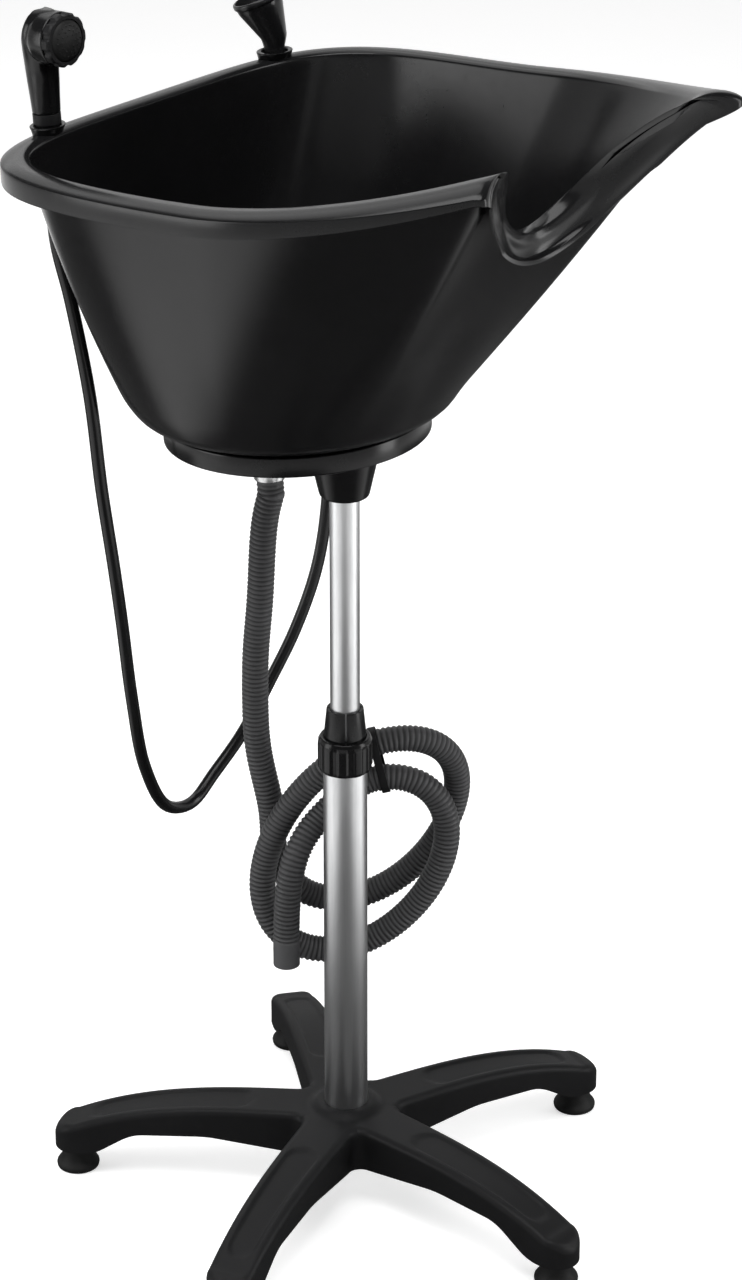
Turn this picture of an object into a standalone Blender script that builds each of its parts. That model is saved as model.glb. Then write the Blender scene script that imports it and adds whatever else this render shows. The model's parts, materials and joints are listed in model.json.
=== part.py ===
"""Portable shampoo basin on a telescopic column with a five-leg base.

Frame: Z up, floor at Z = 0, the neck rest faces -Y. Lengths are metres, angles degrees.
The finished model is moved so that its footprint's centre stands over the origin.
"""

import math

import bmesh
import bpy
import numpy as np
from mathutils import Matrix, Vector
from mathutils.bvhtree import BVHTree

# General fits and shading
SEAT_GAP = 0.0003
CUT_OVERRUN = 0.004
SMOOTH_ANGLE = 38.0
MERGE_DISTANCE = 0.00001

# Five-leg base
LEG_COUNT = 5
FOOT_CIRCLE_RADIUS = 0.243
HUB_RADIUS = 0.043
HUB_TOP = 0.083
HUB_BOTTOM = 0.036
LEG_ROOT_WIDTH = 0.048
LEG_TIP_WIDTH = 0.040
LEG_ROOT_TOP = 0.078
LEG_TIP_TOP = 0.050
LEG_ROOT_BOTTOM = 0.038
LEG_MIDDLE_BOTTOM = 0.049
LEG_TIP_BOTTOM = 0.0225
LEG_EDGE_ROUND = 0.005
LEG_PANEL_DEPTH = 0.0018
LEG_PANEL_MARGIN = 0.008
BASE_WALL = 0.0035
BASE_RIB = 0.003

# Glides under the legs
GLIDE_RADIUS = 0.0195
GLIDE_NECK_RADIUS = 0.0125
GLIDE_HEIGHT = 0.022
GLIDE_STEM_RADIUS = 0.005
GLIDE_STEM_LENGTH = 0.014

# Column
LOWER_TUBE_RADIUS = 0.019
LOWER_TUBE_WALL = 0.0015
LOWER_TUBE_TOP = 0.437
TUBE_SEAT_DEPTH = 0.038
UPPER_TUBE_RADIUS = 0.0127
UPPER_TUBE_WALL = 0.0012
UPPER_TUBE_INSERTION = 0.235
BUSH_HEIGHT = 0.030
SLIDE_CLEARANCE = 0.0003
HUB_PLUG_THICKNESS = 0.004
BOLT_HEAD_RADIUS = 0.0075
BOLT_SHANK_RADIUS = 0.0040

# Height lock
LOCK_DROP = 0.023
LOCK_SHOULDER_RISE = 0.008
LOCK_RADIUS = 0.0236
LOCK_FLUTE_DEPTH = 0.0016
LOCK_FLUTE_COUNT = 10
LOCK_LIP_HEIGHT = 0.006
COLLET_RISE = 0.034
COLLET_ROOT_RADIUS = 0.0182
COLLET_TIP_RADIUS = 0.0158
COLLET_DEPTH = 0.040
COLLET_SLIT_COUNT = 4
COLLET_SLIT_WIDTH = 0.0016

# Basin carrier: the ring under the bowl and the socket on the column
TILT = 4.0
RING_OFFSET = 0.052
RING_BOTTOM = 0.711
RING_RADIUS = 0.112
RING_HEIGHT = 0.017
RING_WALL = 0.003
RING_PLATE = 0.003
RING_RIB_COUNT = 8
RING_RIB_DEPTH = 0.009
SOCKET_BOTTOM = 0.668
SOCKET_BOTTOM_RADIUS = 0.0212
SOCKET_TOP_RADIUS = 0.0335
SOCKET_FLANGE_RADIUS = 0.043
SOCKET_FLANGE = 0.004
SOCKET_SCREW_COUNT = 4
SCREW_HEAD_RADIUS = 0.0042
SCREW_HEAD_HEIGHT = 0.0026
SCREW_SHANK_RADIUS = 0.0020

# Bowl: the flange's inner edge runs from the back round the sides to the ears and the neck
BOWL_WALL = 0.0035
RIM_HEIGHT = 0.2650
RIM_HALF_WIDTH = 0.2120
RIM_BACK = 0.1320
RIM_WIDEST = -0.1150
RIM_FULLNESS = 4.9
SIDE_TAPER = 1.88
EAR_HALF_WIDTH = 0.1190
EAR_FRONT = -0.3350
EAR_LIFT = 0.0390
EAR_CORNER = 0.014
RIM_TURN_LENGTH = 0.120
NECK_RECESS = 0.0815
NECK_DEPTH = 0.0855
BOWL_BASE_RADIUS = 0.143
BOWL_BASE_HEIGHT = 0.044
BOWL_FOOT_RADIUS = 0.106
WALL_BULGE = 0.005

# Bowl: the flange round that edge, and the outer edge that its neck and ears run out to
FLANGE_WIDTH = 0.0240
EAR_FLANGE_WIDTH = 0.0420
FLANGE_FALL = 0.0018
FLANGE_DROP = 0.016
FLANGE_WALL = 0.003
RIM_CREST = 0.003
EAR_CREST = 0.006
NECK_CREST = 0.009
EAR_LIP_SIDE = 0.0300
EAR_LIP_FORWARD = 0.0220
EAR_LIP_FALL = 0.0040
EAR_LIP_CORNER = 0.006
NECK_LIP_FORWARD = 0.0195
NECK_LIP_FALL = 0.0200
LIP_DROP = 0.0045

# Drain
DRAIN_OFFSET = 0.036
DRAIN_FLANGE_RADIUS = 0.031
DRAIN_FLANGE_THICKNESS = 0.0022
DRAIN_TUBE_RADIUS = 0.0185
DRAIN_TUBE_WALL = 0.0025
GASKET_THICKNESS = 0.0018
BACK_NUT_RADIUS = 0.0275
BACK_NUT_HEIGHT = 0.006
TAIL_CUP_RADIUS = 0.0225
TAIL_CUP_BOTTOM = 0.016
SPIGOT_RADIUS = 0.0080
SPIGOT_LENGTH = 0.020
SPIGOT_BORE = 0.0060
STRAINER_RADIUS = 0.0212
STRAINER_CUP_RADIUS = 0.0150
STRAINER_HOLE_COUNT = 6
STRAINER_HOLE_RADIUS = 0.0022
STRAINER_DEPTH = 0.009

# Drain hose
HOSE_RADIUS = 0.0117
HOSE_VALLEY_RADIUS = 0.0104
HOSE_BORE_RADIUS = 0.0092
HOSE_RIB_COUNT = 90
HOSE_START_DROP = 0.041
HOSE_CUFF_LENGTH = 0.0245
CLIP_WIDTH = 0.008
CLIP_THICKNESS = 0.0012
CLIP_EAR_LENGTH = 0.007
HOSE_PLANE_TURN = -48.0
TIE_WIDTH = 0.007
TIE_THICKNESS = 0.0016
TIE_SLACK = 0.0008
TIE_ALONG = 0.029
TIE_STATIONS = 16

# Shower hose, its handset and its tap connector
SHOWER_HOSE_RADIUS = 0.0055
HANDSET_ACROSS = 0.1215
CONNECTOR_ACROSS = 0.1400
HOLDER_RADIUS = 0.0155
HOLDER_HEIGHT = 0.009
HOLDER_FOOT_SHARE = 0.70
HOLDER_TOP_SHARE = 0.88
HOLDER_STEM_RADIUS = 0.0074
HOLDER_STEM_LENGTH = 0.010
HOLDER_BORE_RADIUS = 0.0060
HOLDER_CUP_RADIUS = 0.0115
HOLDER_CUP_DEPTH = 0.007
HANDSET_HEAD_HEIGHT = 0.079
HANDSET_HEAD_RADIUS = 0.0205
HANDSET_HEAD_DEPTH = 0.026
HANDSET_HEAD_FORWARD = 0.011
HANDSET_FACE_OFFSET = 0.013
HANDLE_WIDTH = 0.0235
HANDLE_DEPTH = 0.021
HANDLE_NECK_WIDTH = 0.020
NUT_RADIUS = 0.0098
NUT_HEIGHT = 0.013
DIAL_RADIUS = 0.0205
DIAL_THICKNESS = 0.007
DIAL_LOBE_COUNT = 10
DIAL_LOBE_DEPTH = 0.0016
SPRAY_DOME_RISE = 0.004
SPRAY_RADIUS = 0.0155
CONNECTOR_MOUTH_RADIUS = 0.0215
CONNECTOR_NECK_RADIUS = 0.0088
CONNECTOR_HEIGHT = 0.055
CONNECTOR_LEAN = 15.0
CONNECTOR_LEAN_TURN = 132.0
CONNECTOR_NECK_LENGTH = 0.018
CONNECTOR_WALL = 0.0025

# Colours as linear red, green, blue
BLACK_GLOSS = (0.0055, 0.0055, 0.0058)
BLACK_SATIN = (0.0100, 0.0100, 0.0105)
HOSE_GREY = (0.0600, 0.0600, 0.0620)
ALUMINIUM = (0.62, 0.63, 0.64)
RUBBER_BLACK = (0.0080, 0.0080, 0.0080)
STEEL = (0.55, 0.55, 0.55)

# Shares that shape the leg, the rim's section and the bowl's wall
UNDERSIDE_SHARES = (0.0, 0.4, 0.74, 0.92)
LEG_ARCH_SHARE = 3.0
LEG_PANEL_SHARES = (0.16, 0.26, 0.88, 0.96)
POCKET_SHARES = (0.10, 0.38, 0.64, 0.86)
FLANGE_OUT_SHARES = (0.12, 0.30, 0.50, 0.70, 0.86, 0.95, 1.0)
RIM_CREST_SHARES = (0.75, 1.15, 1.20, 1.0, 0.65, 0.3, 0.0)
NECK_CREST_SHARES = (0.62, 1.0, 0.72, -0.10, -0.45, -0.20, 0.0)
NECK_SECTION_SHARES = (0.0, 0.3)
UNDER_OUT_SHARES = (0.50,)
WALL_SHARES = (0.38, 0.78)
EAR_SHARE_POWER = 3.4
NECK_RUN_POWER = 0.90
NECK_FALL_POWER = 1.27
LIP_RUN_POWER = 0.40
LIP_FALL_POWER = 0.60

# Facets
ROUND_SEGMENTS = 24
CARRIER_SEGMENTS = 36
BOLT_SEGMENTS = 12
STEPS_PER_FLUTE = 3
DRAIN_SEGMENTS = 20
SMALL_SEGMENTS = 16
GLIDE_SEGMENTS = 12
SCREW_SIDES = 6
SIDE_STATIONS = 15
RIM_FINE_STEPS = 80
CORNER_STATIONS = 4
NECK_STATIONS = 8
LEG_STATIONS = 8

# Route of the drain hose beside the column: along the hose plane, behind the column, up
DROP_ROUTE = (
    (-0.0660, 0.0565, 0.632),
    (-0.0695, 0.0585, 0.600),
    (-0.0724, 0.0605, 0.5435),
    (-0.0768, 0.0625, 0.495),
    (-0.0778, 0.0645, 0.446),
    (-0.0762, 0.0665, 0.400),
)
TAIL_ROUTE = (
    (-0.0200, 0.0350, 0.3500),
    (-0.0345, 0.0230, 0.3370),
    (-0.0440, 0.0140, 0.3200),
    (-0.0490, 0.0120, 0.2960),
    (-0.0513, 0.0120, 0.2670),
    (-0.0519, 0.0120, 0.2405),
    (-0.0519, 0.0120, 0.2140),
)
COIL_CENTRE = (0.0198, 0.3524)
COIL_LONG_RADIUS = 0.1066
COIL_SHORT_RADIUS = 0.0700
COIL_LEAN = 54.6
COIL_DRIFT = (-0.0091, -0.0366)
COIL_PHASE = 117.2
COIL_START = 128.0
COIL_END = 758.0
COIL_BACK = 0.0680
COIL_FRONT = 0.0410
COIL_POINTS_PER_TURN = 24
COIL_CROSSOVER_SHARES = (0.26, 0.42)

# Route of the shower hose behind the bowl, below its two holders
SHOWER_ROUTE = (
    (-0.1345, 0.1950, 0.8850),
    (-0.1241, 0.1900, 0.8273),
    (-0.1106, 0.1850, 0.7404),
    (-0.1019, 0.1830, 0.6530),
    (-0.0913, 0.1820, 0.5795),
    (-0.0826, 0.1830, 0.5245),
    (-0.0685, 0.1870, 0.4412),
    (-0.0500, 0.1920, 0.3680),
    (-0.0210, 0.1950, 0.3170),
    (0.0130, 0.1970, 0.3060),
    (0.0433, 0.1970, 0.3246),
    (0.0764, 0.1930, 0.3538),
    (0.1066, 0.1860, 0.3982),
    (0.1340, 0.1800, 0.4417),
    (0.1570, 0.1750, 0.4953),
    (0.1690, 0.1730, 0.5569),
    (0.1720, 0.1740, 0.6400),
    (0.1680, 0.1790, 0.7400),
    (0.1570, 0.1890, 0.8450),
)
SHOWER_HOSE_POINTS = 46
HOSE_END_RISE = 0.0085
HOSE_FINE_POINTS = 600
HOSE_EASING = 60
LOOSE_PIECES = ("drain_hose", "hose_tie", "shower_hose", "tap_connector")

LOCK_BOTTOM = LOWER_TUBE_TOP - LOCK_DROP
LOCK_SHOULDER = LOWER_TUBE_TOP + LOCK_SHOULDER_RISE
COLLET_TOP = LOWER_TUBE_TOP + COLLET_RISE
BASIN_FRAME = Matrix.Translation((0.0, RING_OFFSET, RING_BOTTOM)) @ Matrix.Rotation(
    math.radians(-TILT), 4, "X"
)


def mix(low, high, share):
    return low + (high - low) * share


def smooth_step(low, high, value):
    share = min(max((value - low) / (high - low), 0.0), 1.0)
    return share * share * (3.0 - 2.0 * share)


def clear_scene():
    for old in list(bpy.data.objects):
        bpy.data.objects.remove(old, do_unlink=True)


def finish_material(name, colour, roughness, metallic):
    made = bpy.data.materials.new(name)
    made.use_nodes = True
    shader = made.node_tree.nodes["Principled BSDF"]
    shader.inputs["Base Color"].default_value = (*colour, 1.0)
    shader.inputs["Roughness"].default_value = roughness
    shader.inputs["Metallic"].default_value = metallic
    made.diffuse_color = (*colour, 1.0)
    return made


GLOSS = (BLACK_GLOSS, 0.22, 0.0)
SATIN = (BLACK_SATIN, 0.42, 0.0)
GREY_HOSE = (HOSE_GREY, 0.5, 0.0)
ANODISED = (ALUMINIUM, 0.34, 1.0)
RUBBER = (RUBBER_BLACK, 0.6, 0.0)
METAL = (STEEL, 0.3, 1.0)


def add_empty(name, parent=None, matrix=None):
    made = bpy.data.objects.new(name, None)
    bpy.context.collection.objects.link(made)
    made.parent = parent
    made.matrix_local = matrix or Matrix.Identity(4)
    return made


def add_mesh(name, shape, parent, look, matrix=None):
    """Object from a bmesh, in its parent's frame, smooth but for its sharp edges."""
    bmesh.ops.recalc_face_normals(shape, faces=shape.faces)
    mesh = bpy.data.meshes.new(name)
    shape.to_mesh(mesh)
    shape.free()
    made = bpy.data.objects.new(name, mesh)
    bpy.context.collection.objects.link(made)
    made.parent = parent
    made.matrix_local = matrix or Matrix.Identity(4)
    if look is None:
        made.hide_render = True
        made.display_type = "WIRE"
        return made
    mesh.materials.append(finish_material(name, *look))
    mesh.shade_smooth()
    mesh.set_sharp_from_angle(angle=math.radians(SMOOTH_ANGLE))
    return made


def boolean(target, operation, tool):
    made = target.modifiers.new(f"{operation.lower()}_{tool.name}", "BOOLEAN")
    made.operation = operation
    made.object = tool
    made.solver = "EXACT"
    return made


def skin(rings, closed=False, shape=None):
    """Faces between rings of equal length; closed joins the last ring to the first."""
    shape = shape or bmesh.new()
    loops = [[shape.verts.new(point) for point in ring] for ring in rings]
    pairs = list(zip(loops, loops[1:]))
    if closed:
        pairs.append((loops[-1], loops[0]))
    for low, high in pairs:
        for here in range(len(low)):
            there = (here + 1) % len(low)
            shape.faces.new((low[here], low[there], high[there], high[here]))
    if not closed:
        shape.faces.new(list(reversed(loops[0])))
        shape.faces.new(loops[-1])
    return shape


def circle(radius, height, segments=ROUND_SEGMENTS, centre=(0.0, 0.0), stretch=1.0):
    ring = []
    for step in range(segments):
        angle = 2.0 * math.pi * step / segments
        ring.append(
            Vector(
                (
                    centre[0] + radius * math.cos(angle),
                    centre[1] + radius * stretch * math.sin(angle),
                    height,
                )
            )
        )
    return ring


def turned(profile, segments=ROUND_SEGMENTS, closed=True, stretch=1.0, shape=None):
    """Turned piece from (radius, height) pairs; closed for one that has a bore."""
    rings = [circle(radius, height, segments, stretch=stretch) for radius, height in profile]
    return skin(rings, closed, shape)


def box(low, high, shape=None):
    rings = []
    for height in (low[2], high[2]):
        rings.append(
            [
                Vector((low[0], low[1], height)),
                Vector((high[0], low[1], height)),
                Vector((high[0], high[1], height)),
                Vector((low[0], high[1], height)),
            ]
        )
    return skin(rings, shape=shape)


def rod(radius, low, high, segments=SMALL_SEGMENTS, shape=None):
    return turned(((radius, low), (radius, high)), segments, closed=False, shape=shape)


def around(count, shape_for, start=0.0):
    """One bmesh that holds count copies of a shape, spaced evenly about Z."""
    whole = bmesh.new()
    for step in range(count):
        single = shape_for()
        turn = Matrix.Rotation(start + 2.0 * math.pi * step / count, 4, "Z")
        bmesh.ops.transform(single, matrix=turn, verts=single.verts)
        holder = bpy.data.meshes.new("copy")
        single.to_mesh(holder)
        single.free()
        whole.from_mesh(holder)
        bpy.data.meshes.remove(holder)
    return whole


# Five-leg base


def leg_sizes(reach):
    """Half width, top height and underside height of a leg at a distance from the column."""
    share = (reach - HUB_RADIUS) / (FOOT_CIRCLE_RADIUS - HUB_RADIUS)
    inside = min(max(share, 0.0), 1.0)
    half = 0.5 * mix(LEG_ROOT_WIDTH, LEG_TIP_WIDTH, inside)
    tip_half = 0.5 * LEG_TIP_WIDTH
    past = max(reach - FOOT_CIRCLE_RADIUS, 0.0)
    half = half * math.sqrt(max(1.0 - (past / tip_half) ** 2, 0.0))
    top = mix(LEG_ROOT_TOP, LEG_TIP_TOP, inside**LEG_ARCH_SHARE) - 0.5 * past**2 / tip_half
    middle = LEG_MIDDLE_BOTTOM
    bottom = float(
        np.interp(
            share,
            UNDERSIDE_SHARES,
            (LEG_ROOT_BOTTOM, middle, mix(middle, LEG_TIP_BOTTOM, 0.12), LEG_TIP_BOTTOM),
        )
    )
    return half, top, bottom, share


def leg_section(reach):
    half, top, bottom, share = leg_sizes(reach)
    edge = min(LEG_EDGE_ROUND, 0.3 * half)
    margin = min(LEG_PANEL_MARGIN, 0.5 * half)
    slope = min(LEG_PANEL_DEPTH, 0.2 * half)
    start, full, fading, end = LEG_PANEL_SHARES
    sunk = smooth_step(start, full, share) * (1.0 - smooth_step(fading, end, share))
    floor = top - LEG_PANEL_DEPTH * sunk
    right = [
        (half, bottom),
        (half, top - 0.7 * edge),
        (half - 0.7 * edge, top),
        (half - margin, top),
        (half - margin - slope, floor),
    ]
    points = right + [(-across, height) for across, height in reversed(right)]
    return [Vector((reach, across, height)) for across, height in points]


def leg_shape():
    tip_half = 0.5 * LEG_TIP_WIDTH
    root = LOWER_TUBE_RADIUS + 2.0 * BASE_WALL
    reaches = list(np.linspace(root, FOOT_CIRCLE_RADIUS, LEG_STATIONS))
    reaches += [FOOT_CIRCLE_RADIUS + tip_half * math.sin(math.radians(a)) for a in (35, 60, 78)]
    return skin([leg_section(reach) for reach in reaches])


def pocket_shape():
    """Hollows under one leg, left apart by cross ribs."""
    shape = bmesh.new()
    span = FOOT_CIRCLE_RADIUS - HUB_RADIUS
    for low, high in zip(POCKET_SHARES, POCKET_SHARES[1:]):
        start = HUB_RADIUS + span * low + 0.5 * BASE_RIB
        end = HUB_RADIUS + span * high - 0.5 * BASE_RIB
        rings = []
        for reach in np.linspace(start, end, 3):
            half, top, bottom, _ = leg_sizes(reach)
            half -= BASE_WALL
            roof = top - LEG_PANEL_DEPTH - BASE_WALL
            floor = bottom - CUT_OVERRUN
            rings.append(
                [
                    Vector((reach, -half, floor)),
                    Vector((reach, half, floor)),
                    Vector((reach, half, roof)),
                    Vector((reach, -half, roof)),
                ]
            )
        skin(rings, shape=shape)
    return shape


def glide_stem_shape():
    shape = rod(
        GLIDE_STEM_RADIUS + SEAT_GAP,
        GLIDE_HEIGHT - CUT_OVERRUN,
        GLIDE_HEIGHT + GLIDE_STEM_LENGTH + SEAT_GAP,
        GLIDE_SEGMENTS,
    )
    bmesh.ops.translate(shape, vec=(FOOT_CIRCLE_RADIUS, 0.0, 0.0), verts=shape.verts)
    return shape


def build_base(stand):
    seat = HUB_TOP - TUBE_SEAT_DEPTH
    bore = LOWER_TUBE_RADIUS + SEAT_GAP
    bolt_hole = BOLT_SHANK_RADIUS + SEAT_GAP
    round_edge = LEG_EDGE_ROUND
    hub = turned(
        (
            (bore, HUB_TOP),
            (HUB_RADIUS - 2.0 * round_edge, HUB_TOP),
            (HUB_RADIUS - 0.5 * round_edge, HUB_TOP - 0.5 * round_edge),
            (HUB_RADIUS, HUB_TOP - 2.0 * round_edge),
            (HUB_RADIUS, HUB_BOTTOM),
            (bolt_hole, HUB_BOTTOM),
            (bolt_hole, seat),
            (bore, seat),
        )
    )
    base = add_mesh("star_base", hub, stand, SATIN)
    neck_turn = -0.5 * math.pi
    legs = add_mesh("leg_tool", leg_shape(), stand, None)
    legs.matrix_local = Matrix.Rotation(neck_turn, 4, "Z")
    boolean(base, "UNION", legs)
    for step in range(1, LEG_COUNT):
        turn = neck_turn + 2.0 * math.pi * step / LEG_COUNT
        copy = bpy.data.objects.new(f"leg_tool_{step}", legs.data)
        bpy.context.collection.objects.link(copy)
        copy.parent = stand
        copy.matrix_local = Matrix.Rotation(turn, 4, "Z")
        copy.hide_render = True
        copy.display_type = "WIRE"
        boolean(base, "UNION", copy)
    for name, make in (("pocket_tool", pocket_shape), ("stem_tool", glide_stem_shape)):
        cutters = add_mesh(name, around(LEG_COUNT, make, neck_turn), stand, None)
        boolean(base, "DIFFERENCE", cutters)
    for step in range(LEG_COUNT):
        turn = neck_turn + 2.0 * math.pi * step / LEG_COUNT
        place = Matrix.Rotation(turn, 4, "Z") @ Matrix.Translation((FOOT_CIRCLE_RADIUS, 0.0, 0.0))
        add_mesh(f"glide_{step + 1}", glide_shape(), stand, RUBBER, place)


def glide_shape():
    top = LEG_TIP_BOTTOM - SEAT_GAP
    foot = 0.18 * GLIDE_HEIGHT
    return turned(
        (
            (GLIDE_RADIUS, 0.0),
            (GLIDE_RADIUS, foot),
            (mix(GLIDE_NECK_RADIUS, GLIDE_RADIUS, 0.35), 0.44 * top),
            (GLIDE_NECK_RADIUS, 0.80 * top),
            (GLIDE_NECK_RADIUS, top),
            (GLIDE_STEM_RADIUS, top),
            (GLIDE_STEM_RADIUS, GLIDE_HEIGHT + GLIDE_STEM_LENGTH - SEAT_GAP),
        ),
        GLIDE_SEGMENTS,
        closed=False,
    )


# Column and its height lock


def build_column(stand, riser, lock):
    seat = HUB_TOP - TUBE_SEAT_DEPTH
    tube_bottom = seat + SEAT_GAP
    inner = LOWER_TUBE_RADIUS - LOWER_TUBE_WALL
    add_mesh(
        "lower_tube",
        turned(
            (
                (LOWER_TUBE_RADIUS, tube_bottom),
                (LOWER_TUBE_RADIUS, LOWER_TUBE_TOP),
                (inner, LOWER_TUBE_TOP),
                (inner, tube_bottom),
            )
        ),
        stand,
        ANODISED,
    )
    plug_radius = inner - SEAT_GAP
    bolt_radius = BOLT_SHANK_RADIUS
    add_mesh(
        "tube_plug",
        turned(
            (
                (plug_radius, tube_bottom),
                (plug_radius, tube_bottom + HUB_PLUG_THICKNESS),
                (bolt_radius + SEAT_GAP, tube_bottom + HUB_PLUG_THICKNESS),
                (bolt_radius + SEAT_GAP, tube_bottom),
            ),
            SMALL_SEGMENTS,
        ),
        stand,
        METAL,
    )
    head_top = HUB_BOTTOM - SEAT_GAP
    head_bottom = head_top - HUB_PLUG_THICKNESS
    add_mesh(
        "base_bolt",
        skin(
            [
                hexagon(BOLT_HEAD_RADIUS, head_bottom, BOLT_SEGMENTS),
                hexagon(BOLT_HEAD_RADIUS, head_top, BOLT_SEGMENTS),
                circle(bolt_radius, head_top, BOLT_SEGMENTS),
                circle(bolt_radius, tube_bottom + 1.5 * HUB_PLUG_THICKNESS, BOLT_SEGMENTS),
            ]
        ),
        stand,
        METAL,
    )
    tube_low = LOWER_TUBE_TOP - UPPER_TUBE_INSERTION
    tube_inner = UPPER_TUBE_RADIUS - UPPER_TUBE_WALL
    tube_high = socket_roof() - SEAT_GAP
    add_mesh(
        "upper_tube",
        turned(
            (
                (UPPER_TUBE_RADIUS, tube_low),
                (UPPER_TUBE_RADIUS, tube_high),
                (tube_inner, tube_high),
                (tube_inner, tube_low),
            )
        ),
        riser,
        ANODISED,
    )
    bush_outer = inner - SLIDE_CLEARANCE
    bush_bore = UPPER_TUBE_RADIUS + SEAT_GAP
    lip = 0.1 * BUSH_HEIGHT
    add_mesh(
        "guide_bush",
        turned(
            (
                (bush_outer - lip, tube_low - lip),
                (bush_outer, tube_low),
                (bush_outer, tube_low + BUSH_HEIGHT),
                (bush_bore, tube_low + BUSH_HEIGHT),
                (bush_bore, tube_low - SEAT_GAP),
                (tube_inner, tube_low - SEAT_GAP),
                (tube_inner, tube_low - lip),
            )
        ),
        riser,
        SATIN,
    )
    collet_bore = UPPER_TUBE_RADIUS + SLIDE_CLEARANCE
    collet_skirt = inner - SEAT_GAP
    collet_seat = LOWER_TUBE_TOP + SEAT_GAP
    shoulder = LOCK_SHOULDER - LOCK_LIP_HEIGHT - SEAT_GAP
    collet = add_mesh(
        "clamp_collet",
        turned(
            (
                (collet_bore, LOWER_TUBE_TOP - COLLET_DEPTH),
                (collet_skirt, LOWER_TUBE_TOP - COLLET_DEPTH),
                (collet_skirt, collet_seat),
                (LOWER_TUBE_RADIUS, collet_seat),
                (LOWER_TUBE_RADIUS, shoulder),
                (COLLET_ROOT_RADIUS, shoulder),
                (COLLET_ROOT_RADIUS, LOCK_SHOULDER),
                (COLLET_TIP_RADIUS, COLLET_TOP),
                (collet_bore, COLLET_TOP),
            )
        ),
        stand,
        GLOSS,
    )
    half_slit = 0.5 * COLLET_SLIT_WIDTH
    outer_reach = LOWER_TUBE_RADIUS + CUT_OVERRUN

    def slit():
        return box(
            (0.5 * collet_bore, -half_slit, LOCK_SHOULDER),
            (outer_reach, half_slit, COLLET_TOP + CUT_OVERRUN),
        )

    slits = around(COLLET_SLIT_COUNT, slit, math.pi / COLLET_SLIT_COUNT)
    boolean(collet, "DIFFERENCE", add_mesh("slit_tool", slits, stand, None))
    build_lock(lock)


def hexagon(corner, height, count):
    """Hexagon sampled at evenly turned points, corners among them."""
    flat = corner * math.cos(math.pi / 6.0)
    ring = []
    for step in range(count):
        angle = 2.0 * math.pi * step / count
        radius = flat / math.cos((angle + math.pi / 6.0) % (math.pi / 3.0) - math.pi / 6.0)
        ring.append(Vector((radius * math.cos(angle), radius * math.sin(angle), height)))
    return ring


def fluted_ring(radius, height, depth, count, per_flute=STEPS_PER_FLUTE):
    ring = []
    steps = count * per_flute
    for step in range(steps):
        angle = 2.0 * math.pi * step / steps
        hollow = depth * (0.5 - 0.5 * math.cos(count * angle)) ** 2
        out = radius - hollow
        ring.append(Vector((out * math.cos(angle), out * math.sin(angle), height)))
    return ring


def build_lock(lock):
    """Twist nut in its own frame, whose origin is on the column at the nut's foot."""
    height = LOCK_SHOULDER - LOCK_BOTTOM
    bore = LOWER_TUBE_RADIUS + 2.0 * SEAT_GAP
    mouth = COLLET_ROOT_RADIUS + SEAT_GAP
    lip_low = height - LOCK_LIP_HEIGHT
    profile = (
        (LOCK_RADIUS - LOCK_FLUTE_DEPTH, 0.0, 0.0),
        (LOCK_RADIUS, 0.12 * height, 1.0),
        (LOCK_RADIUS, lip_low, 1.0),
        (LOCK_RADIUS - 0.4 * LOCK_FLUTE_DEPTH, mix(lip_low, height, 0.4), 0.2),
        (mix(LOCK_RADIUS, mouth, 0.6), height, 0.0),
        (mouth, height, 0.0),
        (mouth, lip_low, 0.0),
        (bore, lip_low, 0.0),
        (bore, 0.0, 0.0),
    )
    depth = LOCK_FLUTE_DEPTH
    rings = [fluted_ring(out, up, share * depth, LOCK_FLUTE_COUNT) for out, up, share in profile]
    add_mesh("lock_nut", skin(rings, closed=True), lock, GLOSS)


# Basin carrier


def plate_height(across, local_height):
    """Height, above the floor, of the carrier's tilted plane at a distance along Y."""
    tilt = math.radians(TILT)
    return RING_BOTTOM - (across - RING_OFFSET) * math.tan(tilt) + local_height / math.cos(tilt)


def socket_roof():
    """Lowest point of the carrier plate's underside over the upper tube."""
    return plate_height(UPPER_TUBE_RADIUS, RING_HEIGHT - RING_PLATE) - SEAT_GAP


def tilted_ring(radius, local_height, segments=ROUND_SEGMENTS):
    ring = circle(radius, 0.0, segments)
    for point in ring:
        point.z = plate_height(point.y, local_height)
    return ring


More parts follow.
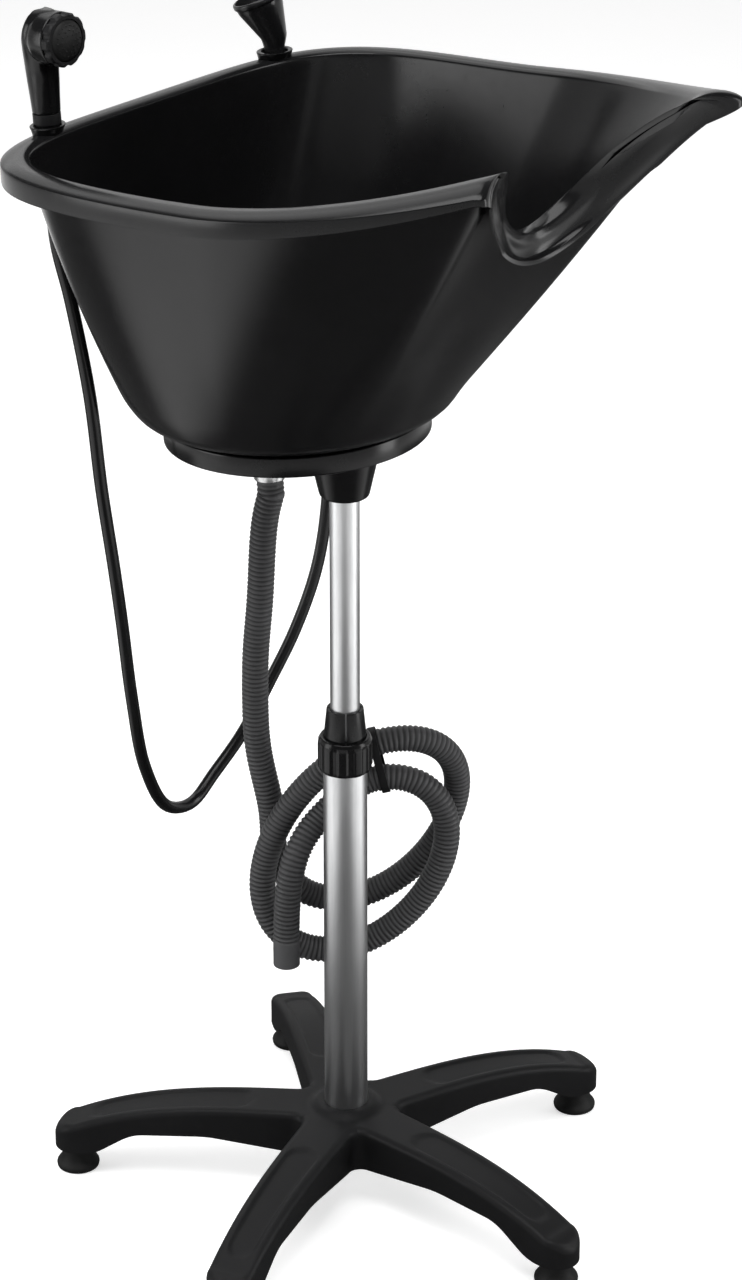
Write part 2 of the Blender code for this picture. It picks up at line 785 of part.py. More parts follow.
def build_carrier(riser, basin):
    under = RING_HEIGHT - RING_PLATE
    inner = RING_RADIUS - RING_WALL
    hole = DRAIN_TUBE_RADIUS + 2.0 * SEAT_GAP
    edge = 0.4 * RING_WALL
    carrier = add_mesh(
        "bowl_carrier",
        turned(
            (
                (0.5 * inner, under),
                (inner, under),
                (inner, 0.0),
                (RING_RADIUS - edge, 0.0),
                (RING_RADIUS, edge),
                (RING_RADIUS, RING_HEIGHT - edge),
                (RING_RADIUS - edge, RING_HEIGHT),
                (0.5 * inner, RING_HEIGHT),
            ),
            segments=CARRIER_SEGMENTS,
            closed=False,
        ),
        basin,
        GLOSS,
    )
    half_rib = 0.5 * RING_WALL

    def rib():
        return box(
            (0.45 * inner, -half_rib, under - RING_RIB_DEPTH),
            (inner + 0.5 * RING_WALL, half_rib, under + 0.5 * RING_PLATE),
        )

    ribs = add_mesh("rib_tool", around(RING_RIB_COUNT, rib, math.pi / RING_RIB_COUNT), basin, None)
    boolean(carrier, "UNION", ribs)
    low = under - RING_RIB_DEPTH - CUT_OVERRUN
    nut_room = BACK_NUT_RADIUS + CUT_OVERRUN
    drain_room = turned(
        (
            (nut_room, low),
            (nut_room, under + SEAT_GAP),
            (hole, under + SEAT_GAP),
            (hole, RING_HEIGHT + CUT_OVERRUN),
        ),
        closed=False,
    )
    drain_place = Matrix.Translation((0.0, DRAIN_OFFSET, 0.0))
    boolean(carrier, "DIFFERENCE", add_mesh("drain_room_tool", drain_room, basin, None, drain_place))
    room = SOCKET_FLANGE_RADIUS + 2.0 * SEAT_GAP
    floor = SOCKET_BOTTOM
    flange_room = skin([circle(room, floor), tilted_ring(room, under + SEAT_GAP)])
    boolean(carrier, "DIFFERENCE", add_mesh("flange_room_tool", flange_room, riser, None))

    flange_top = under
    flange_low = flange_top - SOCKET_FLANGE
    bore = UPPER_TUBE_RADIUS + SEAT_GAP
    neck = mix(SOCKET_BOTTOM_RADIUS, SOCKET_TOP_RADIUS, 0.04)
    socket = add_mesh(
        "column_socket",
        skin(
            [
                circle(bore, SOCKET_BOTTOM),
                circle(SOCKET_BOTTOM_RADIUS - 0.12 * neck, SOCKET_BOTTOM),
                circle(neck, SOCKET_BOTTOM + 0.12 * neck),
                tilted_ring(SOCKET_TOP_RADIUS, flange_low),
                tilted_ring(SOCKET_FLANGE_RADIUS, flange_low),
                tilted_ring(SOCKET_FLANGE_RADIUS, flange_top),
                tilted_ring(bore, flange_top),
            ],
            closed=True,
        ),
        riser,
        GLOSS,
    )
    screw_circle = mix(SOCKET_TOP_RADIUS, SOCKET_FLANGE_RADIUS, 0.53)
    tip = RING_HEIGHT - 2.0 * SEAT_GAP
    column_top = BASIN_FRAME.inverted() @ Vector((0.0, 0.0, plate_height(0.0, under)))
    place = Matrix.Translation((0.0, column_top.y, 0.0))
    start = math.pi / SOCKET_SCREW_COUNT

    def on_circle(make):
        def placed():
            shape = make()
            bmesh.ops.translate(shape, vec=(screw_circle, 0.0, 0.0), verts=shape.verts)
            return shape

        return placed

    head_top = flange_low - SEAT_GAP

    def screw():
        return turned(
            (
                (SCREW_HEAD_RADIUS, head_top - SCREW_HEAD_HEIGHT),
                (SCREW_HEAD_RADIUS, head_top),
                (SCREW_SHANK_RADIUS, head_top),
                (SCREW_SHANK_RADIUS, tip),
            ),
            SCREW_SIDES,
            closed=False,
        )

    def screw_hole():
        low = flange_low - CUT_OVERRUN
        return rod(SCREW_SHANK_RADIUS + SEAT_GAP, low, RING_HEIGHT + CUT_OVERRUN, SCREW_SIDES)

    for step in range(SOCKET_SCREW_COUNT):
        turn = Matrix.Rotation(start + 2.0 * math.pi * step / SOCKET_SCREW_COUNT, 4, "Z")
        add_mesh(f"socket_screw_{step + 1}", on_circle(screw)(), basin, METAL, place @ turn)
    shape = around(SOCKET_SCREW_COUNT, on_circle(screw_hole), start)
    holes = add_mesh("screw_hole_tool", shape, basin, None, place)
    boolean(carrier, "DIFFERENCE", holes)
    boolean(socket, "DIFFERENCE", holes)


# Bowl


def bezier(start, control, end, share):
    return start * (1.0 - share) ** 2 + control * 2.0 * share * (1.0 - share) + end * share**2


def back_depth(across):
    """How far back the rim's inner edge lies at a distance across."""
    share = min(abs(across) / RIM_HALF_WIDTH, 1.0)
    return RIM_WIDEST + (RIM_BACK - RIM_WIDEST) * (1.0 - share**RIM_FULLNESS) ** (1.0 / RIM_FULLNESS)


def side_point(depth):
    share = (RIM_WIDEST - depth) / (RIM_WIDEST - EAR_FRONT)
    across = mix(RIM_HALF_WIDTH, EAR_HALF_WIDTH, share**SIDE_TAPER)
    return Vector((across, depth, rim_height(depth)))


def ear_share(depth):
    return max((RIM_BACK - depth) / (RIM_BACK - EAR_FRONT), 0.0) ** EAR_SHARE_POWER


def rim_height(depth):
    return RIM_HEIGHT + EAR_LIFT * ear_share(depth)


def neck_share(reach):
    """Nought at the ears and one in the neck's middle, for a reach across of one to nought."""
    return 0.5 + 0.5 * math.cos(math.pi * min(abs(reach), 1.0))


def neck_point(reach):
    """Point of the flange's inner edge in the neck."""
    share = neck_share(reach)
    depth = EAR_FRONT + NECK_RECESS * share**NECK_RUN_POWER
    height = RIM_HEIGHT + EAR_LIFT - NECK_DEPTH * share**NECK_FALL_POWER
    return Vector((EAR_HALF_WIDTH * reach, depth, height))


def lip_point(reach):
    """Point of the flange's outer edge in the neck."""
    share = neck_share(reach)
    front = EAR_FRONT - EAR_LIP_FORWARD
    middle = EAR_FRONT + NECK_RECESS - NECK_LIP_FORWARD
    top = RIM_HEIGHT + EAR_LIFT
    depth = mix(front, middle, share**LIP_RUN_POWER)
    height = mix(top - EAR_LIP_FALL, top - NECK_DEPTH - NECK_LIP_FALL, share**LIP_FALL_POWER)
    return Vector(((EAR_HALF_WIDTH + EAR_LIP_SIDE) * reach, depth, height))


def evenly(points, count, turn_length=0.0):
    """Count + 1 points spaced evenly along a polyline, its two ends among them.

    Each radian that the line turns counts as that much more length, so bends get more points.
    """
    table = np.array([tuple(point) for point in points])
    steps = np.linalg.norm(np.diff(table, axis=0), axis=1)
    runs = np.diff(table, axis=0) / steps[:, None]
    turns = np.linalg.norm(np.diff(runs, axis=0), axis=1)
    steps += 0.5 * turn_length * (np.append(turns, 0.0) + np.append(0.0, turns))
    lengths = np.concatenate([[0.0], np.cumsum(steps)])
    wanted = np.linspace(0.0, lengths[-1], count + 1)
    columns = [np.interp(wanted, lengths, table[:, axis]) for axis in range(table.shape[1])]
    return [Vector(values) for values in zip(*columns)]


def flange_outside(edge):
    """Outer edge of the flange beside the back and sides, for points of its inner edge."""
    outer = []
    for index, point in enumerate(edge):
        run = edge[min(index + 1, len(edge) - 1)] - edge[max(index - 1, 0)]
        out = Vector((-run.y, run.x, 0.0)).normalized()
        width = mix(FLANGE_WIDTH, EAR_FLANGE_WIDTH, ear_share(point.y))
        outer.append(point + out * width - Vector((0.0, 0.0, FLANGE_FALL)))
    return outer


def rim_half():
    """Half of the flange, from the back's middle to the neck's: (inner, outer, neck share)."""
    fine = RIM_FINE_STEPS
    back = []
    for step in range(fine + 1):
        angle = 0.5 * math.pi * step / fine
        across = RIM_HALF_WIDTH * math.sin(angle) ** (2.0 / RIM_FULLNESS)
        depth = mix(RIM_WIDEST, RIM_BACK, math.cos(angle) ** (2.0 / RIM_FULLNESS))
        back.append(Vector((across, depth, rim_height(depth))))
    last = EAR_FRONT + EAR_CORNER
    side = [side_point(mix(RIM_WIDEST, last, step / fine)) for step in range(1, fine + 1)]
    edge = back + side
    outside = flange_outside(edge)
    start = 1.0 - EAR_CORNER / EAR_HALF_WIDTH
    tip = Vector((EAR_HALF_WIDTH, EAR_FRONT, RIM_HEIGHT + EAR_LIFT))
    outer_tip = lip_point(1.0) + Vector((EAR_LIP_CORNER, -EAR_LIP_CORNER, 0.0))
    corner = []
    neck = []
    for step in range(fine + 1):
        share = step / fine
        inner = bezier(edge[-1], tip, neck_point(start), share)
        outer = bezier(outside[-1], outer_tip, lip_point(start), share)
        corner.append((*inner, *outer, 0.0))
        reach = start * (1.0 - share)
        neck.append((*neck_point(reach), *lip_point(reach), 0.0))
    sides = [(*inner, *outer, 0.0) for inner, outer in zip(edge, outside)]
    whole = evenly(sides, SIDE_STATIONS, RIM_TURN_LENGTH)[:-1]
    whole += evenly(corner, CORNER_STATIONS)[:-1]
    whole += evenly(neck, NECK_STATIONS)
    first = SIDE_STATIONS + CORNER_STATIONS
    half = []
    for index, place in enumerate(whole):
        at_neck = neck_share(place[0] / EAR_HALF_WIDTH) if index >= first else 0.0
        half.append((Vector(place[:3]), Vector(place[3:6]), at_neck))
    return half


def rim_stations():
    """Closed list of (inner point, outer point, ear share, neck share) round the flange."""
    half = rim_half()
    stations = []
    for side, places in ((1.0, half), (-1.0, reversed(half[1:-1]))):
        for inner, outer, at_neck in places:
            near = Vector((side * inner.x, inner.y, inner.z))
            far = Vector((side * outer.x, outer.y, outer.z))
            stations.append((near, far, ear_share(max(inner.y, EAR_FRONT)), at_neck))
    return stations


def crook(first, second, wall):
    """Step from a corner into the solid between two faces that leave it, one wall from each."""
    first, second = first.normalized(), second.normalized()
    middle = (first + second).normalized()
    return middle * (wall / math.sin(middle.angle(first)))


def build_bowl(basin):
    stations = rim_stations()
    hole = DRAIN_TUBE_RADIUS + 2.0 * SEAT_GAP
    base_low = RING_HEIGHT + SEAT_GAP
    round_radius = mix(BOWL_FOOT_RADIUS, BOWL_BASE_RADIUS, 0.66)
    round_height = mix(base_low, BOWL_BASE_HEIGHT, 0.32)
    upwards = Vector((0.0, 0.0, 1.0))

    def base_direction(point):
        across = point.x / RIM_HALF_WIDTH
        extent = RIM_BACK if point.y > 0.0 else -EAR_FRONT
        return Vector((across, point.y / extent, 0.0)).normalized()

    def base_ring(radius, height, centre=0.0):
        ring = []
        for point, _, _, _ in stations:
            direction = base_direction(point)
            ring.append(Vector((radius * direction.x, centre + radius * direction.y, height)))
        return ring

    def flange_ring(out_share, rim_share, neck_crest_share, sunk=0.0):
        """Ring across the flange, raised square to the straight line between its edges."""
        ring = []
        for inner, outer, ear, neck in stations:
            chord = outer - inner
            level = Vector((chord.x, chord.y, 0.0)).normalized()
            raised = (upwards * chord.dot(level) - level * chord.z).normalized()
            dished = smooth_step(*NECK_SECTION_SHARES, neck)
            crest = mix(RIM_CREST, EAR_CREST, ear) * rim_share
            rise = mix(crest, NECK_CREST * neck_crest_share, dished)
            ring.append(inner + chord * out_share + raised * (rise - sunk))
        return ring

    def skirt_ring(inset, raised):
        """Ring on the skirt's foot, or on its inner side just under the flange."""
        ring = []
        for inner, outer, ear, neck in stations:
            chord = outer - inner
            level = Vector((chord.x, chord.y, 0.0)).normalized()
            drop = mix(FLANGE_DROP, LIP_DROP, max(ear, smooth_step(*NECK_SECTION_SHARES, neck)))
            if raised:
                ring.append(outer + crook(-upwards, -chord, FLANGE_WALL))
            else:
                ring.append(outer - upwards * drop - level * inset)
        return ring

    def wall_ring(share, inner_side):
        ring = []
        for inner, outer, _, _ in stations:
            direction = base_direction(inner)
            radius = BOWL_BASE_RADIUS - (BOWL_WALL if inner_side else 0.0)
            foot = direction * radius + upwards * BOWL_BASE_HEIGHT
            top = inner.copy()
            if not inner_side:
                top += crook(foot - inner, outer - inner, BOWL_WALL)
            bulge = WALL_BULGE * 4.0 * share * (1.0 - share)
            ring.append(foot.lerp(top, share) + direction * bulge)
        return ring

    rings = [
        base_ring(hole, base_low + BOWL_WALL, DRAIN_OFFSET),
        base_ring(BOWL_FOOT_RADIUS - BOWL_WALL, base_low + BOWL_WALL),
        base_ring(round_radius - BOWL_WALL, round_height + 0.8 * BOWL_WALL),
        base_ring(BOWL_BASE_RADIUS - BOWL_WALL, BOWL_BASE_HEIGHT),
    ]
    rings += [wall_ring(share, True) for share in WALL_SHARES]
    rings.append([inner.copy() for inner, _, _, _ in stations])
    shares = list(zip(FLANGE_OUT_SHARES, RIM_CREST_SHARES, NECK_CREST_SHARES))
    rings += [flange_ring(*share) for share in shares]
    rings.append(skirt_ring(0.0, False))
    rings.append(skirt_ring(FLANGE_WALL, False))
    rings.append(skirt_ring(FLANGE_WALL, True))
    for share in UNDER_OUT_SHARES:
        rim_share = float(np.interp(share, FLANGE_OUT_SHARES, RIM_CREST_SHARES))
        crest_share = float(np.interp(share, FLANGE_OUT_SHARES, NECK_CREST_SHARES))
        rings.append(flange_ring(share, rim_share, crest_share, FLANGE_WALL))
    rings.append(wall_ring(1.0, False))
    rings += [wall_ring(share, False) for share in reversed(WALL_SHARES)]
    rings += [
        base_ring(BOWL_BASE_RADIUS, BOWL_BASE_HEIGHT),
        base_ring(round_radius, round_height),
        base_ring(BOWL_FOOT_RADIUS, base_low),
        base_ring(hole, base_low, DRAIN_OFFSET),
    ]
    bowl = add_mesh("bowl", skin(rings, closed=True), basin, GLOSS)
    shape = bmesh.new()
    for side in (-1.0, 1.0):
        x, y, z = holder_place(side)
        cutter = circle(HOLDER_STEM_RADIUS + SEAT_GAP, z - FLANGE_DROP, SMALL_SEGMENTS, (x, y))
        upper = circle(HOLDER_STEM_RADIUS + SEAT_GAP, z + CUT_OVERRUN, SMALL_SEGMENTS, (x, y))
        skin([cutter, upper], shape=shape)
    boolean(bowl, "DIFFERENCE", add_mesh("holder_hole_tool", shape, basin, None))


def holder_across(side):
    return HANDSET_ACROSS if side < 0.0 else CONNECTOR_ACROSS


def holder_place(side):
    """Middle of a hose holder on the flange, in the basin's frame, and the crest's height."""
    across = holder_across(side)
    step = 0.01 * RIM_HALF_WIDTH
    slope = (back_depth(across + step) - back_depth(across - step)) / (2.0 * step)
    out = Vector((-slope, 1.0)).normalized()
    inset = 0.5 * FLANGE_WIDTH
    depth = back_depth(across) + out.y * inset
    return side * (across + out.x * inset), depth, RIM_HEIGHT + RIM_CREST


# Hoses


def smooth_route(points, count):
    """Points spaced evenly along a smooth curve through the route's own points."""
    line = [Vector(point) for point in points]
    line = [2.0 * line[0] - line[1]] + line + [2.0 * line[-1] - line[-2]]
    fine = []
    for p0, p1, p2, p3 in zip(line, line[1:], line[2:], line[3:]):
        t1 = (p1 - p0).length ** 0.5
        t2 = t1 + (p2 - p1).length ** 0.5
        t3 = t2 + (p3 - p2).length ** 0.5
        for step in range(12):
            t = mix(t1, t2, step / 12)
            a1 = p0 * ((t1 - t) / t1) + p1 * (t / t1)
            a2 = p1 * ((t2 - t) / (t2 - t1)) + p2 * ((t - t1) / (t2 - t1))
            a3 = p2 * ((t3 - t) / (t3 - t2)) + p3 * ((t - t2) / (t3 - t2))
            b1 = a1 * ((t2 - t) / t2) + a2 * (t / t2)
            b2 = a2 * ((t3 - t) / (t3 - t1)) + a3 * ((t - t1) / (t3 - t1))
            fine.append(b1 * ((t2 - t) / (t2 - t1)) + b2 * ((t - t1) / (t2 - t1)))
    fine.append(line[-2])
    return evenly(fine, count)


def relaxed(points, passes, held):
    """Points drawn towards their neighbours' mean, with a few at each end held."""
    line = [point.copy() for point in points]
    for _ in range(passes):
        last = [point.copy() for point in line]
        for index in range(held, len(line) - held):
            line[index] = 0.25 * last[index - 1] + 0.5 * last[index] + 0.25 * last[index + 1]
    return line


def hose_plane_point(along, out, up):
    turn = math.radians(HOSE_PLANE_TURN)
    return Vector(
        (
            along * math.cos(turn) - out * math.sin(turn),
            along * math.sin(turn) + out * math.cos(turn),
            up,
        )
    )


def coil_point(degrees):
    """Point of the flat, leaning coil, in the hose plane: along, behind, up."""
    share = (degrees - COIL_START) / (COIL_END - COIL_START)
    turns = (degrees - COIL_PHASE) / 360.0
    swing = COIL_LONG_RADIUS * math.cos(math.radians(degrees))
    sway = COIL_SHORT_RADIUS * math.sin(math.radians(degrees))
    lean = math.radians(COIL_LEAN)
    along = COIL_CENTRE[0] + COIL_DRIFT[0] * turns
    up = COIL_CENTRE[1] + COIL_DRIFT[1] * turns
    along += swing * math.cos(lean) - sway * math.sin(lean)
    up += swing * math.sin(lean) + sway * math.cos(lean)
    out = mix(COIL_BACK, COIL_FRONT, smooth_step(*COIL_CROSSOVER_SHARES, share))
    return along, out, up


def drain_hose_route(count):
    straight = [
        BASIN_FRAME @ Vector((0.0, DRAIN_OFFSET, -HOSE_START_DROP - step * HOSE_CUFF_LENGTH))
        for step in (0.0, 0.25, 0.5, 0.75, 1.0)
    ]
    turns = (COIL_END - COIL_START) / 360.0
    steps = round(turns * COIL_POINTS_PER_TURN)
    coil = [coil_point(mix(COIL_START, COIL_END, step / steps)) for step in range(steps + 1)]
    middle = [hose_plane_point(*point) for point in (*DROP_ROUTE, *coil, *TAIL_ROUTE)]
    fine = smooth_route(straight + middle, HOSE_FINE_POINTS)
    held = round(HOSE_CUFF_LENGTH / (fine[1] - fine[0]).length)
    return evenly(relaxed(fine, HOSE_EASING, held), count)


def route_length(points):
    return sum((after - before).length for before, after in zip(points, points[1:]))


def least_gap(points, radius):
    """Least clear distance between parts of a tube that lie apart along it."""
    table = np.array([tuple(point) for point in points])
    steps = np.linalg.norm(np.diff(table, axis=0), axis=1)
    lengths = np.concatenate([[0.0], np.cumsum(steps)])
    apart = np.abs(lengths[:, None] - lengths[None, :]) > 8.0 * radius
    gaps = np.linalg.norm(table[:, None, :] - table[None, :, :], axis=2)
    return float(gaps[apart].min()) - 2.0 * radius


def tube_curve(name, points, radius, parent, look, shares=None):
    """Curve object with a round bevel and filled caps through the given points."""
    data = bpy.data.curves.new(name, "CURVE")
    data.dimensions = "3D"
    data.bevel_depth = radius
    data.bevel_resolution = 2
    data.use_fill_caps = True
    line = data.splines.new("POLY")
    line.points.add(len(points) - 1)
    for index, point in enumerate(points):
        line.points[index].co = (*point, 1.0)
        line.points[index].radius = shares[index] if shares else 1.0
    made = bpy.data.objects.new(name, data)
    bpy.context.collection.objects.link(made)
    made.parent = parent
    if look:
        data.materials.append(finish_material(name, *look))
    return made


def curve_as_mesh(curve, look):
    """Mesh object that takes a curve object's name, parent and place."""
    bpy.context.view_layer.update()
    evaluated = curve.evaluated_get(bpy.context.evaluated_depsgraph_get())
    shape = bmesh.new()
    shape.from_mesh(evaluated.to_mesh())
    evaluated.to_mesh_clear()
    bmesh.ops.remove_doubles(shape, verts=shape.verts, dist=MERGE_DISTANCE)
    name, parent, place = curve.name, curve.parent, curve.matrix_local.copy()
    bpy.data.objects.remove(curve, do_unlink=True)
    return add_mesh(name, shape, parent, look, place)


def build_drain_hose(riser):
    """Ribbed hose: two points a rib, plain cuffs at its ends and a plainer bore cut out."""
    points = drain_hose_route(2 * HOSE_RIB_COUNT)
    length = route_length(points)
    cuff = HOSE_CUFF_LENGTH / length
    tail_cuff = 2.0 * HOSE_RADIUS / length
    shares = []
    for index in range(len(points)):
        place = index / (len(points) - 1)
        plain = place < cuff or place > 1.0 - tail_cuff
        valley = index % 2 == 1 and not plain
        shares.append(HOSE_VALLEY_RADIUS / HOSE_RADIUS if valley else 1.0)
    gap = least_gap(points, HOSE_RADIUS)
    print(f"drain hose: length {length:.3f} m, least gap to itself {1000.0 * gap:.2f} mm")
    hose = curve_as_mesh(tube_curve("drain_hose", points, HOSE_RADIUS, riser, None, shares), GREY_HOSE)
    line = points[:-1:2]
    first = points[0] + (points[0] - points[1]).normalized() * CUT_OVERRUN
    last = points[-1] + (points[-1] - points[-2]).normalized() * CUT_OVERRUN
    line = [first, *line, points[-1], last]
    bore = tube_curve("bore_tool", line, HOSE_BORE_RADIUS, riser, None)
    boolean(hose, "DIFFERENCE", curve_as_mesh(bore, None))
    build_hose_tie(riser, points)


def build_hose_tie(riser, points):
    """Flat band round the coil's two upper strands, just beside the height lock."""
    turn = math.radians(HOSE_PLANE_TURN)
    axis = Vector((math.cos(turn), math.sin(turn), 0.0))
    crossings = []
    for before, after in zip(points, points[1:]):
        low, high = sorted((before.dot(axis), after.dot(axis)))
        above = before.z > COIL_CENTRE[1]
        if low <= TIE_ALONG < high and above:
            share = (TIE_ALONG - before.dot(axis)) / (after - before).dot(axis)
            crossings.append((before.lerp(after, share), (after - before).normalized()))
    (upper, upper_run), (lower, lower_run) = crossings[:2]
    run = upper_run + (lower_run if lower_run.dot(upper_run) > 0.0 else -lower_run)
    run.normalize()
    rise = (upper - lower) - (upper - lower).dot(run) * run
    across = run.cross(rise.normalized())
    half = 0.5 * rise.length
    centre = 0.5 * (upper + lower)
    inner = HOSE_RADIUS + TIE_SLACK
    rings = []
    for step in range(TIE_STATIONS):
        angle = 2.0 * math.pi * (step + 0.5) / TIE_STATIONS
        shift = rise.normalized() * half * (1.0 if math.sin(angle) > 0.0 else -1.0)
        way = across * math.cos(angle) + rise.normalized() * math.sin(angle)
        ring = []
        for out, side in ((0.0, -0.5), (1.0, -0.5), (1.0, 0.5), (0.0, 0.5)):
            reach = inner + out * TIE_THICKNESS
            ring.append(centre + shift + way * reach + run * (side * TIE_WIDTH))
        rings.append(ring)
    add_mesh("hose_tie", skin(rings, closed=True), riser, SATIN)


def shower_hose_route():
    exits = []
    for side in (-1.0, 1.0):
        place = Vector(holder_place(side))
        depths = (HOSE_END_RISE, 0.0, -HOLDER_STEM_LENGTH, -2.2 * HOLDER_STEM_LENGTH)
        exits.append([BASIN_FRAME @ (place + Vector((0.0, 0.0, depth))) for depth in depths])
    route = exits[0] + [Vector(point) for point in SHOWER_ROUTE] + exits[1][::-1]
    return smooth_route(route, SHOWER_HOSE_POINTS - 1)


# Drain


def build_drain(basin, strainer):
    """Drain pieces about their own upright axis, in frames whose origin is on that axis."""
    drain = add_empty("drain_axis", basin, Matrix.Translation((0.0, DRAIN_OFFSET, 0.0)))
    floor = RING_HEIGHT + SEAT_GAP + BOWL_WALL + SEAT_GAP
    tube_inner = DRAIN_TUBE_RADIUS - DRAIN_TUBE_WALL
    under = RING_HEIGHT - RING_PLATE
    gasket_low = under - GASKET_THICKNESS
    nut_top = gasket_low - SEAT_GAP
    nut_low = nut_top - BACK_NUT_HEIGHT
    tube_low = nut_low - DRAIN_TUBE_RADIUS
    top = floor + DRAIN_FLANGE_THICKNESS
    edge = 0.4 * DRAIN_FLANGE_THICKNESS
    lip = top - 0.5 * DRAIN_FLANGE_THICKNESS
    add_mesh(
        "drain_flange",
        turned(
            (
                (DRAIN_TUBE_RADIUS, tube_low),
                (DRAIN_TUBE_RADIUS, floor),
                (DRAIN_FLANGE_RADIUS, floor),
                (DRAIN_FLANGE_RADIUS, floor + edge),
                (DRAIN_FLANGE_RADIUS - 2.0 * edge, top),
                (STRAINER_RADIUS + SEAT_GAP, top),
                (STRAINER_RADIUS + SEAT_GAP, lip),
                (tube_inner, lip),
                (tube_inner, tube_low),
            ),
            DRAIN_SEGMENTS,
        ),
        drain,
        METAL,
    )
    bore = DRAIN_TUBE_RADIUS + SEAT_GAP
    gasket_radius = BACK_NUT_RADIUS * math.cos(math.pi / 6.0)
    add_mesh(
        "drain_gasket",
        turned(
            (
                (bore, gasket_low),
                (gasket_radius, gasket_low),
                (gasket_radius, under),
                (bore, under),
            ),
            DRAIN_SEGMENTS,
        ),
        drain,
        RUBBER,
    )
    nut_rings = [
        circle(bore, nut_low, DRAIN_SEGMENTS),
        hexagon(BACK_NUT_RADIUS, nut_low, DRAIN_SEGMENTS),
        hexagon(BACK_NUT_RADIUS, nut_top, DRAIN_SEGMENTS),
        circle(bore, nut_top, DRAIN_SEGMENTS),
    ]
    add_mesh("drain_nut", skin(nut_rings, closed=True), drain, SATIN)
    cup_top = nut_low - SEAT_GAP
    cup_bore = DRAIN_TUBE_RADIUS + SEAT_GAP
    cup_floor = tube_low - SEAT_GAP
    spigot_low = -HOSE_START_DROP - SPIGOT_LENGTH
    shoulder = -HOSE_START_DROP + SEAT_GAP
    add_mesh(
        "drain_tail",
        turned(
            (
                (cup_bore, cup_top),
                (TAIL_CUP_RADIUS, cup_top),
                (TAIL_CUP_RADIUS, -TAIL_CUP_BOTTOM),
                (HOSE_RADIUS, mix(-TAIL_CUP_BOTTOM, shoulder, 0.84)),
                (HOSE_RADIUS, shoulder),
                (SPIGOT_RADIUS, shoulder),
                (SPIGOT_RADIUS, spigot_low),
                (SPIGOT_BORE, spigot_low),
                (SPIGOT_BORE, mix(-TAIL_CUP_BOTTOM, shoulder, 0.7)),
                (cup_bore - DRAIN_TUBE_WALL, cup_floor),
                (cup_bore, cup_floor),
            ),
            DRAIN_SEGMENTS,
        ),
        drain,
        SATIN,
    )
    strainer_shape = turned(
        (
            (STRAINER_CUP_RADIUS - DRAIN_TUBE_WALL, -STRAINER_DEPTH),
            (STRAINER_CUP_RADIUS, -0.7 * STRAINER_DEPTH),
            (STRAINER_CUP_RADIUS, 0.0),
            (STRAINER_RADIUS, 0.0),
            (STRAINER_RADIUS, 0.5 * edge),
            (STRAINER_RADIUS - edge, edge),
            (0.86 * STRAINER_CUP_RADIUS, 0.4 * edge),
            (0.80 * STRAINER_CUP_RADIUS, -0.5 * STRAINER_DEPTH),
            (0.2 * STRAINER_CUP_RADIUS, mix(-STRAINER_DEPTH, -0.5 * STRAINER_DEPTH, 0.7)),
        ),
        DRAIN_SEGMENTS,
        closed=False,
    )
    strainer.matrix_local = Matrix.Translation((0.0, DRAIN_OFFSET, lip + SEAT_GAP))
    cup = add_mesh("drain_strainer", strainer_shape, strainer, METAL)

    def hole():
        shape = rod(STRAINER_HOLE_RADIUS, -STRAINER_DEPTH - CUT_OVERRUN, 0.0, SCREW_SIDES)
        bmesh.ops.translate(shape, vec=(0.5 * STRAINER_CUP_RADIUS, 0.0, 0.0), verts=shape.verts)
        return shape

    holes = add_mesh("strainer_hole_tool", around(STRAINER_HOLE_COUNT, hole), strainer, None)
    boolean(cup, "DIFFERENCE", holes)
    band_inner = HOSE_RADIUS + 1.5 * SEAT_GAP
    band_outer = band_inner + CLIP_THICKNESS
    band_low = -HOSE_START_DROP - 1.6 * CLIP_WIDTH
    band = turned(
        (
            (band_inner, band_low),
            (band_outer, band_low),
            (band_outer, band_low + CLIP_WIDTH),
            (band_inner, band_low + CLIP_WIDTH),
        ),
        DRAIN_SEGMENTS,
    )
    ear = box(
        (band_inner + 0.4 * CLIP_THICKNESS, -CLIP_THICKNESS, band_low + 0.1 * CLIP_WIDTH),
        (band_outer + CLIP_EAR_LENGTH, CLIP_THICKNESS, band_low + 0.9 * CLIP_WIDTH),
    )
    turn = Matrix.Rotation(math.radians(HOSE_PLANE_TURN), 4, "Z")
    clip = add_mesh("hose_clip", band, drain, METAL, turn)
    boolean(clip, "UNION", add_mesh("ear_tool", ear, drain, None, turn))


# Hose holders, handset and tap connector


def oval(radius, height, share, segments=SMALL_SEGMENTS):
    return circle(radius, height, segments, stretch=share)


def seated_ring(bowl_faces, frame, ring, lift):
    """The ring lowered onto the bowl's rim, in the holder's frame, with a gap."""
    seated = []
    for point in ring:
        start = frame @ point + Vector((0.0, 0.0, HOLDER_HEIGHT))
        hit = bowl_faces.ray_cast(start, Vector((0.0, 0.0, -1.0)))[0]
        low = (frame.inverted() @ hit).z if hit else point.z
        seated.append(Vector((point.x, point.y, max(low, -FLANGE_WALL) + lift)))
    return seated


def holder_frame(side):
    """Frame on the flange's crest with Y outwards from the bowl."""
    place = Vector(holder_place(side))
    across = holder_across(side)
    out = Vector((place.x - side * across, place.y - back_depth(across), 0.0)).normalized()
    turn = math.atan2(out.y, out.x) - 0.5 * math.pi
    return Matrix.Translation(place) @ Matrix.Rotation(turn, 4, "Z")


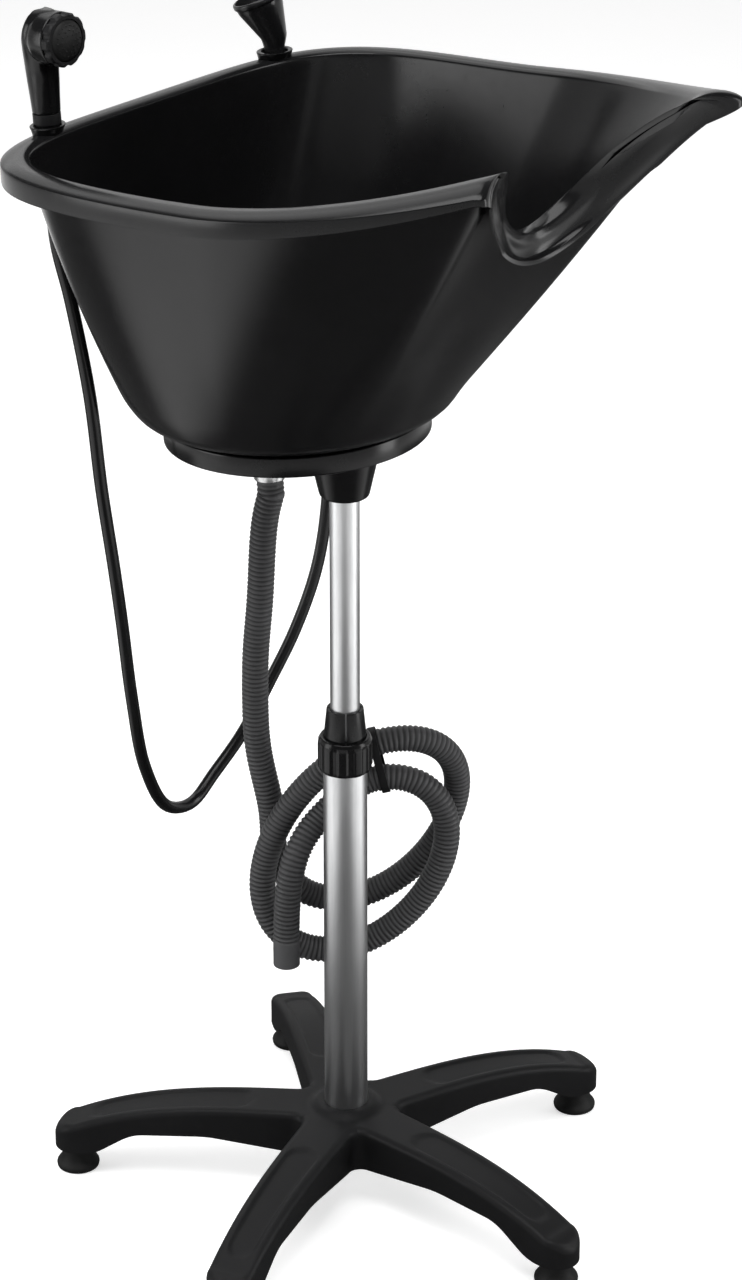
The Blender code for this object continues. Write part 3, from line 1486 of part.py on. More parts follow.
def build_holder(name, side, basin, bowl_faces):
    frame = holder_frame(side)
    lift = 1.4 * SEAT_GAP
    foot, top = HOLDER_FOOT_SHARE, HOLDER_TOP_SHARE
    cup_floor = HOLDER_HEIGHT - HOLDER_CUP_DEPTH
    edge = 0.1 * HOLDER_HEIGHT
    rings = [
        circle(HOLDER_BORE_RADIUS, -HOLDER_STEM_LENGTH, SMALL_SEGMENTS),
        circle(HOLDER_STEM_RADIUS, -HOLDER_STEM_LENGTH, SMALL_SEGMENTS),
        circle(HOLDER_STEM_RADIUS, lift, SMALL_SEGMENTS),
    ]
    for share in (0.68, 0.84, 1.0):
        ring = oval(HOLDER_RADIUS * share, 0.0, mix(0.85, foot, share * share))
        rings.append(seated_ring(bowl_faces, frame, ring, lift))
    rings += [
        oval(HOLDER_RADIUS, 0.35 * HOLDER_HEIGHT, mix(foot, top, 0.5)),
        oval(0.98 * HOLDER_RADIUS, HOLDER_HEIGHT - edge, top),
        oval(0.98 * HOLDER_RADIUS - edge, HOLDER_HEIGHT, top),
        oval(HOLDER_CUP_RADIUS, HOLDER_HEIGHT, 1.0),
        oval(HOLDER_CUP_RADIUS, cup_floor, 1.0),
        oval(HOLDER_BORE_RADIUS, cup_floor, 1.0),
    ]
    add_mesh(name, skin(rings, closed=True), basin, GLOSS, frame)
    return frame


def upright_frame(side):
    return Matrix.Translation(Vector(holder_place(side)))


def superellipse(half, front, back, height, fullness, segments=SMALL_SEGMENTS):
    """Horizontal section with unlike reach to the front and to the back."""
    ring = []
    for step in range(segments):
        angle = 2.0 * math.pi * step / segments
        x, y = math.cos(angle), math.sin(angle)
        power = 2.0 / fullness
        across = half * math.copysign(abs(x) ** power, x)
        reach = back if y > 0.0 else front
        ring.append(Vector((across, reach * math.copysign(abs(y) ** power, y), height)))
    return ring


def build_handset(handset, dial):
    """Handset about the upright axis of its holder, its face towards the bowl."""
    nut_low = HOLDER_HEIGHT - HOLDER_CUP_DEPTH + SEAT_GAP
    nut_top = nut_low + NUT_HEIGHT
    nut_bore = SHOWER_HOSE_RADIUS + SEAT_GAP
    edge = 0.07 * NUT_HEIGHT
    add_mesh(
        "handset_nut",
        turned(
            (
                (nut_bore, nut_low),
                (NUT_RADIUS - 2.0 * edge, nut_low),
                (NUT_RADIUS, nut_low + 3.0 * edge),
                (NUT_RADIUS, nut_top - edge),
                (NUT_RADIUS - edge, nut_top),
                (nut_bore, nut_top),
            ),
            SMALL_SEGMENTS,
        ),
        handset,
        SATIN,
    )
    head = HANDSET_HEAD_HEIGHT
    half = 0.5 * HANDLE_WIDTH
    neck = 0.5 * HANDLE_NECK_WIDTH
    deep = 0.5 * HANDLE_DEPTH
    face = -HANDSET_FACE_OFFSET
    foot = nut_top + SEAT_GAP
    spigot = HOSE_END_RISE + 3.0 * SEAT_GAP
    sections = (
        (SHOWER_HOSE_RADIUS, SHOWER_HOSE_RADIUS, SHOWER_HOSE_RADIUS, spigot, 2.0),
        (SHOWER_HOSE_RADIUS, SHOWER_HOSE_RADIUS, SHOWER_HOSE_RADIUS, foot, 2.0),
        (0.90 * neck, 0.90 * neck, 0.90 * neck, foot, 2.0),
        (neck, neck, neck, mix(foot, head, 0.06), 2.0),
        (neck, 0.96 * deep, 0.96 * deep, mix(foot, head, 0.22), 2.1),
        (0.95 * half, deep, deep, mix(foot, head, 0.42), 2.25),
        (half, 1.10 * deep, deep, mix(foot, head, 0.58), 2.35),
        (1.18 * half, 1.50 * deep, 1.0 * deep, mix(foot, head, 0.72), 2.4),
        (1.42 * half, 1.95 * deep, 0.90 * deep, mix(foot, head, 0.86), 2.4),
        (1.50 * half, 2.10 * deep, 0.62 * deep, head, 2.4),
    )
    rings = [superellipse(*section) for section in sections]
    body = add_mesh("handset_body", skin(rings), handset, GLOSS)
    back = HANDSET_HEAD_DEPTH - HANDSET_FACE_OFFSET
    radius = HANDSET_HEAD_RADIUS
    shell = turned(
        (
            (radius, HANDSET_FACE_OFFSET),
            (radius, 0.1 * HANDSET_FACE_OFFSET),
            (0.93 * radius, -0.42 * back),
            (0.66 * radius, -0.82 * back),
            (0.30 * radius, -0.97 * back),
        ),
        DRAIN_SEGMENTS,
        closed=False,
    )
    head_centre = Matrix.Translation((0.0, -HANDSET_HEAD_FORWARD, head))
    towards_bowl = head_centre @ Matrix.Rotation(0.5 * math.pi, 4, "X")
    boolean(body, "UNION", add_mesh("head_tool", shell, handset, None, towards_bowl))
    plate_back = HANDSET_FACE_OFFSET + SEAT_GAP
    front = plate_back + DIAL_THICKNESS
    dial.matrix_local = towards_bowl
    inner = SPRAY_RADIUS + SEAT_GAP
    dial_sections = (
        (inner, plate_back, 0.0),
        (DIAL_RADIUS, plate_back, 1.0),
        (DIAL_RADIUS, front - 0.3 * DIAL_THICKNESS, 1.0),
        (0.96 * DIAL_RADIUS, front - 0.06 * DIAL_THICKNESS, 0.6),
        (0.88 * DIAL_RADIUS, front, 0.0),
        (inner, front, 0.0),
    )
    rings = [
        fluted_ring(out, up, share * DIAL_LOBE_DEPTH, DIAL_LOBE_COUNT)
        for out, up, share in dial_sections
    ]
    add_mesh("spray_dial", skin(rings, closed=True), dial, SATIN)
    dome = SPRAY_DOME_RISE
    add_mesh(
        "spray_plate",
        turned(
            (
                (SPRAY_RADIUS, plate_back),
                (SPRAY_RADIUS, front - 0.25 * dome),
                (0.86 * SPRAY_RADIUS, front + 0.35 * dome),
                (0.52 * SPRAY_RADIUS, front + 0.82 * dome),
                (0.14 * SPRAY_RADIUS, front + dome),
            ),
            DRAIN_SEGMENTS,
            closed=False,
        ),
        handset,
        RUBBER,
        towards_bowl,
    )


def build_connector(basin):
    """Soft funnel that pushes over a tap, leaning a little towards the handset."""
    low = HOLDER_HEIGHT - HOLDER_CUP_DEPTH + SEAT_GAP
    neck_top = low + CONNECTOR_NECK_LENGTH
    top = CONNECTOR_HEIGHT
    mouth = CONNECTOR_MOUTH_RADIUS
    neck = CONNECTOR_NECK_RADIUS
    wall = CONNECTOR_WALL
    bore = SHOWER_HOSE_RADIUS + SEAT_GAP
    bead = 0.6 * wall
    profile = (
        (bore, low),
        (neck - 0.3 * wall, low),
        (neck, low + 0.3 * wall),
        (neck, neck_top),
        (mix(neck, mouth, 0.16), mix(neck_top, top, 0.12)),
        (mix(neck, mouth, 0.62), mix(neck_top, top, 0.45)),
        (mix(neck, mouth, 0.90), mix(neck_top, top, 0.80)),
        (mix(neck, mouth, 0.92), top - 2.0 * wall),
        (mouth, top - 1.7 * wall),
        (mouth, top - 0.3 * wall),
        (mouth - bead, top),
        (mouth - wall, top),
        (mix(neck, mouth, 0.90) - wall, mix(neck_top, top, 0.78)),
        (mix(neck, mouth, 0.62) - wall, mix(neck_top, top, 0.47)),
        (bore + 0.2 * wall, mix(neck_top, top, 0.10)),
        (bore, neck_top - wall),
    )
    lean = math.radians(CONNECTOR_LEAN)
    lean_turn = math.radians(CONNECTOR_LEAN_TURN)
    lean_axis = Vector((-math.sin(lean_turn), math.cos(lean_turn), 0.0))
    rings = []
    for radius, height in profile:
        bend = smooth_step(mix(low, neck_top, 0.5), mix(neck_top, top, 0.2), height)
        pivot = Vector((0.0, 0.0, mix(low, neck_top, 0.8)))
        turn = Matrix.Rotation(lean * bend, 3, lean_axis)
        ring = circle(radius, height, SMALL_SEGMENTS)
        rings.append([pivot + turn @ (point - pivot) for point in ring])
    add_mesh("tap_connector", skin(rings, closed=True), basin, RUBBER, upright_frame(1.0))


def surface_of(made):
    """Search tree over an object's own mesh, in its parent's frame."""
    shape = bmesh.new()
    shape.from_mesh(made.data)
    tree = BVHTree.FromBMesh(shape)
    shape.free()
    return tree


def centre_over_footprint(root, loose):
    """Move the whole stand so that its box, hoses left out, is centred over the origin."""
    bpy.context.view_layer.update()
    graph = bpy.context.evaluated_depsgraph_get()
    corners = []
    for made in bpy.data.objects:
        if made.type != "MESH" or made.hide_render or made.name in loose:
            continue
        evaluated = made.evaluated_get(graph)
        mesh = evaluated.to_mesh()
        corners += [tuple(evaluated.matrix_world @ vertex.co) for vertex in mesh.vertices]
        evaluated.to_mesh_clear()
    table = np.array(corners)
    middle = 0.5 * (table.min(axis=0) + table.max(axis=0))
    root.location = (-middle[0], -middle[1], -table[:, 2].min())
    bpy.context.view_layer.update()


def main():
    clear_scene()
    stand = add_empty("stand")
    lock = add_empty("lock_axis", stand, Matrix.Translation((0.0, 0.0, LOCK_BOTTOM)))
    riser = add_empty("riser", stand)
    basin = add_empty("basin_frame", riser, BASIN_FRAME)
    handset = add_empty("handset_axis", basin, upright_frame(-1.0))
    dial = add_empty("dial_axis", handset)
    strainer = add_empty("strainer_axis", basin)
    build_base(stand)
    build_column(stand, riser, lock)
    build_carrier(riser, basin)
    build_bowl(basin)
    build_drain(basin, strainer)
    build_drain_hose(riser)
    bowl_faces = surface_of(bpy.data.objects["bowl"])
    build_holder("handset_holder", -1.0, basin, bowl_faces)
    build_holder("connector_holder", 1.0, basin, bowl_faces)
    build_handset(handset, dial)
    build_connector(basin)
    hose = shower_hose_route()
    tube_curve("shower_hose", hose, SHOWER_HOSE_RADIUS, riser, SATIN)
    print(f"shower hose: length {route_length(hose):.3f} m")
    centre_over_footprint(stand, LOOSE_PIECES)


main()
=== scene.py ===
"""Finished looks of a portable shampoo basin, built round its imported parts.

The file is laid out as an add-on and run as a script. Lengths are metres, angles degrees.
"""

import json
import math

import bmesh
import bpy
import numpy as np
from mathutils import Matrix, Vector
from mathutils.bvhtree import BVHTree

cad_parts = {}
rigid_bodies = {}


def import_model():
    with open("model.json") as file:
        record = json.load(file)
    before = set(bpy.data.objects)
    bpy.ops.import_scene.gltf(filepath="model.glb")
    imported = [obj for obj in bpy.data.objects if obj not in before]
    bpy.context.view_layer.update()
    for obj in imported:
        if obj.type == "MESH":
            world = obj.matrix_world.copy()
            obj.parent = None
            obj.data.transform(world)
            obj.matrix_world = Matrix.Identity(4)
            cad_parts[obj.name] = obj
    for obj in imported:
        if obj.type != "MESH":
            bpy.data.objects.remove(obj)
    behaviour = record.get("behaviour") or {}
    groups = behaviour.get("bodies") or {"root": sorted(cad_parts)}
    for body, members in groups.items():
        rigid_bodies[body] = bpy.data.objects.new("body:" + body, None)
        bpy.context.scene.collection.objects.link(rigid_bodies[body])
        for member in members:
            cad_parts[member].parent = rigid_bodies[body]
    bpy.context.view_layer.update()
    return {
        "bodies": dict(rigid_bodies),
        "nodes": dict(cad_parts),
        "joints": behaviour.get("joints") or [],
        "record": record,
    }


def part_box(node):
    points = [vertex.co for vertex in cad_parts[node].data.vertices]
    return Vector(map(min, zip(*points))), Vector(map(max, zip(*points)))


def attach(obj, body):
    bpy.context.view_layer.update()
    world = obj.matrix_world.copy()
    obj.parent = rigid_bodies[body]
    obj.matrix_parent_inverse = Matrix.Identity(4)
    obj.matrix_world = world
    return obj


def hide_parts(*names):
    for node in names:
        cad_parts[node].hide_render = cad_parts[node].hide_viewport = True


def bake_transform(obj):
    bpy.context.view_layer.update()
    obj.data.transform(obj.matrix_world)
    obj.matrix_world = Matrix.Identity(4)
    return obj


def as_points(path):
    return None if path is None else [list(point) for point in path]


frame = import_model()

bl_info = {
    "name": "Portable Shampoo Basin",
    "version": (1, 0, 0),
    "blender": (4, 5, 0),
    "location": "View3D > Sidebar > Basin",
    "description": "Builds the finished shampoo basin and its stage round the packed parts",
    "category": "Add Mesh",
}

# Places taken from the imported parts
COLUMN_LOW, COLUMN_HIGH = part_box("lower_tube")
COLUMN_AXIS = 0.5 * (COLUMN_LOW + COLUMN_HIGH)
COLUMN_AXIS.z = 0.0

# The tilted frame that the basin stands in
TILT = 4.0
RING_OFFSET = 0.052
RING_BOTTOM = 0.711
BASIN_FRAME = (
    Matrix.Translation(COLUMN_AXIS + Vector((0.0, RING_OFFSET, RING_BOTTOM)))
    @ Matrix.Rotation(math.radians(-TILT), 4, "X")
)
SEAT_GAP = 0.0003

# Camera, found from the photograph: place about the column, aim and focal length
PHOTO_HEIGHT = 1280
FOCAL_PIXELS = 4255.5
SENSOR_HEIGHT = 36.0
CAMERA_DISTANCE = 3.240
CAMERA_HEIGHT = 2.079
CAMERA_AZIMUTH = -48.0
CAMERA_YAW = 0.39
CAMERA_PITCH = 25.49
FLOOR_HALF_WIDTH = 14.0
FLOOR_HEIGHT = -0.0006
FLOOR_GLOW = 0.60
# Painted shade: a dimmer floor that reflections see near the object, but not beside it: eased
# between two places
PAINTED_SHADE_SIDES = (0.40, 0.80)
PAINTED_SHADE_BEHIND = (-0.40, -0.05)
PAINTED_SHADE_REACH = (1.7, 2.3)
PAINTED_SHADE_DIMMING = 0.92
WALL_RADIUS = 11.0
WALL_TOP = 4.2
# Overhead light: right of the camera's line, towards the camera and up, then its spread
OVERHEAD = (-0.35, -0.9, 1.3)
OVERHEAD_SPREAD = 40.0
# Soft boxes: name, right of the camera's line, towards the camera, up, then the height that each
# is aimed at, its width, its height and its watts
SOFT_BOXES = (
    ("left_soft_box", -2.3, 0.5, 1.0, 0.5, 1.0, 1.6, 20.0),
    ("right_soft_box", 2.3, 0.4, 1.0, 0.5, 0.7, 2.0, 26.0),
    ("back_soft_box", 0.1, -2.6, 2.3, 0.9, 4.0, 1.4, 16.0),
    ("top_soft_box", -0.2, 0.7, 3.0, 0.9, 2.4, 1.8, 80.0),
)

# Drain hose: the route's own points along the hose plane, behind the column, up
HOSE_PLANE_TURN = -48.0
HOSE_RADIUS = 0.0117
HOSE_START_DROP = 0.041
HOSE_CUFF_LENGTH = 0.0245
HOSE_PLAIN_LENGTH = 0.0095
DRAIN_OFFSET = 0.036
DROP_ROUTE = (
    (-0.0660, 0.0565, 0.632),
    (-0.0695, 0.0585, 0.600),
    (-0.0724, 0.0605, 0.5435),
    (-0.0768, 0.0625, 0.495),
    (-0.0778, 0.0645, 0.446),
    (-0.0762, 0.0665, 0.400),
)
TAIL_ROUTE = (
    (-0.0200, 0.0350, 0.3500),
    (-0.0345, 0.0230, 0.3370),
    (-0.0440, 0.0140, 0.3200),
    (-0.0490, 0.0120, 0.2960),
    (-0.0513, 0.0120, 0.2670),
    (-0.0519, 0.0120, 0.2405),
    (-0.0519, 0.0120, 0.2140),
)
COIL_CENTRE = (0.0198, 0.3524)
COIL_LONG_RADIUS = 0.1066
COIL_SHORT_RADIUS = 0.0700
COIL_LEAN = 54.6
COIL_DRIFT = (-0.0091, -0.0366)
COIL_PHASE = 117.2
COIL_START = 128.0
COIL_END = 758.0
COIL_BACK = 0.0680
COIL_FRONT = 0.0410
COIL_POINTS_PER_TURN = 24
COIL_CROSSOVER_SHARES = (0.26, 0.42)
HOSE_FINE_POINTS = 600
HOSE_EASING = 60

# Shower hose: its points behind the bowl, about the column
SHOWER_HOSE_RADIUS = 0.0055
SHOWER_ROUTE = (
    (-0.1345, 0.1950, 0.8850),
    (-0.1241, 0.1900, 0.8273),
    (-0.1106, 0.1850, 0.7404),
    (-0.1019, 0.1830, 0.6530),
    (-0.0913, 0.1820, 0.5795),
    (-0.0826, 0.1830, 0.5245),
    (-0.0685, 0.1870, 0.4412),
    (-0.0500, 0.1920, 0.3680),
    (-0.0210, 0.1950, 0.3170),
    (0.0130, 0.1970, 0.3060),
    (0.0433, 0.1970, 0.3246),
    (0.0764, 0.1930, 0.3538),
    (0.1066, 0.1860, 0.3982),
    (0.1340, 0.1800, 0.4417),
    (0.1570, 0.1750, 0.4953),
    (0.1690, 0.1730, 0.5569),
    (0.1720, 0.1740, 0.6400),
    (0.1680, 0.1790, 0.7400),
    (0.1570, 0.1890, 0.8450),
)

# Bowl: the part's own sizes, drawn with finer stations and rounded corners
SMOOTH_ANGLE = 42.0
MERGE_DISTANCE = 0.00002
RING_RADIUS = 0.112
RING_HEIGHT = 0.017
RING_WALL = 0.003
RING_PLATE = 0.003
RING_RIB_COUNT = 8
RING_RIB_DEPTH = 0.009
BOWL_WALL = 0.0035
RIM_HEIGHT = 0.2650
RIM_HALF_WIDTH = 0.2120
RIM_BACK = 0.1320
RIM_WIDEST = -0.1150
RIM_FULLNESS = 4.9
SIDE_TAPER = 1.88
EAR_HALF_WIDTH = 0.1190
EAR_FRONT = -0.3350
EAR_LIFT = 0.0390
EAR_CORNER = 0.014
RIM_TURN_LENGTH = 0.060
NECK_RECESS = 0.0815
NECK_DEPTH = 0.0855
BOWL_BASE_RADIUS = 0.143
BOWL_BASE_HEIGHT = 0.044
BOWL_FOOT_RADIUS = 0.106
WALL_BULGE = 0.005
FLANGE_WIDTH = 0.0240
EAR_FLANGE_WIDTH = 0.0420
FLANGE_FALL = 0.0018
FLANGE_DROP = 0.016
FLANGE_WALL = 0.003
RIM_CREST = 0.003
EAR_CREST = 0.006
NECK_CREST = 0.009
EAR_LIP_SIDE = 0.0300
EAR_LIP_FORWARD = 0.0220
EAR_LIP_FALL = 0.0040
EAR_LIP_CORNER = 0.006
NECK_LIP_FORWARD = 0.0195
NECK_LIP_FALL = 0.0200
LIP_DROP = 0.0045
FLANGE_OUT_SHARES = (0.0, 0.12, 0.30, 0.50, 0.70, 0.86, 0.95, 1.0)
RIM_CREST_SHARES = (0.0, 0.75, 1.15, 1.20, 1.0, 0.65, 0.3, 0.0)
NECK_CREST_SHARES = (0.0, 0.62, 1.0, 0.72, -0.10, -0.45, -0.20, 0.0)
NECK_SECTION_SHARES = (0.0, 0.3)
EAR_SHARE_POWER = 3.4
NECK_RUN_POWER = 0.90
NECK_FALL_POWER = 1.27
LIP_RUN_POWER = 0.40
LIP_FALL_POWER = 0.60
RIM_FINE_STEPS = 240
SIDE_STATIONS = 84
CORNER_STATIONS = 16
NECK_STATIONS = 48
WALL_STEPS = 12
FLANGE_STEPS = 22
# Crest points that the flange's underside follows, and the foot's rounding between foot and base
FLANGE_UNDERSIDE = (15, 10, 5)
BOWL_ROUND_SHARES = (0.66, 0.32)

# Base
LEG_COUNT = 5
FOOT_CIRCLE_RADIUS = 0.243
HUB_TOP = 0.083
HUB_RADIUS = 0.043
LEG_ROOT_WIDTH = 0.048
LEG_TIP_WIDTH = 0.040
LEG_ROOT_TOP = 0.078
LEG_TIP_TOP = 0.050
LEG_ROOT_BOTTOM = 0.038
LEG_MIDDLE_BOTTOM = 0.049
LEG_TIP_BOTTOM = 0.0225
LEG_ARCH_SHARE = 3.0
UNDERSIDE_SHARES = (0.0, 0.4, 0.74, 0.92)
POCKET_SHARES = (0.10, 0.38, 0.64, 0.86)
LEG_PANEL_SHARES = (0.20, 0.93)
LEG_PANEL_ROOM = 0.003
LEG_TOP_SHARES = (0.0, 0.15, 0.3, 0.42, 0.52, 0.58, 0.64, 0.70, 0.76)
WALL_FOOT_STEP = 0.0003
HUB_STEPS = 14
WEB_STEPS = 10
LEG_STEPS = 58
TIP_STEPS = 12
BASE_WALL = 0.0035
BASE_RIB = 0.003
GLIDE_RADIUS = 0.0195
GLIDE_NECK_RADIUS = 0.0125
GLIDE_HEIGHT = 0.022

# Column
LOWER_TUBE_RADIUS = 0.019
LOWER_TUBE_WALL = 0.0015
LOWER_TUBE_TOP = 0.437
TUBE_SEAT_DEPTH = 0.038
UPPER_TUBE_RADIUS = 0.0127
UPPER_TUBE_WALL = 0.0012
UPPER_TUBE_INSERTION = 0.235
LOCK_BOTTOM = 0.414
LOCK_SHOULDER = 0.445
LOCK_RADIUS = 0.0236
LOCK_FLUTE_COUNT = 10
LOCK_LIP_HEIGHT = 0.006
COLLET_TOP = 0.471
COLLET_ROOT_RADIUS = 0.0182
COLLET_TIP_RADIUS = 0.0158
COLLET_DEPTH = 0.040
COLLET_SLIT_COUNT = 4
COLLET_SLIT_WIDTH = 0.0016
SOCKET_BOTTOM = 0.668
SOCKET_BOTTOM_RADIUS = 0.0212
SOCKET_TOP_RADIUS = 0.0335
SOCKET_FLANGE_RADIUS = 0.043
SOCKET_FLANGE = 0.004
SOCKET_SCREW_COUNT = 4
SCREW_HEAD_RADIUS = 0.0042
SCREW_HEAD_HEIGHT = 0.0026

# Drain
DRAIN_FLANGE_RADIUS = 0.031
DRAIN_FLANGE_THICKNESS = 0.0022
DRAIN_TUBE_RADIUS = 0.0185
DRAIN_TUBE_WALL = 0.0025
GASKET_THICKNESS = 0.0018
BACK_NUT_RADIUS = 0.0275
BACK_NUT_HEIGHT = 0.006
TAIL_CUP_RADIUS = 0.0225
TAIL_CUP_BOTTOM = 0.016
SPIGOT_RADIUS = 0.0080
SPIGOT_BORE_RADIUS = 0.0060
SPIGOT_LENGTH = 0.020
CUT_REACH = 0.004
STRAINER_RADIUS = 0.0212
STRAINER_CUP_RADIUS = 0.0150
STRAINER_HOLE_COUNT = 6
STRAINER_HOLE_RADIUS = 0.0022
STRAINER_DEPTH = 0.009
CLIP_WIDTH = 0.008
CLIP_THICKNESS = 0.0012
CLIP_EAR_LENGTH = 0.007
TIE_WIDTH = 0.007
TIE_THICKNESS = 0.0016
TIE_SLACK = 0.0008
TIE_ALONG = 0.029
HOSE_BORE_RADIUS = 0.0092
HOSE_BORE_DEPTH = 0.045

# Holders, handset and tap connector
HANDSET_ACROSS = 0.1215
CONNECTOR_ACROSS = 0.1400
HOLDER_RADIUS = 0.0155
HOLDER_HEIGHT = 0.009
HOLDER_FOOT_SHARE = 0.70
HOLDER_TOP_SHARE = 0.88
HOLDER_STEM_RADIUS = 0.0074
HOLDER_STEM_LENGTH = 0.010
HOLDER_BORE_RADIUS = 0.0060
HOLDER_CUP_RADIUS = 0.0115
HOLDER_CUP_DEPTH = 0.007
COLLAR_HEIGHT = 0.0052
HOSE_END_RISE = 0.0085
HANDSET_HEAD_HEIGHT = 0.079
HANDSET_HEAD_RADIUS = 0.0222
HANDSET_HEAD_DEPTH = 0.026
HANDSET_HEAD_FORWARD = 0.011
HANDSET_FACE_OFFSET = 0.013
HANDLE_WIDTH = 0.0255
HANDLE_DEPTH = 0.0245
HANDLE_NECK_WIDTH = 0.0238
HANDSET_STATIONS = 56
HANDSET_SEAM_PASSES = 14
NUT_RADIUS = 0.0098
NUT_HEIGHT = 0.013
DIAL_RADIUS = 0.0220
DIAL_THICKNESS = 0.007
SPRAY_DOME_RISE = 0.004
SPRAY_RADIUS = 0.0170
# Spray nozzles: share of the plate's radius and count of each circle, and their own sizes
NOZZLE_CIRCLES = ((0.30, 6), (0.52, 12), (0.74, 18))
NOZZLE_FOOT_RADIUS = 0.00075
NOZZLE_TIP_RADIUS = 0.0005
NOZZLE_SUNK = 0.0006
CONNECTOR_MOUTH_RADIUS = 0.0222
CONNECTOR_NECK_RADIUS = 0.0088
CONNECTOR_HEIGHT = 0.055
CONNECTOR_LEAN = 19.0
CONNECTOR_LEAN_TURN = 132.0
CONNECTOR_NECK_LENGTH = 0.018
CONNECTOR_WALL = 0.0025

UP = Vector((0.0, 0.0, 1.0))
IDENTITY = Matrix.Identity(4)


def mix(low, high, share):
    return low + (high - low) * share


def smooth_step(low, high, value):
    share = min(max((value - low) / (high - low), 0.0), 1.0)
    return share * share * (3.0 - 2.0 * share)


def ease(row, passes):
    """Draw a row's numbers towards their neighbours' mean, its two ends held."""
    for _ in range(passes):
        row[1:-1] = 0.25 * row[:-2] + 0.5 * row[1:-1] + 0.25 * row[2:]


# Nodes


class Wire:
    """One socket's value. Arithmetic with it adds Math nodes to the same tree."""

    def __init__(self, bench, socket):
        self.bench = bench
        self.socket = socket

    def math(self, operation, *others):
        return self.bench.math(operation, self, *others)

    def __add__(self, other):
        return self.math("ADD", other)

    def __radd__(self, other):
        return self.bench.math("ADD", other, self)

    def __sub__(self, other):
        return self.math("SUBTRACT", other)

    def __rsub__(self, other):
        return self.bench.math("SUBTRACT", other, self)

    def __mul__(self, other):
        return self.math("MULTIPLY", other)

    def __rmul__(self, other):
        return self.bench.math("MULTIPLY", other, self)

    def __truediv__(self, other):
        return self.math("DIVIDE", other)

    def __rtruediv__(self, other):
        return self.bench.math("DIVIDE", other, self)

    def __pow__(self, other):
        return self.math("POWER", other)

    def __rpow__(self, other):
        return self.bench.math("POWER", other, self)

    def over(self, low, high):
        """Nought at low, one at high, eased between them."""
        settings = {"interpolation_type": "SMOOTHSTEP"}
        return self.bench.add("ShaderNodeMapRange", settings, (self, low, high))


class Bench:
    """Adds nodes to one tree."""

    def __init__(self, tree):
        self.tree = tree

    def add(self, kind, settings=None, values=(), out=0):
        """Node of a kind: its settings first, then its inputs by place or name."""
        node = self.tree.nodes.new(kind)
        for name, value in (settings or {}).items():
            setattr(node, name, value)
        pairs = values.items() if isinstance(values, dict) else enumerate(values)
        for key, value in pairs:
            self.put(node.inputs[key], value)
        return Wire(self, node.outputs[out])

    def put(self, socket, value):
        if isinstance(value, Wire):
            self.tree.links.new(value.socket, socket)
        elif socket.type == "RGBA":
            socket.default_value = (*value[:3], 1.0)
        else:
            socket.default_value = value

    def math(self, operation, *values):
        return self.add("ShaderNodeMath", {"operation": operation}, values)


class Finish(Bench):
    """A material built round one Principled shader."""

    def __init__(self, name, **constants):
        self.material = bpy.data.materials.new(name)
        self.material.use_nodes = True
        super().__init__(self.material.node_tree)
        self.shader = self.tree.nodes["Principled BSDF"]
        self.place = self.add("ShaderNodeTexCoord", out="Object")
        for key, value in constants.items():
            label = key.replace("_", " ").title().replace("Ior", "IOR")
            self.put(self.shader.inputs[label], value)

    def set(self, socket, value):
        self.put(self.shader.inputs[socket], value)

    def stretched(self, stretch):
        """Object coordinates, each axis multiplied by its own number."""
        return self.add("ShaderNodeMapping", None, {"Vector": self.place, "Scale": stretch})

    def noise(self, scale, detail=3.0, roughness=0.5, place=None):
        values = {"Scale": scale, "Detail": detail, "Roughness": roughness}
        values["Vector"] = place or self.place
        return self.add("ShaderNodeTexNoise", None, values)

    def two_colours(self, share, first, second):
        settings = {"data_type": "RGBA"}
        return self.add("ShaderNodeMix", settings, {0: share, 6: first, 7: second}, 2)

    def bump(self, height, distance, strength=1.0, under=None):
        values = {"Height": height, "Distance": distance, "Strength": strength}
        if under:
            values["Normal"] = under
        return self.add("ShaderNodeBump", None, values)


class Rule(Bench):
    """A Geometry Nodes tree with named inputs, which ends in one material on a real mesh."""

    def __init__(self, name, **inputs):
        tree = bpy.data.node_groups.new(name, "GeometryNodeTree")
        super().__init__(tree)
        tree.interface.new_socket("Geometry", in_out="OUTPUT", socket_type="NodeSocketGeometry")
        tree.interface.new_socket("Geometry", in_out="INPUT", socket_type="NodeSocketGeometry")
        self.values = {}
        for label, value in inputs.items():
            kind = "Material" if isinstance(value, bpy.types.Material) else "Float"
            kind = "Int" if isinstance(value, int) else kind
            kind = "Vector" if isinstance(value, (tuple, Vector)) else kind
            item = tree.interface.new_socket(
                label.replace("_", " ").title(), in_out="INPUT", socket_type=f"NodeSocket{kind}"
            )
            self.values[item.identifier] = value
        node = tree.nodes.new("NodeGroupInput")
        self.source = Wire(self, node.outputs[0])
        self.inputs = {}
        for index, label in enumerate(inputs):
            self.inputs[label] = Wire(self, node.outputs[index + 1])

    def close(self, geometry):
        real = self.add("GeometryNodeRealizeInstances", None, (geometry,))
        values = {"Geometry": real, "Material": self.inputs["finish"]}
        done = self.add("GeometryNodeSetMaterial", None, values)
        node = self.tree.nodes.new("NodeGroupOutput")
        self.tree.links.new(done.socket, node.inputs[0])

    def run(self, name, shape):
        """Plain mesh object that the tree makes from a bmesh."""
        source = plain_object(f"{name}_source", shape)
        modifier = source.modifiers.new(self.tree.name, "NODES")
        modifier.node_group = self.tree
        for identifier, value in self.values.items():
            modifier[identifier] = value
        return applied(name, source)


# Shapes


def plain_object(name, shape):
    mesh = bpy.data.meshes.new(name)
    shape.to_mesh(mesh)
    shape.free()
    made = bpy.data.objects.new(name, mesh)
    bpy.context.collection.objects.link(made)
    return made


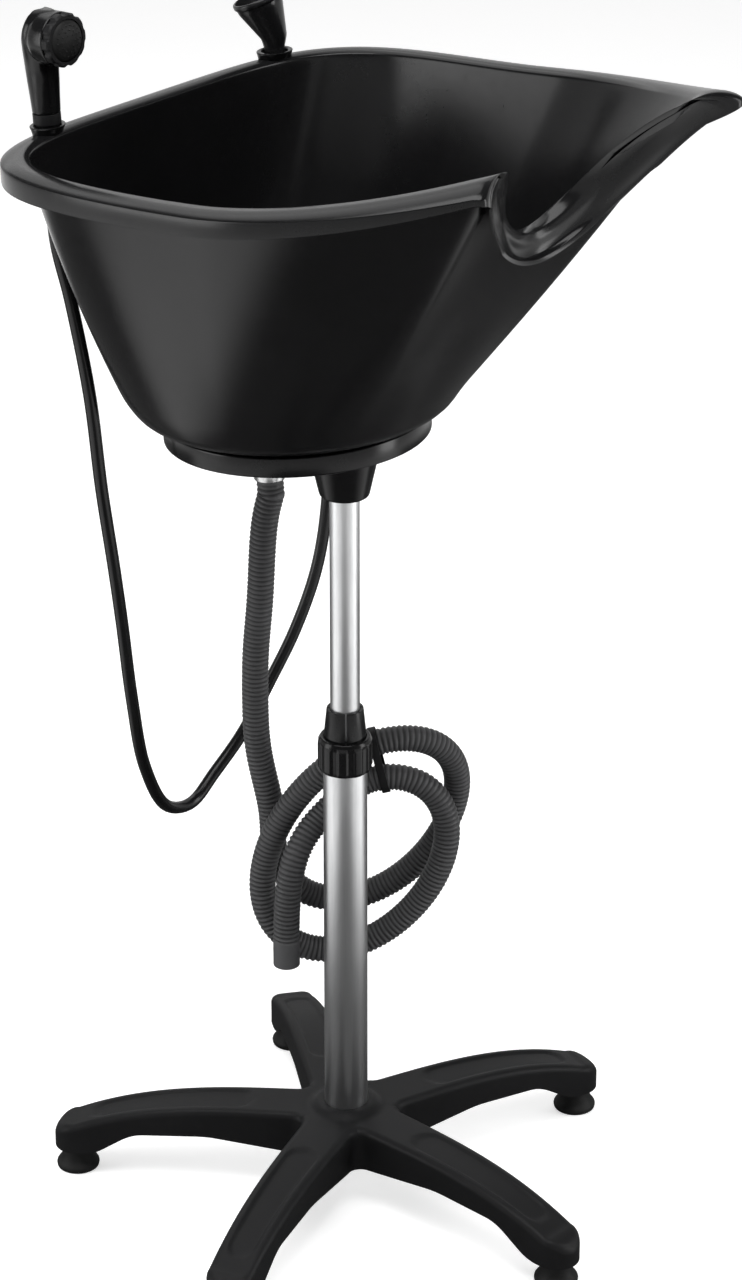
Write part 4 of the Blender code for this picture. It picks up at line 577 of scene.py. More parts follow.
def applied(name, source):
    """Plain mesh object that takes the place of an object with live modifiers."""
    bpy.context.view_layer.update()
    graph = bpy.context.evaluated_depsgraph_get()
    mesh = bpy.data.meshes.new_from_object(source.evaluated_get(graph), depsgraph=graph)
    bpy.data.objects.remove(source, do_unlink=True)
    mesh.name = name
    made = bpy.data.objects.new(name, mesh)
    bpy.context.collection.objects.link(made)
    return made


def outward(shape):
    bmesh.ops.remove_doubles(shape, verts=shape.verts, dist=MERGE_DISTANCE)
    bmesh.ops.recalc_face_normals(shape, faces=shape.faces)
    return shape


def settle(made, body, nodes, finish=None, smooth=SMOOTH_ANGLE):
    """Shade a piece, give it its finish, and let it ride on its body."""
    made.data.shade_smooth()
    made.data.set_sharp_from_angle(angle=math.radians(smooth))
    if finish:
        made.data.materials.clear()
        made.data.materials.append(finish)
    if nodes:
        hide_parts(*nodes)
    if body:
        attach(made, body)
    return made


def piece(name, shape, place, body, nodes, finish, smooth=SMOOTH_ANGLE):
    shape.transform(place)
    return settle(plain_object(name, outward(shape)), body, nodes, finish, smooth)


def cut(name, made, tools):
    """Object with (operation, bmesh) tools worked into it."""
    helpers = []
    for operation, shape in tools:
        tool = plain_object(f"{name}_tool", outward(shape))
        step = made.modifiers.new(operation, "BOOLEAN")
        step.operation = operation
        step.object = tool
        step.solver = "EXACT"
        helpers.append(tool)
    done = applied(name, made)
    for tool in helpers:
        bpy.data.objects.remove(tool, do_unlink=True)
    return done


def skin(rings, closed=False):
    """Faces between rings of equal length; closed joins the last ring to the first."""
    shape = bmesh.new()
    loops = [[shape.verts.new(point) for point in ring] for ring in rings]
    pairs = list(zip(loops, loops[1:]))
    if closed:
        pairs.append((loops[-1], loops[0]))
    for low, high in pairs:
        for here in range(len(low)):
            there = (here + 1) % len(low)
            shape.faces.new((low[here], low[there], high[there], high[here]))
    if not closed:
        shape.faces.new(list(reversed(loops[0])))
        shape.faces.new(loops[-1])
    return shape


def softened(line, closed=False, steps=4):
    """Points of a line of (point, rounding), each corner rounded by its own length."""
    places = [Vector(point) for point, _ in line]
    soft = []
    for index, (_, rounding) in enumerate(line):
        here = places[index]
        before = places[index - 1]
        after = places[(index + 1) % len(line)]
        at_end = not closed and index in (0, len(line) - 1)
        if at_end or rounding <= 0.0:
            soft.append(here)
            continue
        back = (before - here).length
        ahead = (after - here).length
        start = here.lerp(before, min(rounding / back, 0.48))
        end = here.lerp(after, min(rounding / ahead, 0.48))
        for step in range(steps + 1):
            share = step / steps
            soft.append(start.lerp(here, share).lerp(here.lerp(end, share), share))
    return soft


def circle(radius, height, segments=64, centre=(0.0, 0.0), stretch=1.0):
    ring = []
    for step in range(segments):
        angle = 2.0 * math.pi * step / segments
        across = centre[0] + radius * math.cos(angle)
        ring.append(Vector((across, centre[1] + radius * stretch * math.sin(angle), height)))
    return ring


def turned(profile, segments=64, closed=True, steps=3):
    """Turned shape from (radius, height, rounding); closed for one that has a bore."""
    line = [((radius, height), rounding) for radius, height, rounding in profile]
    rings = [circle(point.x, point.y, segments) for point in softened(line, closed, steps)]
    return skin(rings, closed)


def lobed(rows, count, fineness, depth, span, lift=0.0):
    """Turned shape from (radius, height, share), its radius cut back between count lobes."""
    rings = []
    segments = fineness * count
    for radius, up, share in rows:
        ring = []
        for step in range(segments):
            angle = 2.0 * math.pi * step / segments
            wave = 0.5 - 0.5 * math.cos(count * angle)
            out = radius - depth * share * smooth_step(*span, wave)
            ring.append(Vector((out * math.cos(angle), out * math.sin(angle), lift + up)))
        rings.append(ring)
    return skin(rings, closed=True)


def rod(radius, low, high, segments=48):
    return skin([circle(radius, low, segments), circle(radius, high, segments)])


def block(low, high):
    rings = []
    for z in (low[2], high[2]):
        corners = ((low[0], low[1]), (high[0], low[1]), (high[0], high[1]), (low[0], high[1]))
        rings.append([Vector((x, y, z)) for x, y in corners])
    return skin(rings)


def around(count, shape_for, start=0.0):
    """One bmesh that holds count copies of a shape, spaced evenly about Z."""
    whole = bmesh.new()
    for step in range(count):
        single = shape_for()
        single.transform(Matrix.Rotation(start + 2.0 * math.pi * step / count, 4, "Z"))
        holder = bpy.data.meshes.new("copy")
        single.to_mesh(holder)
        single.free()
        whole.from_mesh(holder)
        bpy.data.meshes.remove(holder)
    return whole


def repeated(name, shape, count, centre, axis, finish):
    """Copies of a shape turned about an axis through a centre, made by Geometry Nodes."""
    rule = Rule(
        f"{name}_rule",
        count=count,
        centre=tuple(centre),
        axis=tuple(axis),
        step_angle=2.0 * math.pi / count,
        finish=finish,
    )
    single = rule.add("GeometryNodeGeometryToInstance", None, (rule.source,))
    copies = rule.add(
        "GeometryNodeDuplicateElements",
        {"domain": "INSTANCE"},
        {"Geometry": single, "Amount": rule.inputs["count"]},
    )
    index = Wire(rule, copies.socket.node.outputs["Duplicate Index"])
    turn = rule.add(
        "FunctionNodeAxisAngleToRotation",
        None,
        {"Axis": rule.inputs["axis"], "Angle": index * rule.inputs["step_angle"]},
    )
    values = {"Instances": copies, "Rotation": turn, "Pivot Point": rule.inputs["centre"]}
    values["Local Space"] = False
    rule.close(rule.add("GeometryNodeRotateInstances", None, values))
    return rule.run(name, outward(shape))


# Routes of the two hoses


def evenly(points, count, turn_length=0.0):
    """Count + 1 points spaced evenly along a polyline, its two ends among them.

    Each radian that the line turns counts as that much more length, so bends get more points.
    """
    table = np.array([tuple(point) for point in points])
    steps = np.linalg.norm(np.diff(table, axis=0), axis=1)
    runs = np.diff(table, axis=0) / steps[:, None]
    turns = np.linalg.norm(np.diff(runs, axis=0), axis=1)
    steps += 0.5 * turn_length * (np.append(turns, 0.0) + np.append(0.0, turns))
    lengths = np.concatenate([[0.0], np.cumsum(steps)])
    wanted = np.linspace(0.0, lengths[-1], count + 1)
    columns = [np.interp(wanted, lengths, table[:, axis]) for axis in range(table.shape[1])]
    return [Vector(values) for values in zip(*columns)]


def smooth_route(points, count):
    """Points spaced evenly along a smooth curve through the route's own points."""
    line = [Vector(point) for point in points]
    line = [2.0 * line[0] - line[1]] + line + [2.0 * line[-1] - line[-2]]
    fine = []
    for p0, p1, p2, p3 in zip(line, line[1:], line[2:], line[3:]):
        t1 = (p1 - p0).length ** 0.5
        t2 = t1 + (p2 - p1).length ** 0.5
        t3 = t2 + (p3 - p2).length ** 0.5
        for step in range(12):
            t = mix(t1, t2, step / 12)
            a1 = p0 * ((t1 - t) / t1) + p1 * (t / t1)
            a2 = p1 * ((t2 - t) / (t2 - t1)) + p2 * ((t - t1) / (t2 - t1))
            a3 = p2 * ((t3 - t) / (t3 - t2)) + p3 * ((t - t2) / (t3 - t2))
            b1 = a1 * ((t2 - t) / t2) + a2 * (t / t2)
            b2 = a2 * ((t3 - t) / (t3 - t1)) + a3 * ((t - t1) / (t3 - t1))
            fine.append(b1 * ((t2 - t) / (t2 - t1)) + b2 * ((t - t1) / (t2 - t1)))
    fine.append(line[-2])
    return evenly(fine, count)


def relaxed(points, passes, held):
    """Points drawn towards their neighbours' mean, with a few at each end held."""
    line = [point.copy() for point in points]
    for _ in range(passes):
        last = [point.copy() for point in line]
        for index in range(held, len(line) - held):
            line[index] = 0.25 * last[index - 1] + 0.5 * last[index] + 0.25 * last[index + 1]
    return line


def hose_plane_point(along, out, up):
    turn = math.radians(HOSE_PLANE_TURN)
    across = along * math.cos(turn) - out * math.sin(turn)
    return Vector((across, along * math.sin(turn) + out * math.cos(turn), up))


def coil_point(degrees):
    """Point of the flat, leaning coil, in the hose plane: along, behind, up."""
    share = (degrees - COIL_START) / (COIL_END - COIL_START)
    turns = (degrees - COIL_PHASE) / 360.0
    swing = COIL_LONG_RADIUS * math.cos(math.radians(degrees))
    sway = COIL_SHORT_RADIUS * math.sin(math.radians(degrees))
    lean = math.radians(COIL_LEAN)
    along = COIL_CENTRE[0] + COIL_DRIFT[0] * turns
    up = COIL_CENTRE[1] + COIL_DRIFT[1] * turns
    along += swing * math.cos(lean) - sway * math.sin(lean)
    up += swing * math.sin(lean) + sway * math.cos(lean)
    out = mix(COIL_BACK, COIL_FRONT, smooth_step(*COIL_CROSSOVER_SHARES, share))
    return along, out, up


def drain_hose_route():
    """The drain hose's middle line from the drain's spigot, in the world."""
    drops = [HOSE_START_DROP + step * HOSE_CUFF_LENGTH for step in (0.0, 0.25, 0.5, 0.75, 1.0)]
    straight = [BASIN_FRAME @ Vector((0.0, DRAIN_OFFSET, -drop)) for drop in drops]
    turns = (COIL_END - COIL_START) / 360.0
    steps = round(turns * COIL_POINTS_PER_TURN)
    coil = [coil_point(mix(COIL_START, COIL_END, step / steps)) for step in range(steps + 1)]
    places = [hose_plane_point(*point) for point in (*DROP_ROUTE, *coil, *TAIL_ROUTE)]
    fine = smooth_route(straight + [COLUMN_AXIS + place for place in places], HOSE_FINE_POINTS)
    held = round(HOSE_CUFF_LENGTH / (fine[1] - fine[0]).length)
    return relaxed(fine, HOSE_EASING, held)


def shower_hose_route(count):
    """The shower hose's middle line, from the handset's nut down and up to the tap connector."""
    exits = []
    for side in (-1.0, 1.0):
        place = Vector(holder_place(side))
        depths = (HOSE_END_RISE, 0.0, -HOLDER_STEM_LENGTH, -2.2 * HOLDER_STEM_LENGTH)
        exits.append([BASIN_FRAME @ (place + depth * UP) for depth in depths])
    middle = [COLUMN_AXIS + Vector(point) for point in SHOWER_ROUTE]
    return smooth_route(exits[0] + middle + exits[1][::-1], count)


def route_length(points):
    return sum((after - before).length for before, after in zip(points, points[1:]))


def tube(points, radius, segments):
    """Closed tube along a line, its sections carried along without twisting."""
    side = None
    rings = []
    for index, point in enumerate(points):
        run = points[min(index + 1, len(points) - 1)] - points[max(index - 1, 0)]
        run.normalize()
        side = run.orthogonal() if side is None else side - side.dot(run) * run
        side.normalize()
        other = run.cross(side)
        ring = []
        for step in range(segments):
            angle = 2.0 * math.pi * step / segments
            ring.append(point + radius * (side * math.cos(angle) + other * math.sin(angle)))
        rings.append(ring)
    return skin(rings)


# Bowl


def bezier(start, control, end, share):
    return start * (1.0 - share) ** 2 + control * 2.0 * share * (1.0 - share) + end * share**2


def back_depth(across):
    share = min(abs(across) / RIM_HALF_WIDTH, 1.0)
    fullness = (1.0 - share**RIM_FULLNESS) ** (1.0 / RIM_FULLNESS)
    return mix(RIM_WIDEST, RIM_BACK, fullness)


def side_point(depth):
    share = (RIM_WIDEST - depth) / (RIM_WIDEST - EAR_FRONT)
    across = mix(RIM_HALF_WIDTH, EAR_HALF_WIDTH, share**SIDE_TAPER)
    return Vector((across, depth, rim_height(depth)))


def ear_share(depth):
    return max((RIM_BACK - depth) / (RIM_BACK - EAR_FRONT), 0.0) ** EAR_SHARE_POWER


def rim_height(depth):
    return RIM_HEIGHT + EAR_LIFT * ear_share(depth)


def neck_share(reach):
    return 0.5 + 0.5 * math.cos(math.pi * min(abs(reach), 1.0))


def neck_point(reach):
    """Point of the flange's inner edge in the neck."""
    share = neck_share(reach)
    depth = EAR_FRONT + NECK_RECESS * share**NECK_RUN_POWER
    height = RIM_HEIGHT + EAR_LIFT - NECK_DEPTH * share**NECK_FALL_POWER
    return Vector((EAR_HALF_WIDTH * reach, depth, height))


def lip_point(reach):
    """Point of the flange's outer edge in the neck."""
    share = neck_share(reach)
    front = EAR_FRONT - EAR_LIP_FORWARD
    middle = EAR_FRONT + NECK_RECESS - NECK_LIP_FORWARD
    top = RIM_HEIGHT + EAR_LIFT
    depth = mix(front, middle, share**LIP_RUN_POWER)
    height = mix(top - EAR_LIP_FALL, top - NECK_DEPTH - NECK_LIP_FALL, share**LIP_FALL_POWER)
    return Vector(((EAR_HALF_WIDTH + EAR_LIP_SIDE) * reach, depth, height))


def flange_outside(edge):
    """Outer edge of the flange beside the back and sides, for points of its inner edge."""
    outer = []
    for index, point in enumerate(edge):
        run = edge[min(index + 1, len(edge) - 1)] - edge[max(index - 1, 0)]
        out = Vector((-run.y, run.x, 0.0)).normalized()
        width = mix(FLANGE_WIDTH, EAR_FLANGE_WIDTH, ear_share(point.y))
        outer.append(point + out * width - UP * FLANGE_FALL)
    return outer


def rim_half():
    """Half of the flange, from the back's middle to the neck's: (inner, outer, neck share)."""
    fine = RIM_FINE_STEPS
    edge = []
    for step in range(fine + 1):
        angle = 0.5 * math.pi * step / fine
        across = RIM_HALF_WIDTH * math.sin(angle) ** (2.0 / RIM_FULLNESS)
        depth = mix(RIM_WIDEST, RIM_BACK, math.cos(angle) ** (2.0 / RIM_FULLNESS))
        edge.append(Vector((across, depth, rim_height(depth))))
    last = EAR_FRONT + EAR_CORNER
    edge += [side_point(mix(RIM_WIDEST, last, step / fine)) for step in range(1, fine + 1)]
    outside = flange_outside(edge)
    start = 1.0 - EAR_CORNER / EAR_HALF_WIDTH
    tip = Vector((EAR_HALF_WIDTH, EAR_FRONT, RIM_HEIGHT + EAR_LIFT))
    outer_tip = lip_point(1.0) + Vector((EAR_LIP_CORNER, -EAR_LIP_CORNER, 0.0))
    corner = []
    neck = []
    for step in range(fine + 1):
        share = step / fine
        inner = bezier(edge[-1], tip, neck_point(start), share)
        outer = bezier(outside[-1], outer_tip, lip_point(start), share)
        corner.append((*inner, *outer))
        reach = start * (1.0 - share)
        neck.append((*neck_point(reach), *lip_point(reach)))
    sides = [(*inner, *outer) for inner, outer in zip(edge, outside)]
    whole = evenly(sides, SIDE_STATIONS, RIM_TURN_LENGTH)[:-1]
    whole += evenly(corner, CORNER_STATIONS)[:-1]
    whole += evenly(neck, NECK_STATIONS)
    first = SIDE_STATIONS + CORNER_STATIONS
    half = []
    for index, place in enumerate(whole):
        at_neck = neck_share(place[0] / EAR_HALF_WIDTH) if index >= first else 0.0
        half.append((Vector(place[:3]), Vector(place[3:6]), at_neck))
    return half


def rim_stations():
    """Closed list of (inner point, outer point, ear share, neck share) round the flange."""
    half = rim_half()
    stations = []
    for side, places in ((1.0, half), (-1.0, reversed(half[1:-1]))):
        for inner, outer, at_neck in places:
            near = Vector((side * inner.x, inner.y, inner.z))
            far = Vector((side * outer.x, outer.y, outer.z))
            stations.append((near, far, ear_share(max(inner.y, EAR_FRONT)), at_neck))
    return stations


def crook(first, second, wall):
    """Step from a corner into the solid between two faces that leave it, one wall from each."""
    first, second = first.normalized(), second.normalized()
    middle = (first + second).normalized()
    return middle * (wall / math.sin(middle.angle(first)))


def base_direction(point):
    extent = RIM_BACK if point.y > 0.0 else -EAR_FRONT
    return Vector((point.x / RIM_HALF_WIDTH, point.y / extent, 0.0)).normalized()


def crest_line():
    """(share across the flange, crest on the rim, crest in the neck), smoothed."""
    shares = np.linspace(0.0, 1.0, FLANGE_STEPS + 1)
    rows = [shares]
    for crests in (RIM_CREST_SHARES, NECK_CREST_SHARES):
        row = np.interp(shares, FLANGE_OUT_SHARES, crests)
        ease(row, 2)
        rows.append(row)
    return [tuple(map(float, values)) for values in zip(*rows)][1:-1]


def bowl_section(station, crests, roundings):
    """Closed section of the shell at a station: from the drain up, over the rim and back."""
    inner, outer, ear, neck = station
    direction = base_direction(inner)
    hole = DRAIN_TUBE_RADIUS + 2.0 * SEAT_GAP
    base_low = RING_HEIGHT + SEAT_GAP
    round_radius = mix(BOWL_FOOT_RADIUS, BOWL_BASE_RADIUS, BOWL_ROUND_SHARES[0])
    round_height = mix(base_low, BOWL_BASE_HEIGHT, BOWL_ROUND_SHARES[1])
    drain = Vector((0.0, DRAIN_OFFSET, 0.0))
    inner_round, outer_round, base_round = roundings
    chord = outer - inner
    level = Vector((chord.x, chord.y, 0.0)).normalized()
    raised = (UP * chord.dot(level) - level * chord.z).normalized()
    dished = smooth_step(*NECK_SECTION_SHARES, neck)
    crest = mix(RIM_CREST, EAR_CREST, ear)
    drop = mix(FLANGE_DROP, LIP_DROP, max(ear, dished))
    foot_height = UP * BOWL_BASE_HEIGHT
    wall_fall = direction * BOWL_BASE_RADIUS + foot_height - inner
    outside_top = inner + crook(wall_fall, chord, BOWL_WALL)

    def wall(share, top, radius):
        bulge = WALL_BULGE * 4.0 * share * (1.0 - share)
        return (direction * radius + foot_height).lerp(top, share) + direction * bulge

    def across(out_share, on_rim, in_neck, sunk):
        rise = mix(crest * on_rim, NECK_CREST * in_neck, dished)
        return inner + chord * out_share + raised * (rise - sunk)

    floor = UP * (base_low + BOWL_WALL)
    within = BOWL_BASE_RADIUS - BOWL_WALL
    round_floor = UP * (round_height + 0.8 * BOWL_WALL)
    steps = [step / WALL_STEPS for step in range(1, WALL_STEPS)]
    line = [
        (drain + direction * hole + floor, 0.0),
        (direction * (BOWL_FOOT_RADIUS - BOWL_WALL) + floor, base_round),
        (direction * (round_radius - BOWL_WALL) + round_floor, base_round),
        (direction * within + foot_height, base_round),
    ]
    line += [(wall(share, inner, within), 0.0) for share in steps]
    line.append((inner, inner_round))
    line += [(across(*crest_point, 0.0), 0.0) for crest_point in crests]
    line.append((outer, min(outer_round, 0.7 * drop)))
    line.append((outer - UP * drop, 0.3 * FLANGE_WALL))
    line.append((outer - UP * drop - level * FLANGE_WALL, 0.3 * FLANGE_WALL))
    line.append((outer + crook(-UP, -chord, FLANGE_WALL), FLANGE_WALL))
    line += [(across(*crests[index], FLANGE_WALL), 0.0) for index in FLANGE_UNDERSIDE]
    line.append((outside_top, FLANGE_WALL))
    line += [(wall(share, outside_top, BOWL_BASE_RADIUS), 0.0) for share in reversed(steps)]
    line.append((direction * BOWL_BASE_RADIUS + foot_height, base_round))
    line.append((direction * round_radius + UP * round_height, base_round))
    line.append((direction * BOWL_FOOT_RADIUS + UP * base_low, FLANGE_WALL))
    line.append((drain + direction * hole + UP * base_low, 0.0))
    return softened(line, True)


def build_bowl(sizes, finish):
    crests = crest_line()
    roundings = (sizes.rim_inner_round, sizes.rim_outer_round, sizes.base_round)
    sections = [bowl_section(station, crests, roundings) for station in rim_stations()]
    rings = [list(ring) for ring in zip(*sections)]
    shape = skin(rings, closed=True)
    piece("basin_bowl", shape, BASIN_FRAME, "riser", ["bowl"], finish, 50.0)


# Basin carrier and the socket on the column


def plate_height(across, local_height):
    """Height, about the column, of the carrier's tilted plane at a distance along Y."""
    tilt = math.radians(TILT)
    return RING_BOTTOM - (across - RING_OFFSET) * math.tan(tilt) + local_height / math.cos(tilt)


def tilted_ring(radius, local_height, segments=64):
    ring = circle(radius, 0.0, segments)
    for point in ring:
        point.z = plate_height(point.y, local_height)
    return ring


def build_carrier(sizes, finish, steel):
    under = RING_HEIGHT - RING_PLATE
    inner = RING_RADIUS - RING_WALL
    hole = DRAIN_TUBE_RADIUS + 2.0 * SEAT_GAP
    edge = sizes.ring_edge_round
    profile = (
        (0.0, under, 0.0),
        (inner, under, RING_WALL),
        (inner, 0.0, 0.3 * RING_WALL),
        (RING_RADIUS, 0.0, edge),
        (RING_RADIUS, RING_HEIGHT, edge),
        (0.0, RING_HEIGHT, 0.0),
    )
    carrier = plain_object("carrier_start", outward(turned(profile, 128, closed=False)))
    half_rib = 0.5 * RING_WALL

    def rib():
        low = (0.45 * inner, -half_rib, under - RING_RIB_DEPTH)
        return block(low, (inner + half_rib, half_rib, under + 0.5 * RING_PLATE))

    nut_room = BACK_NUT_RADIUS + CUT_REACH
    rows = (
        (nut_room, -TAIL_CUP_BOTTOM - CUT_REACH),
        (nut_room, under + SEAT_GAP),
        (hole, under + SEAT_GAP),
        (hole, RING_HEIGHT + CUT_REACH),
    )
    drain_room = skin([circle(*row, 64, (0.0, DRAIN_OFFSET)) for row in rows])
    room = SOCKET_FLANGE_RADIUS + 2.0 * SEAT_GAP
    flange_room = skin([circle(room, SOCKET_BOTTOM), tilted_ring(room, under + SEAT_GAP)])
    flange_room.transform(BASIN_FRAME.inverted() @ Matrix.Translation(COLUMN_AXIS))
    tools = [
        ("UNION", around(RING_RIB_COUNT, rib, math.pi / RING_RIB_COUNT)),
        ("DIFFERENCE", drain_room),
        ("DIFFERENCE", flange_room),
    ]
    made = cut("carrier_ring", carrier, tools)
    made.data.transform(BASIN_FRAME)
    settle(made, "riser", ["bowl_carrier"], finish)

    flange_low = under - SOCKET_FLANGE
    bore = UPPER_TUBE_RADIUS + SEAT_GAP
    neck = mix(SOCKET_BOTTOM_RADIUS, SOCKET_TOP_RADIUS, 0.04)
    rows = (
        (circle(bore, SOCKET_BOTTOM), 0.0),
        (circle(SOCKET_BOTTOM_RADIUS - 0.02 * neck, SOCKET_BOTTOM), sizes.socket_edge_round),
        (tilted_ring(SOCKET_TOP_RADIUS, flange_low), 0.003),
        (tilted_ring(SOCKET_FLANGE_RADIUS, flange_low), 0.001),
        (tilted_ring(SOCKET_FLANGE_RADIUS, under), 0.0),
        (tilted_ring(bore, under), 0.0),
    )
    columns = []
    for index in range(len(rows[0][0])):
        columns.append(softened([(ring[index], rounding) for ring, rounding in rows], True))
    shape = skin([list(ring) for ring in zip(*columns)], closed=True)
    place = Matrix.Translation(COLUMN_AXIS)
    piece("column_socket_cone", shape, place, "riser", ["column_socket"], finish)
    build_screws(steel, under, flange_low)


def build_screws(steel, under, flange_low):
    """Round-headed screws with a slot, repeated round the socket's flange."""
    screw_circle = mix(SOCKET_TOP_RADIUS, SOCKET_FLANGE_RADIUS, 0.53)
    head_top = flange_low - SEAT_GAP
    head_low = head_top - SCREW_HEAD_HEIGHT
    profile = (
        (0.0, head_low, 0.0),
        (0.8 * SCREW_HEAD_RADIUS, head_low, 0.001),
        (SCREW_HEAD_RADIUS, head_top, 0.0003),
        (0.0, head_top, 0.0),
    )
    head = plain_object("screw_start", outward(turned(profile, 32, closed=False)))
    slot = 0.12 * SCREW_HEAD_RADIUS
    reach = 1.2 * SCREW_HEAD_RADIUS
    depth = head_low + 0.45 * SCREW_HEAD_HEIGHT
    tool = block((-reach, -slot, head_low - SCREW_HEAD_HEIGHT), (reach, slot, depth))
    made = cut("screw_head", head, [("DIFFERENCE", tool)])
    column_top = BASIN_FRAME.inverted() @ (COLUMN_AXIS + UP * plate_height(0.0, under))
    centre = Matrix.Translation((0.0, column_top.y, 0.0))
    start = Matrix.Rotation(math.pi / SOCKET_SCREW_COUNT, 4, "Z")
    place = BASIN_FRAME @ centre @ start @ Matrix.Translation((screw_circle, 0.0, 0.0))
    shape = bmesh.new()
    shape.from_mesh(made.data)
    bpy.data.objects.remove(made, do_unlink=True)
    shape.transform(place)
    axis = BASIN_FRAME.to_3x3() @ UP
    middle = BASIN_FRAME @ Vector((0.0, column_top.y, 0.0))
    screws = repeated("socket_screws", shape, SOCKET_SCREW_COUNT, middle, axis, steel)
    names = [f"socket_screw_{step + 1}" for step in range(SOCKET_SCREW_COUNT)]
    settle(screws, "riser", names)


# Base


def leg_width(reach):
    """Half the leg's width at a distance from the column, its web and its round tip left out."""
    share = (reach - HUB_RADIUS) / (FOOT_CIRCLE_RADIUS - HUB_RADIUS)
    return 0.5 * mix(LEG_ROOT_WIDTH, LEG_TIP_WIDTH, min(max(share, 0.0), 1.0))


def leg_top(reach):
    share = (reach - HUB_RADIUS) / (FOOT_CIRCLE_RADIUS - HUB_RADIUS)
    inside = min(max(share, 0.0), 1.0)
    past = max(reach - FOOT_CIRCLE_RADIUS, 0.0)
    return mix(LEG_ROOT_TOP, LEG_TIP_TOP, inside**LEG_ARCH_SHARE) - past**2 / LEG_TIP_WIDTH


def leg_bottom(reach):
    """Underside of the leg's side walls, eased over a short stretch."""
    middle = LEG_MIDDLE_BOTTOM
    heights = (LEG_ROOT_BOTTOM, middle, mix(middle, LEG_TIP_BOTTOM, 0.12), LEG_TIP_BOTTOM)
    span = FOOT_CIRCLE_RADIUS - HUB_RADIUS
    shares = [(reach - HUB_RADIUS) / span + 0.015 * step for step in range(-3, 4)]
    return float(np.mean(np.interp(shares, UNDERSIDE_SHARES, heights)))


class LegPlan:
    """Outline of one leg from above, with the rounded webs that join it to its neighbours."""

    def __init__(self, web_round):
        self.turn = math.pi / LEG_COUNT
        self.round = web_round
        root = 0.5 * LEG_ROOT_WIDTH
        corner = (web_round + root) / math.sin(self.turn) - web_round
        reach = corner + web_round
        self.centre = Vector((reach * math.cos(self.turn), reach * math.sin(self.turn)))
        self.start = self.centre.x - web_round * math.cos(self.turn)

    def half_width(self, reach):
        if reach <= self.start:
            return reach * math.tan(self.turn)
        if reach < self.centre.x:
            run = self.centre.x - reach
            return self.centre.y - math.sqrt(max(self.round**2 - run**2, 0.0))
        past = max(reach - FOOT_CIRCLE_RADIUS, 0.0)
        tip = 0.5 * LEG_TIP_WIDTH
        return leg_width(reach) * math.sqrt(max(1.0 - (past / tip) ** 2, 0.0))

    def inset(self, reach, across):
        """Distance from a point to the outline, inside it."""
        across = abs(across)
        if reach < self.centre.x:
            return max((self.centre - Vector((reach, across))).length - self.round, 0.0)
        if reach > FOOT_CIRCLE_RADIUS:
            out = math.hypot(reach - FOOT_CIRCLE_RADIUS, across)
            return max(0.5 * LEG_TIP_WIDTH - out, 0.0)
        return max(leg_width(reach) - across, 0.0)

    def rows(self):
        """Distances from the column at which the leg is cut: hub, web, straight and round tip."""
        reaches = [self.start * step / HUB_STEPS for step in range(HUB_STEPS)]
        for step in range(WEB_STEPS):
            angle = mix(self.turn, 0.5 * math.pi, step / WEB_STEPS)
            reaches.append(self.centre.x - self.round * math.cos(angle))
        straight = list(np.linspace(self.centre.x, FOOT_CIRCLE_RADIUS, LEG_STEPS))
        span = FOOT_CIRCLE_RADIUS - HUB_RADIUS
        for share in POCKET_SHARES:
            middle = HUB_RADIUS + span * share
            straight += [middle + part * BASE_RIB for part in (-0.5, -0.4, 0.4, 0.5)]
        reaches += sorted(straight)
        tip = 0.5 * LEG_TIP_WIDTH
        for step in range(1, TIP_STEPS + 1):
            reaches.append(FOOT_CIRCLE_RADIUS + tip * math.sin(0.5 * math.pi * step / TIP_STEPS))
        return reaches


def panel_sink(reach, across, sizes):
    """How far the long oval panel on a leg lies below its top."""
    span = FOOT_CIRCLE_RADIUS - HUB_RADIUS
    low, high = (HUB_RADIUS + span * share for share in LEG_PANEL_SHARES)
    half = leg_width(reach) - sizes.panel_margin
    beyond = max(low + half - reach, reach - (high - half), 0.0)
    inside = half - math.hypot(beyond, across)
    return sizes.panel_depth * smooth_step(0.0, sizes.panel_slope, inside)


def base_top(plan, reach, across, sizes):
    edge = sizes.leg_edge_round
    inset = min(plan.inset(reach, across), edge)
    fall = edge - math.sqrt(max(edge**2 - (edge - inset) ** 2, 0.0))
    out = math.hypot(reach, across)
    boss = (HUB_TOP - LEG_ROOT_TOP) * (1.0 - smooth_step(sizes.boss_radius, sizes.boss_foot, out))
    return leg_top(reach) + boss - fall - panel_sink(reach, across, sizes)


def base_roof(reach, across, half):
    """Height of the hollow's ceiling under a leg, or of the wall's foot beside it."""
    span = FOOT_CIRCLE_RADIUS - HUB_RADIUS
    share = (reach - HUB_RADIUS) / span
    bottom = leg_bottom(reach)
    rib = 0.5 * BASE_RIB / span
    open_here = any(
        low + 0.95 * rib <= share <= high - 0.95 * rib
        for low, high in zip(POCKET_SHARES, POCKET_SHARES[1:])
    )
    if open_here and abs(across) < half - 0.9 * BASE_WALL:
        return leg_top(reach) - LEG_PANEL_ROOM - BASE_WALL
    return bottom


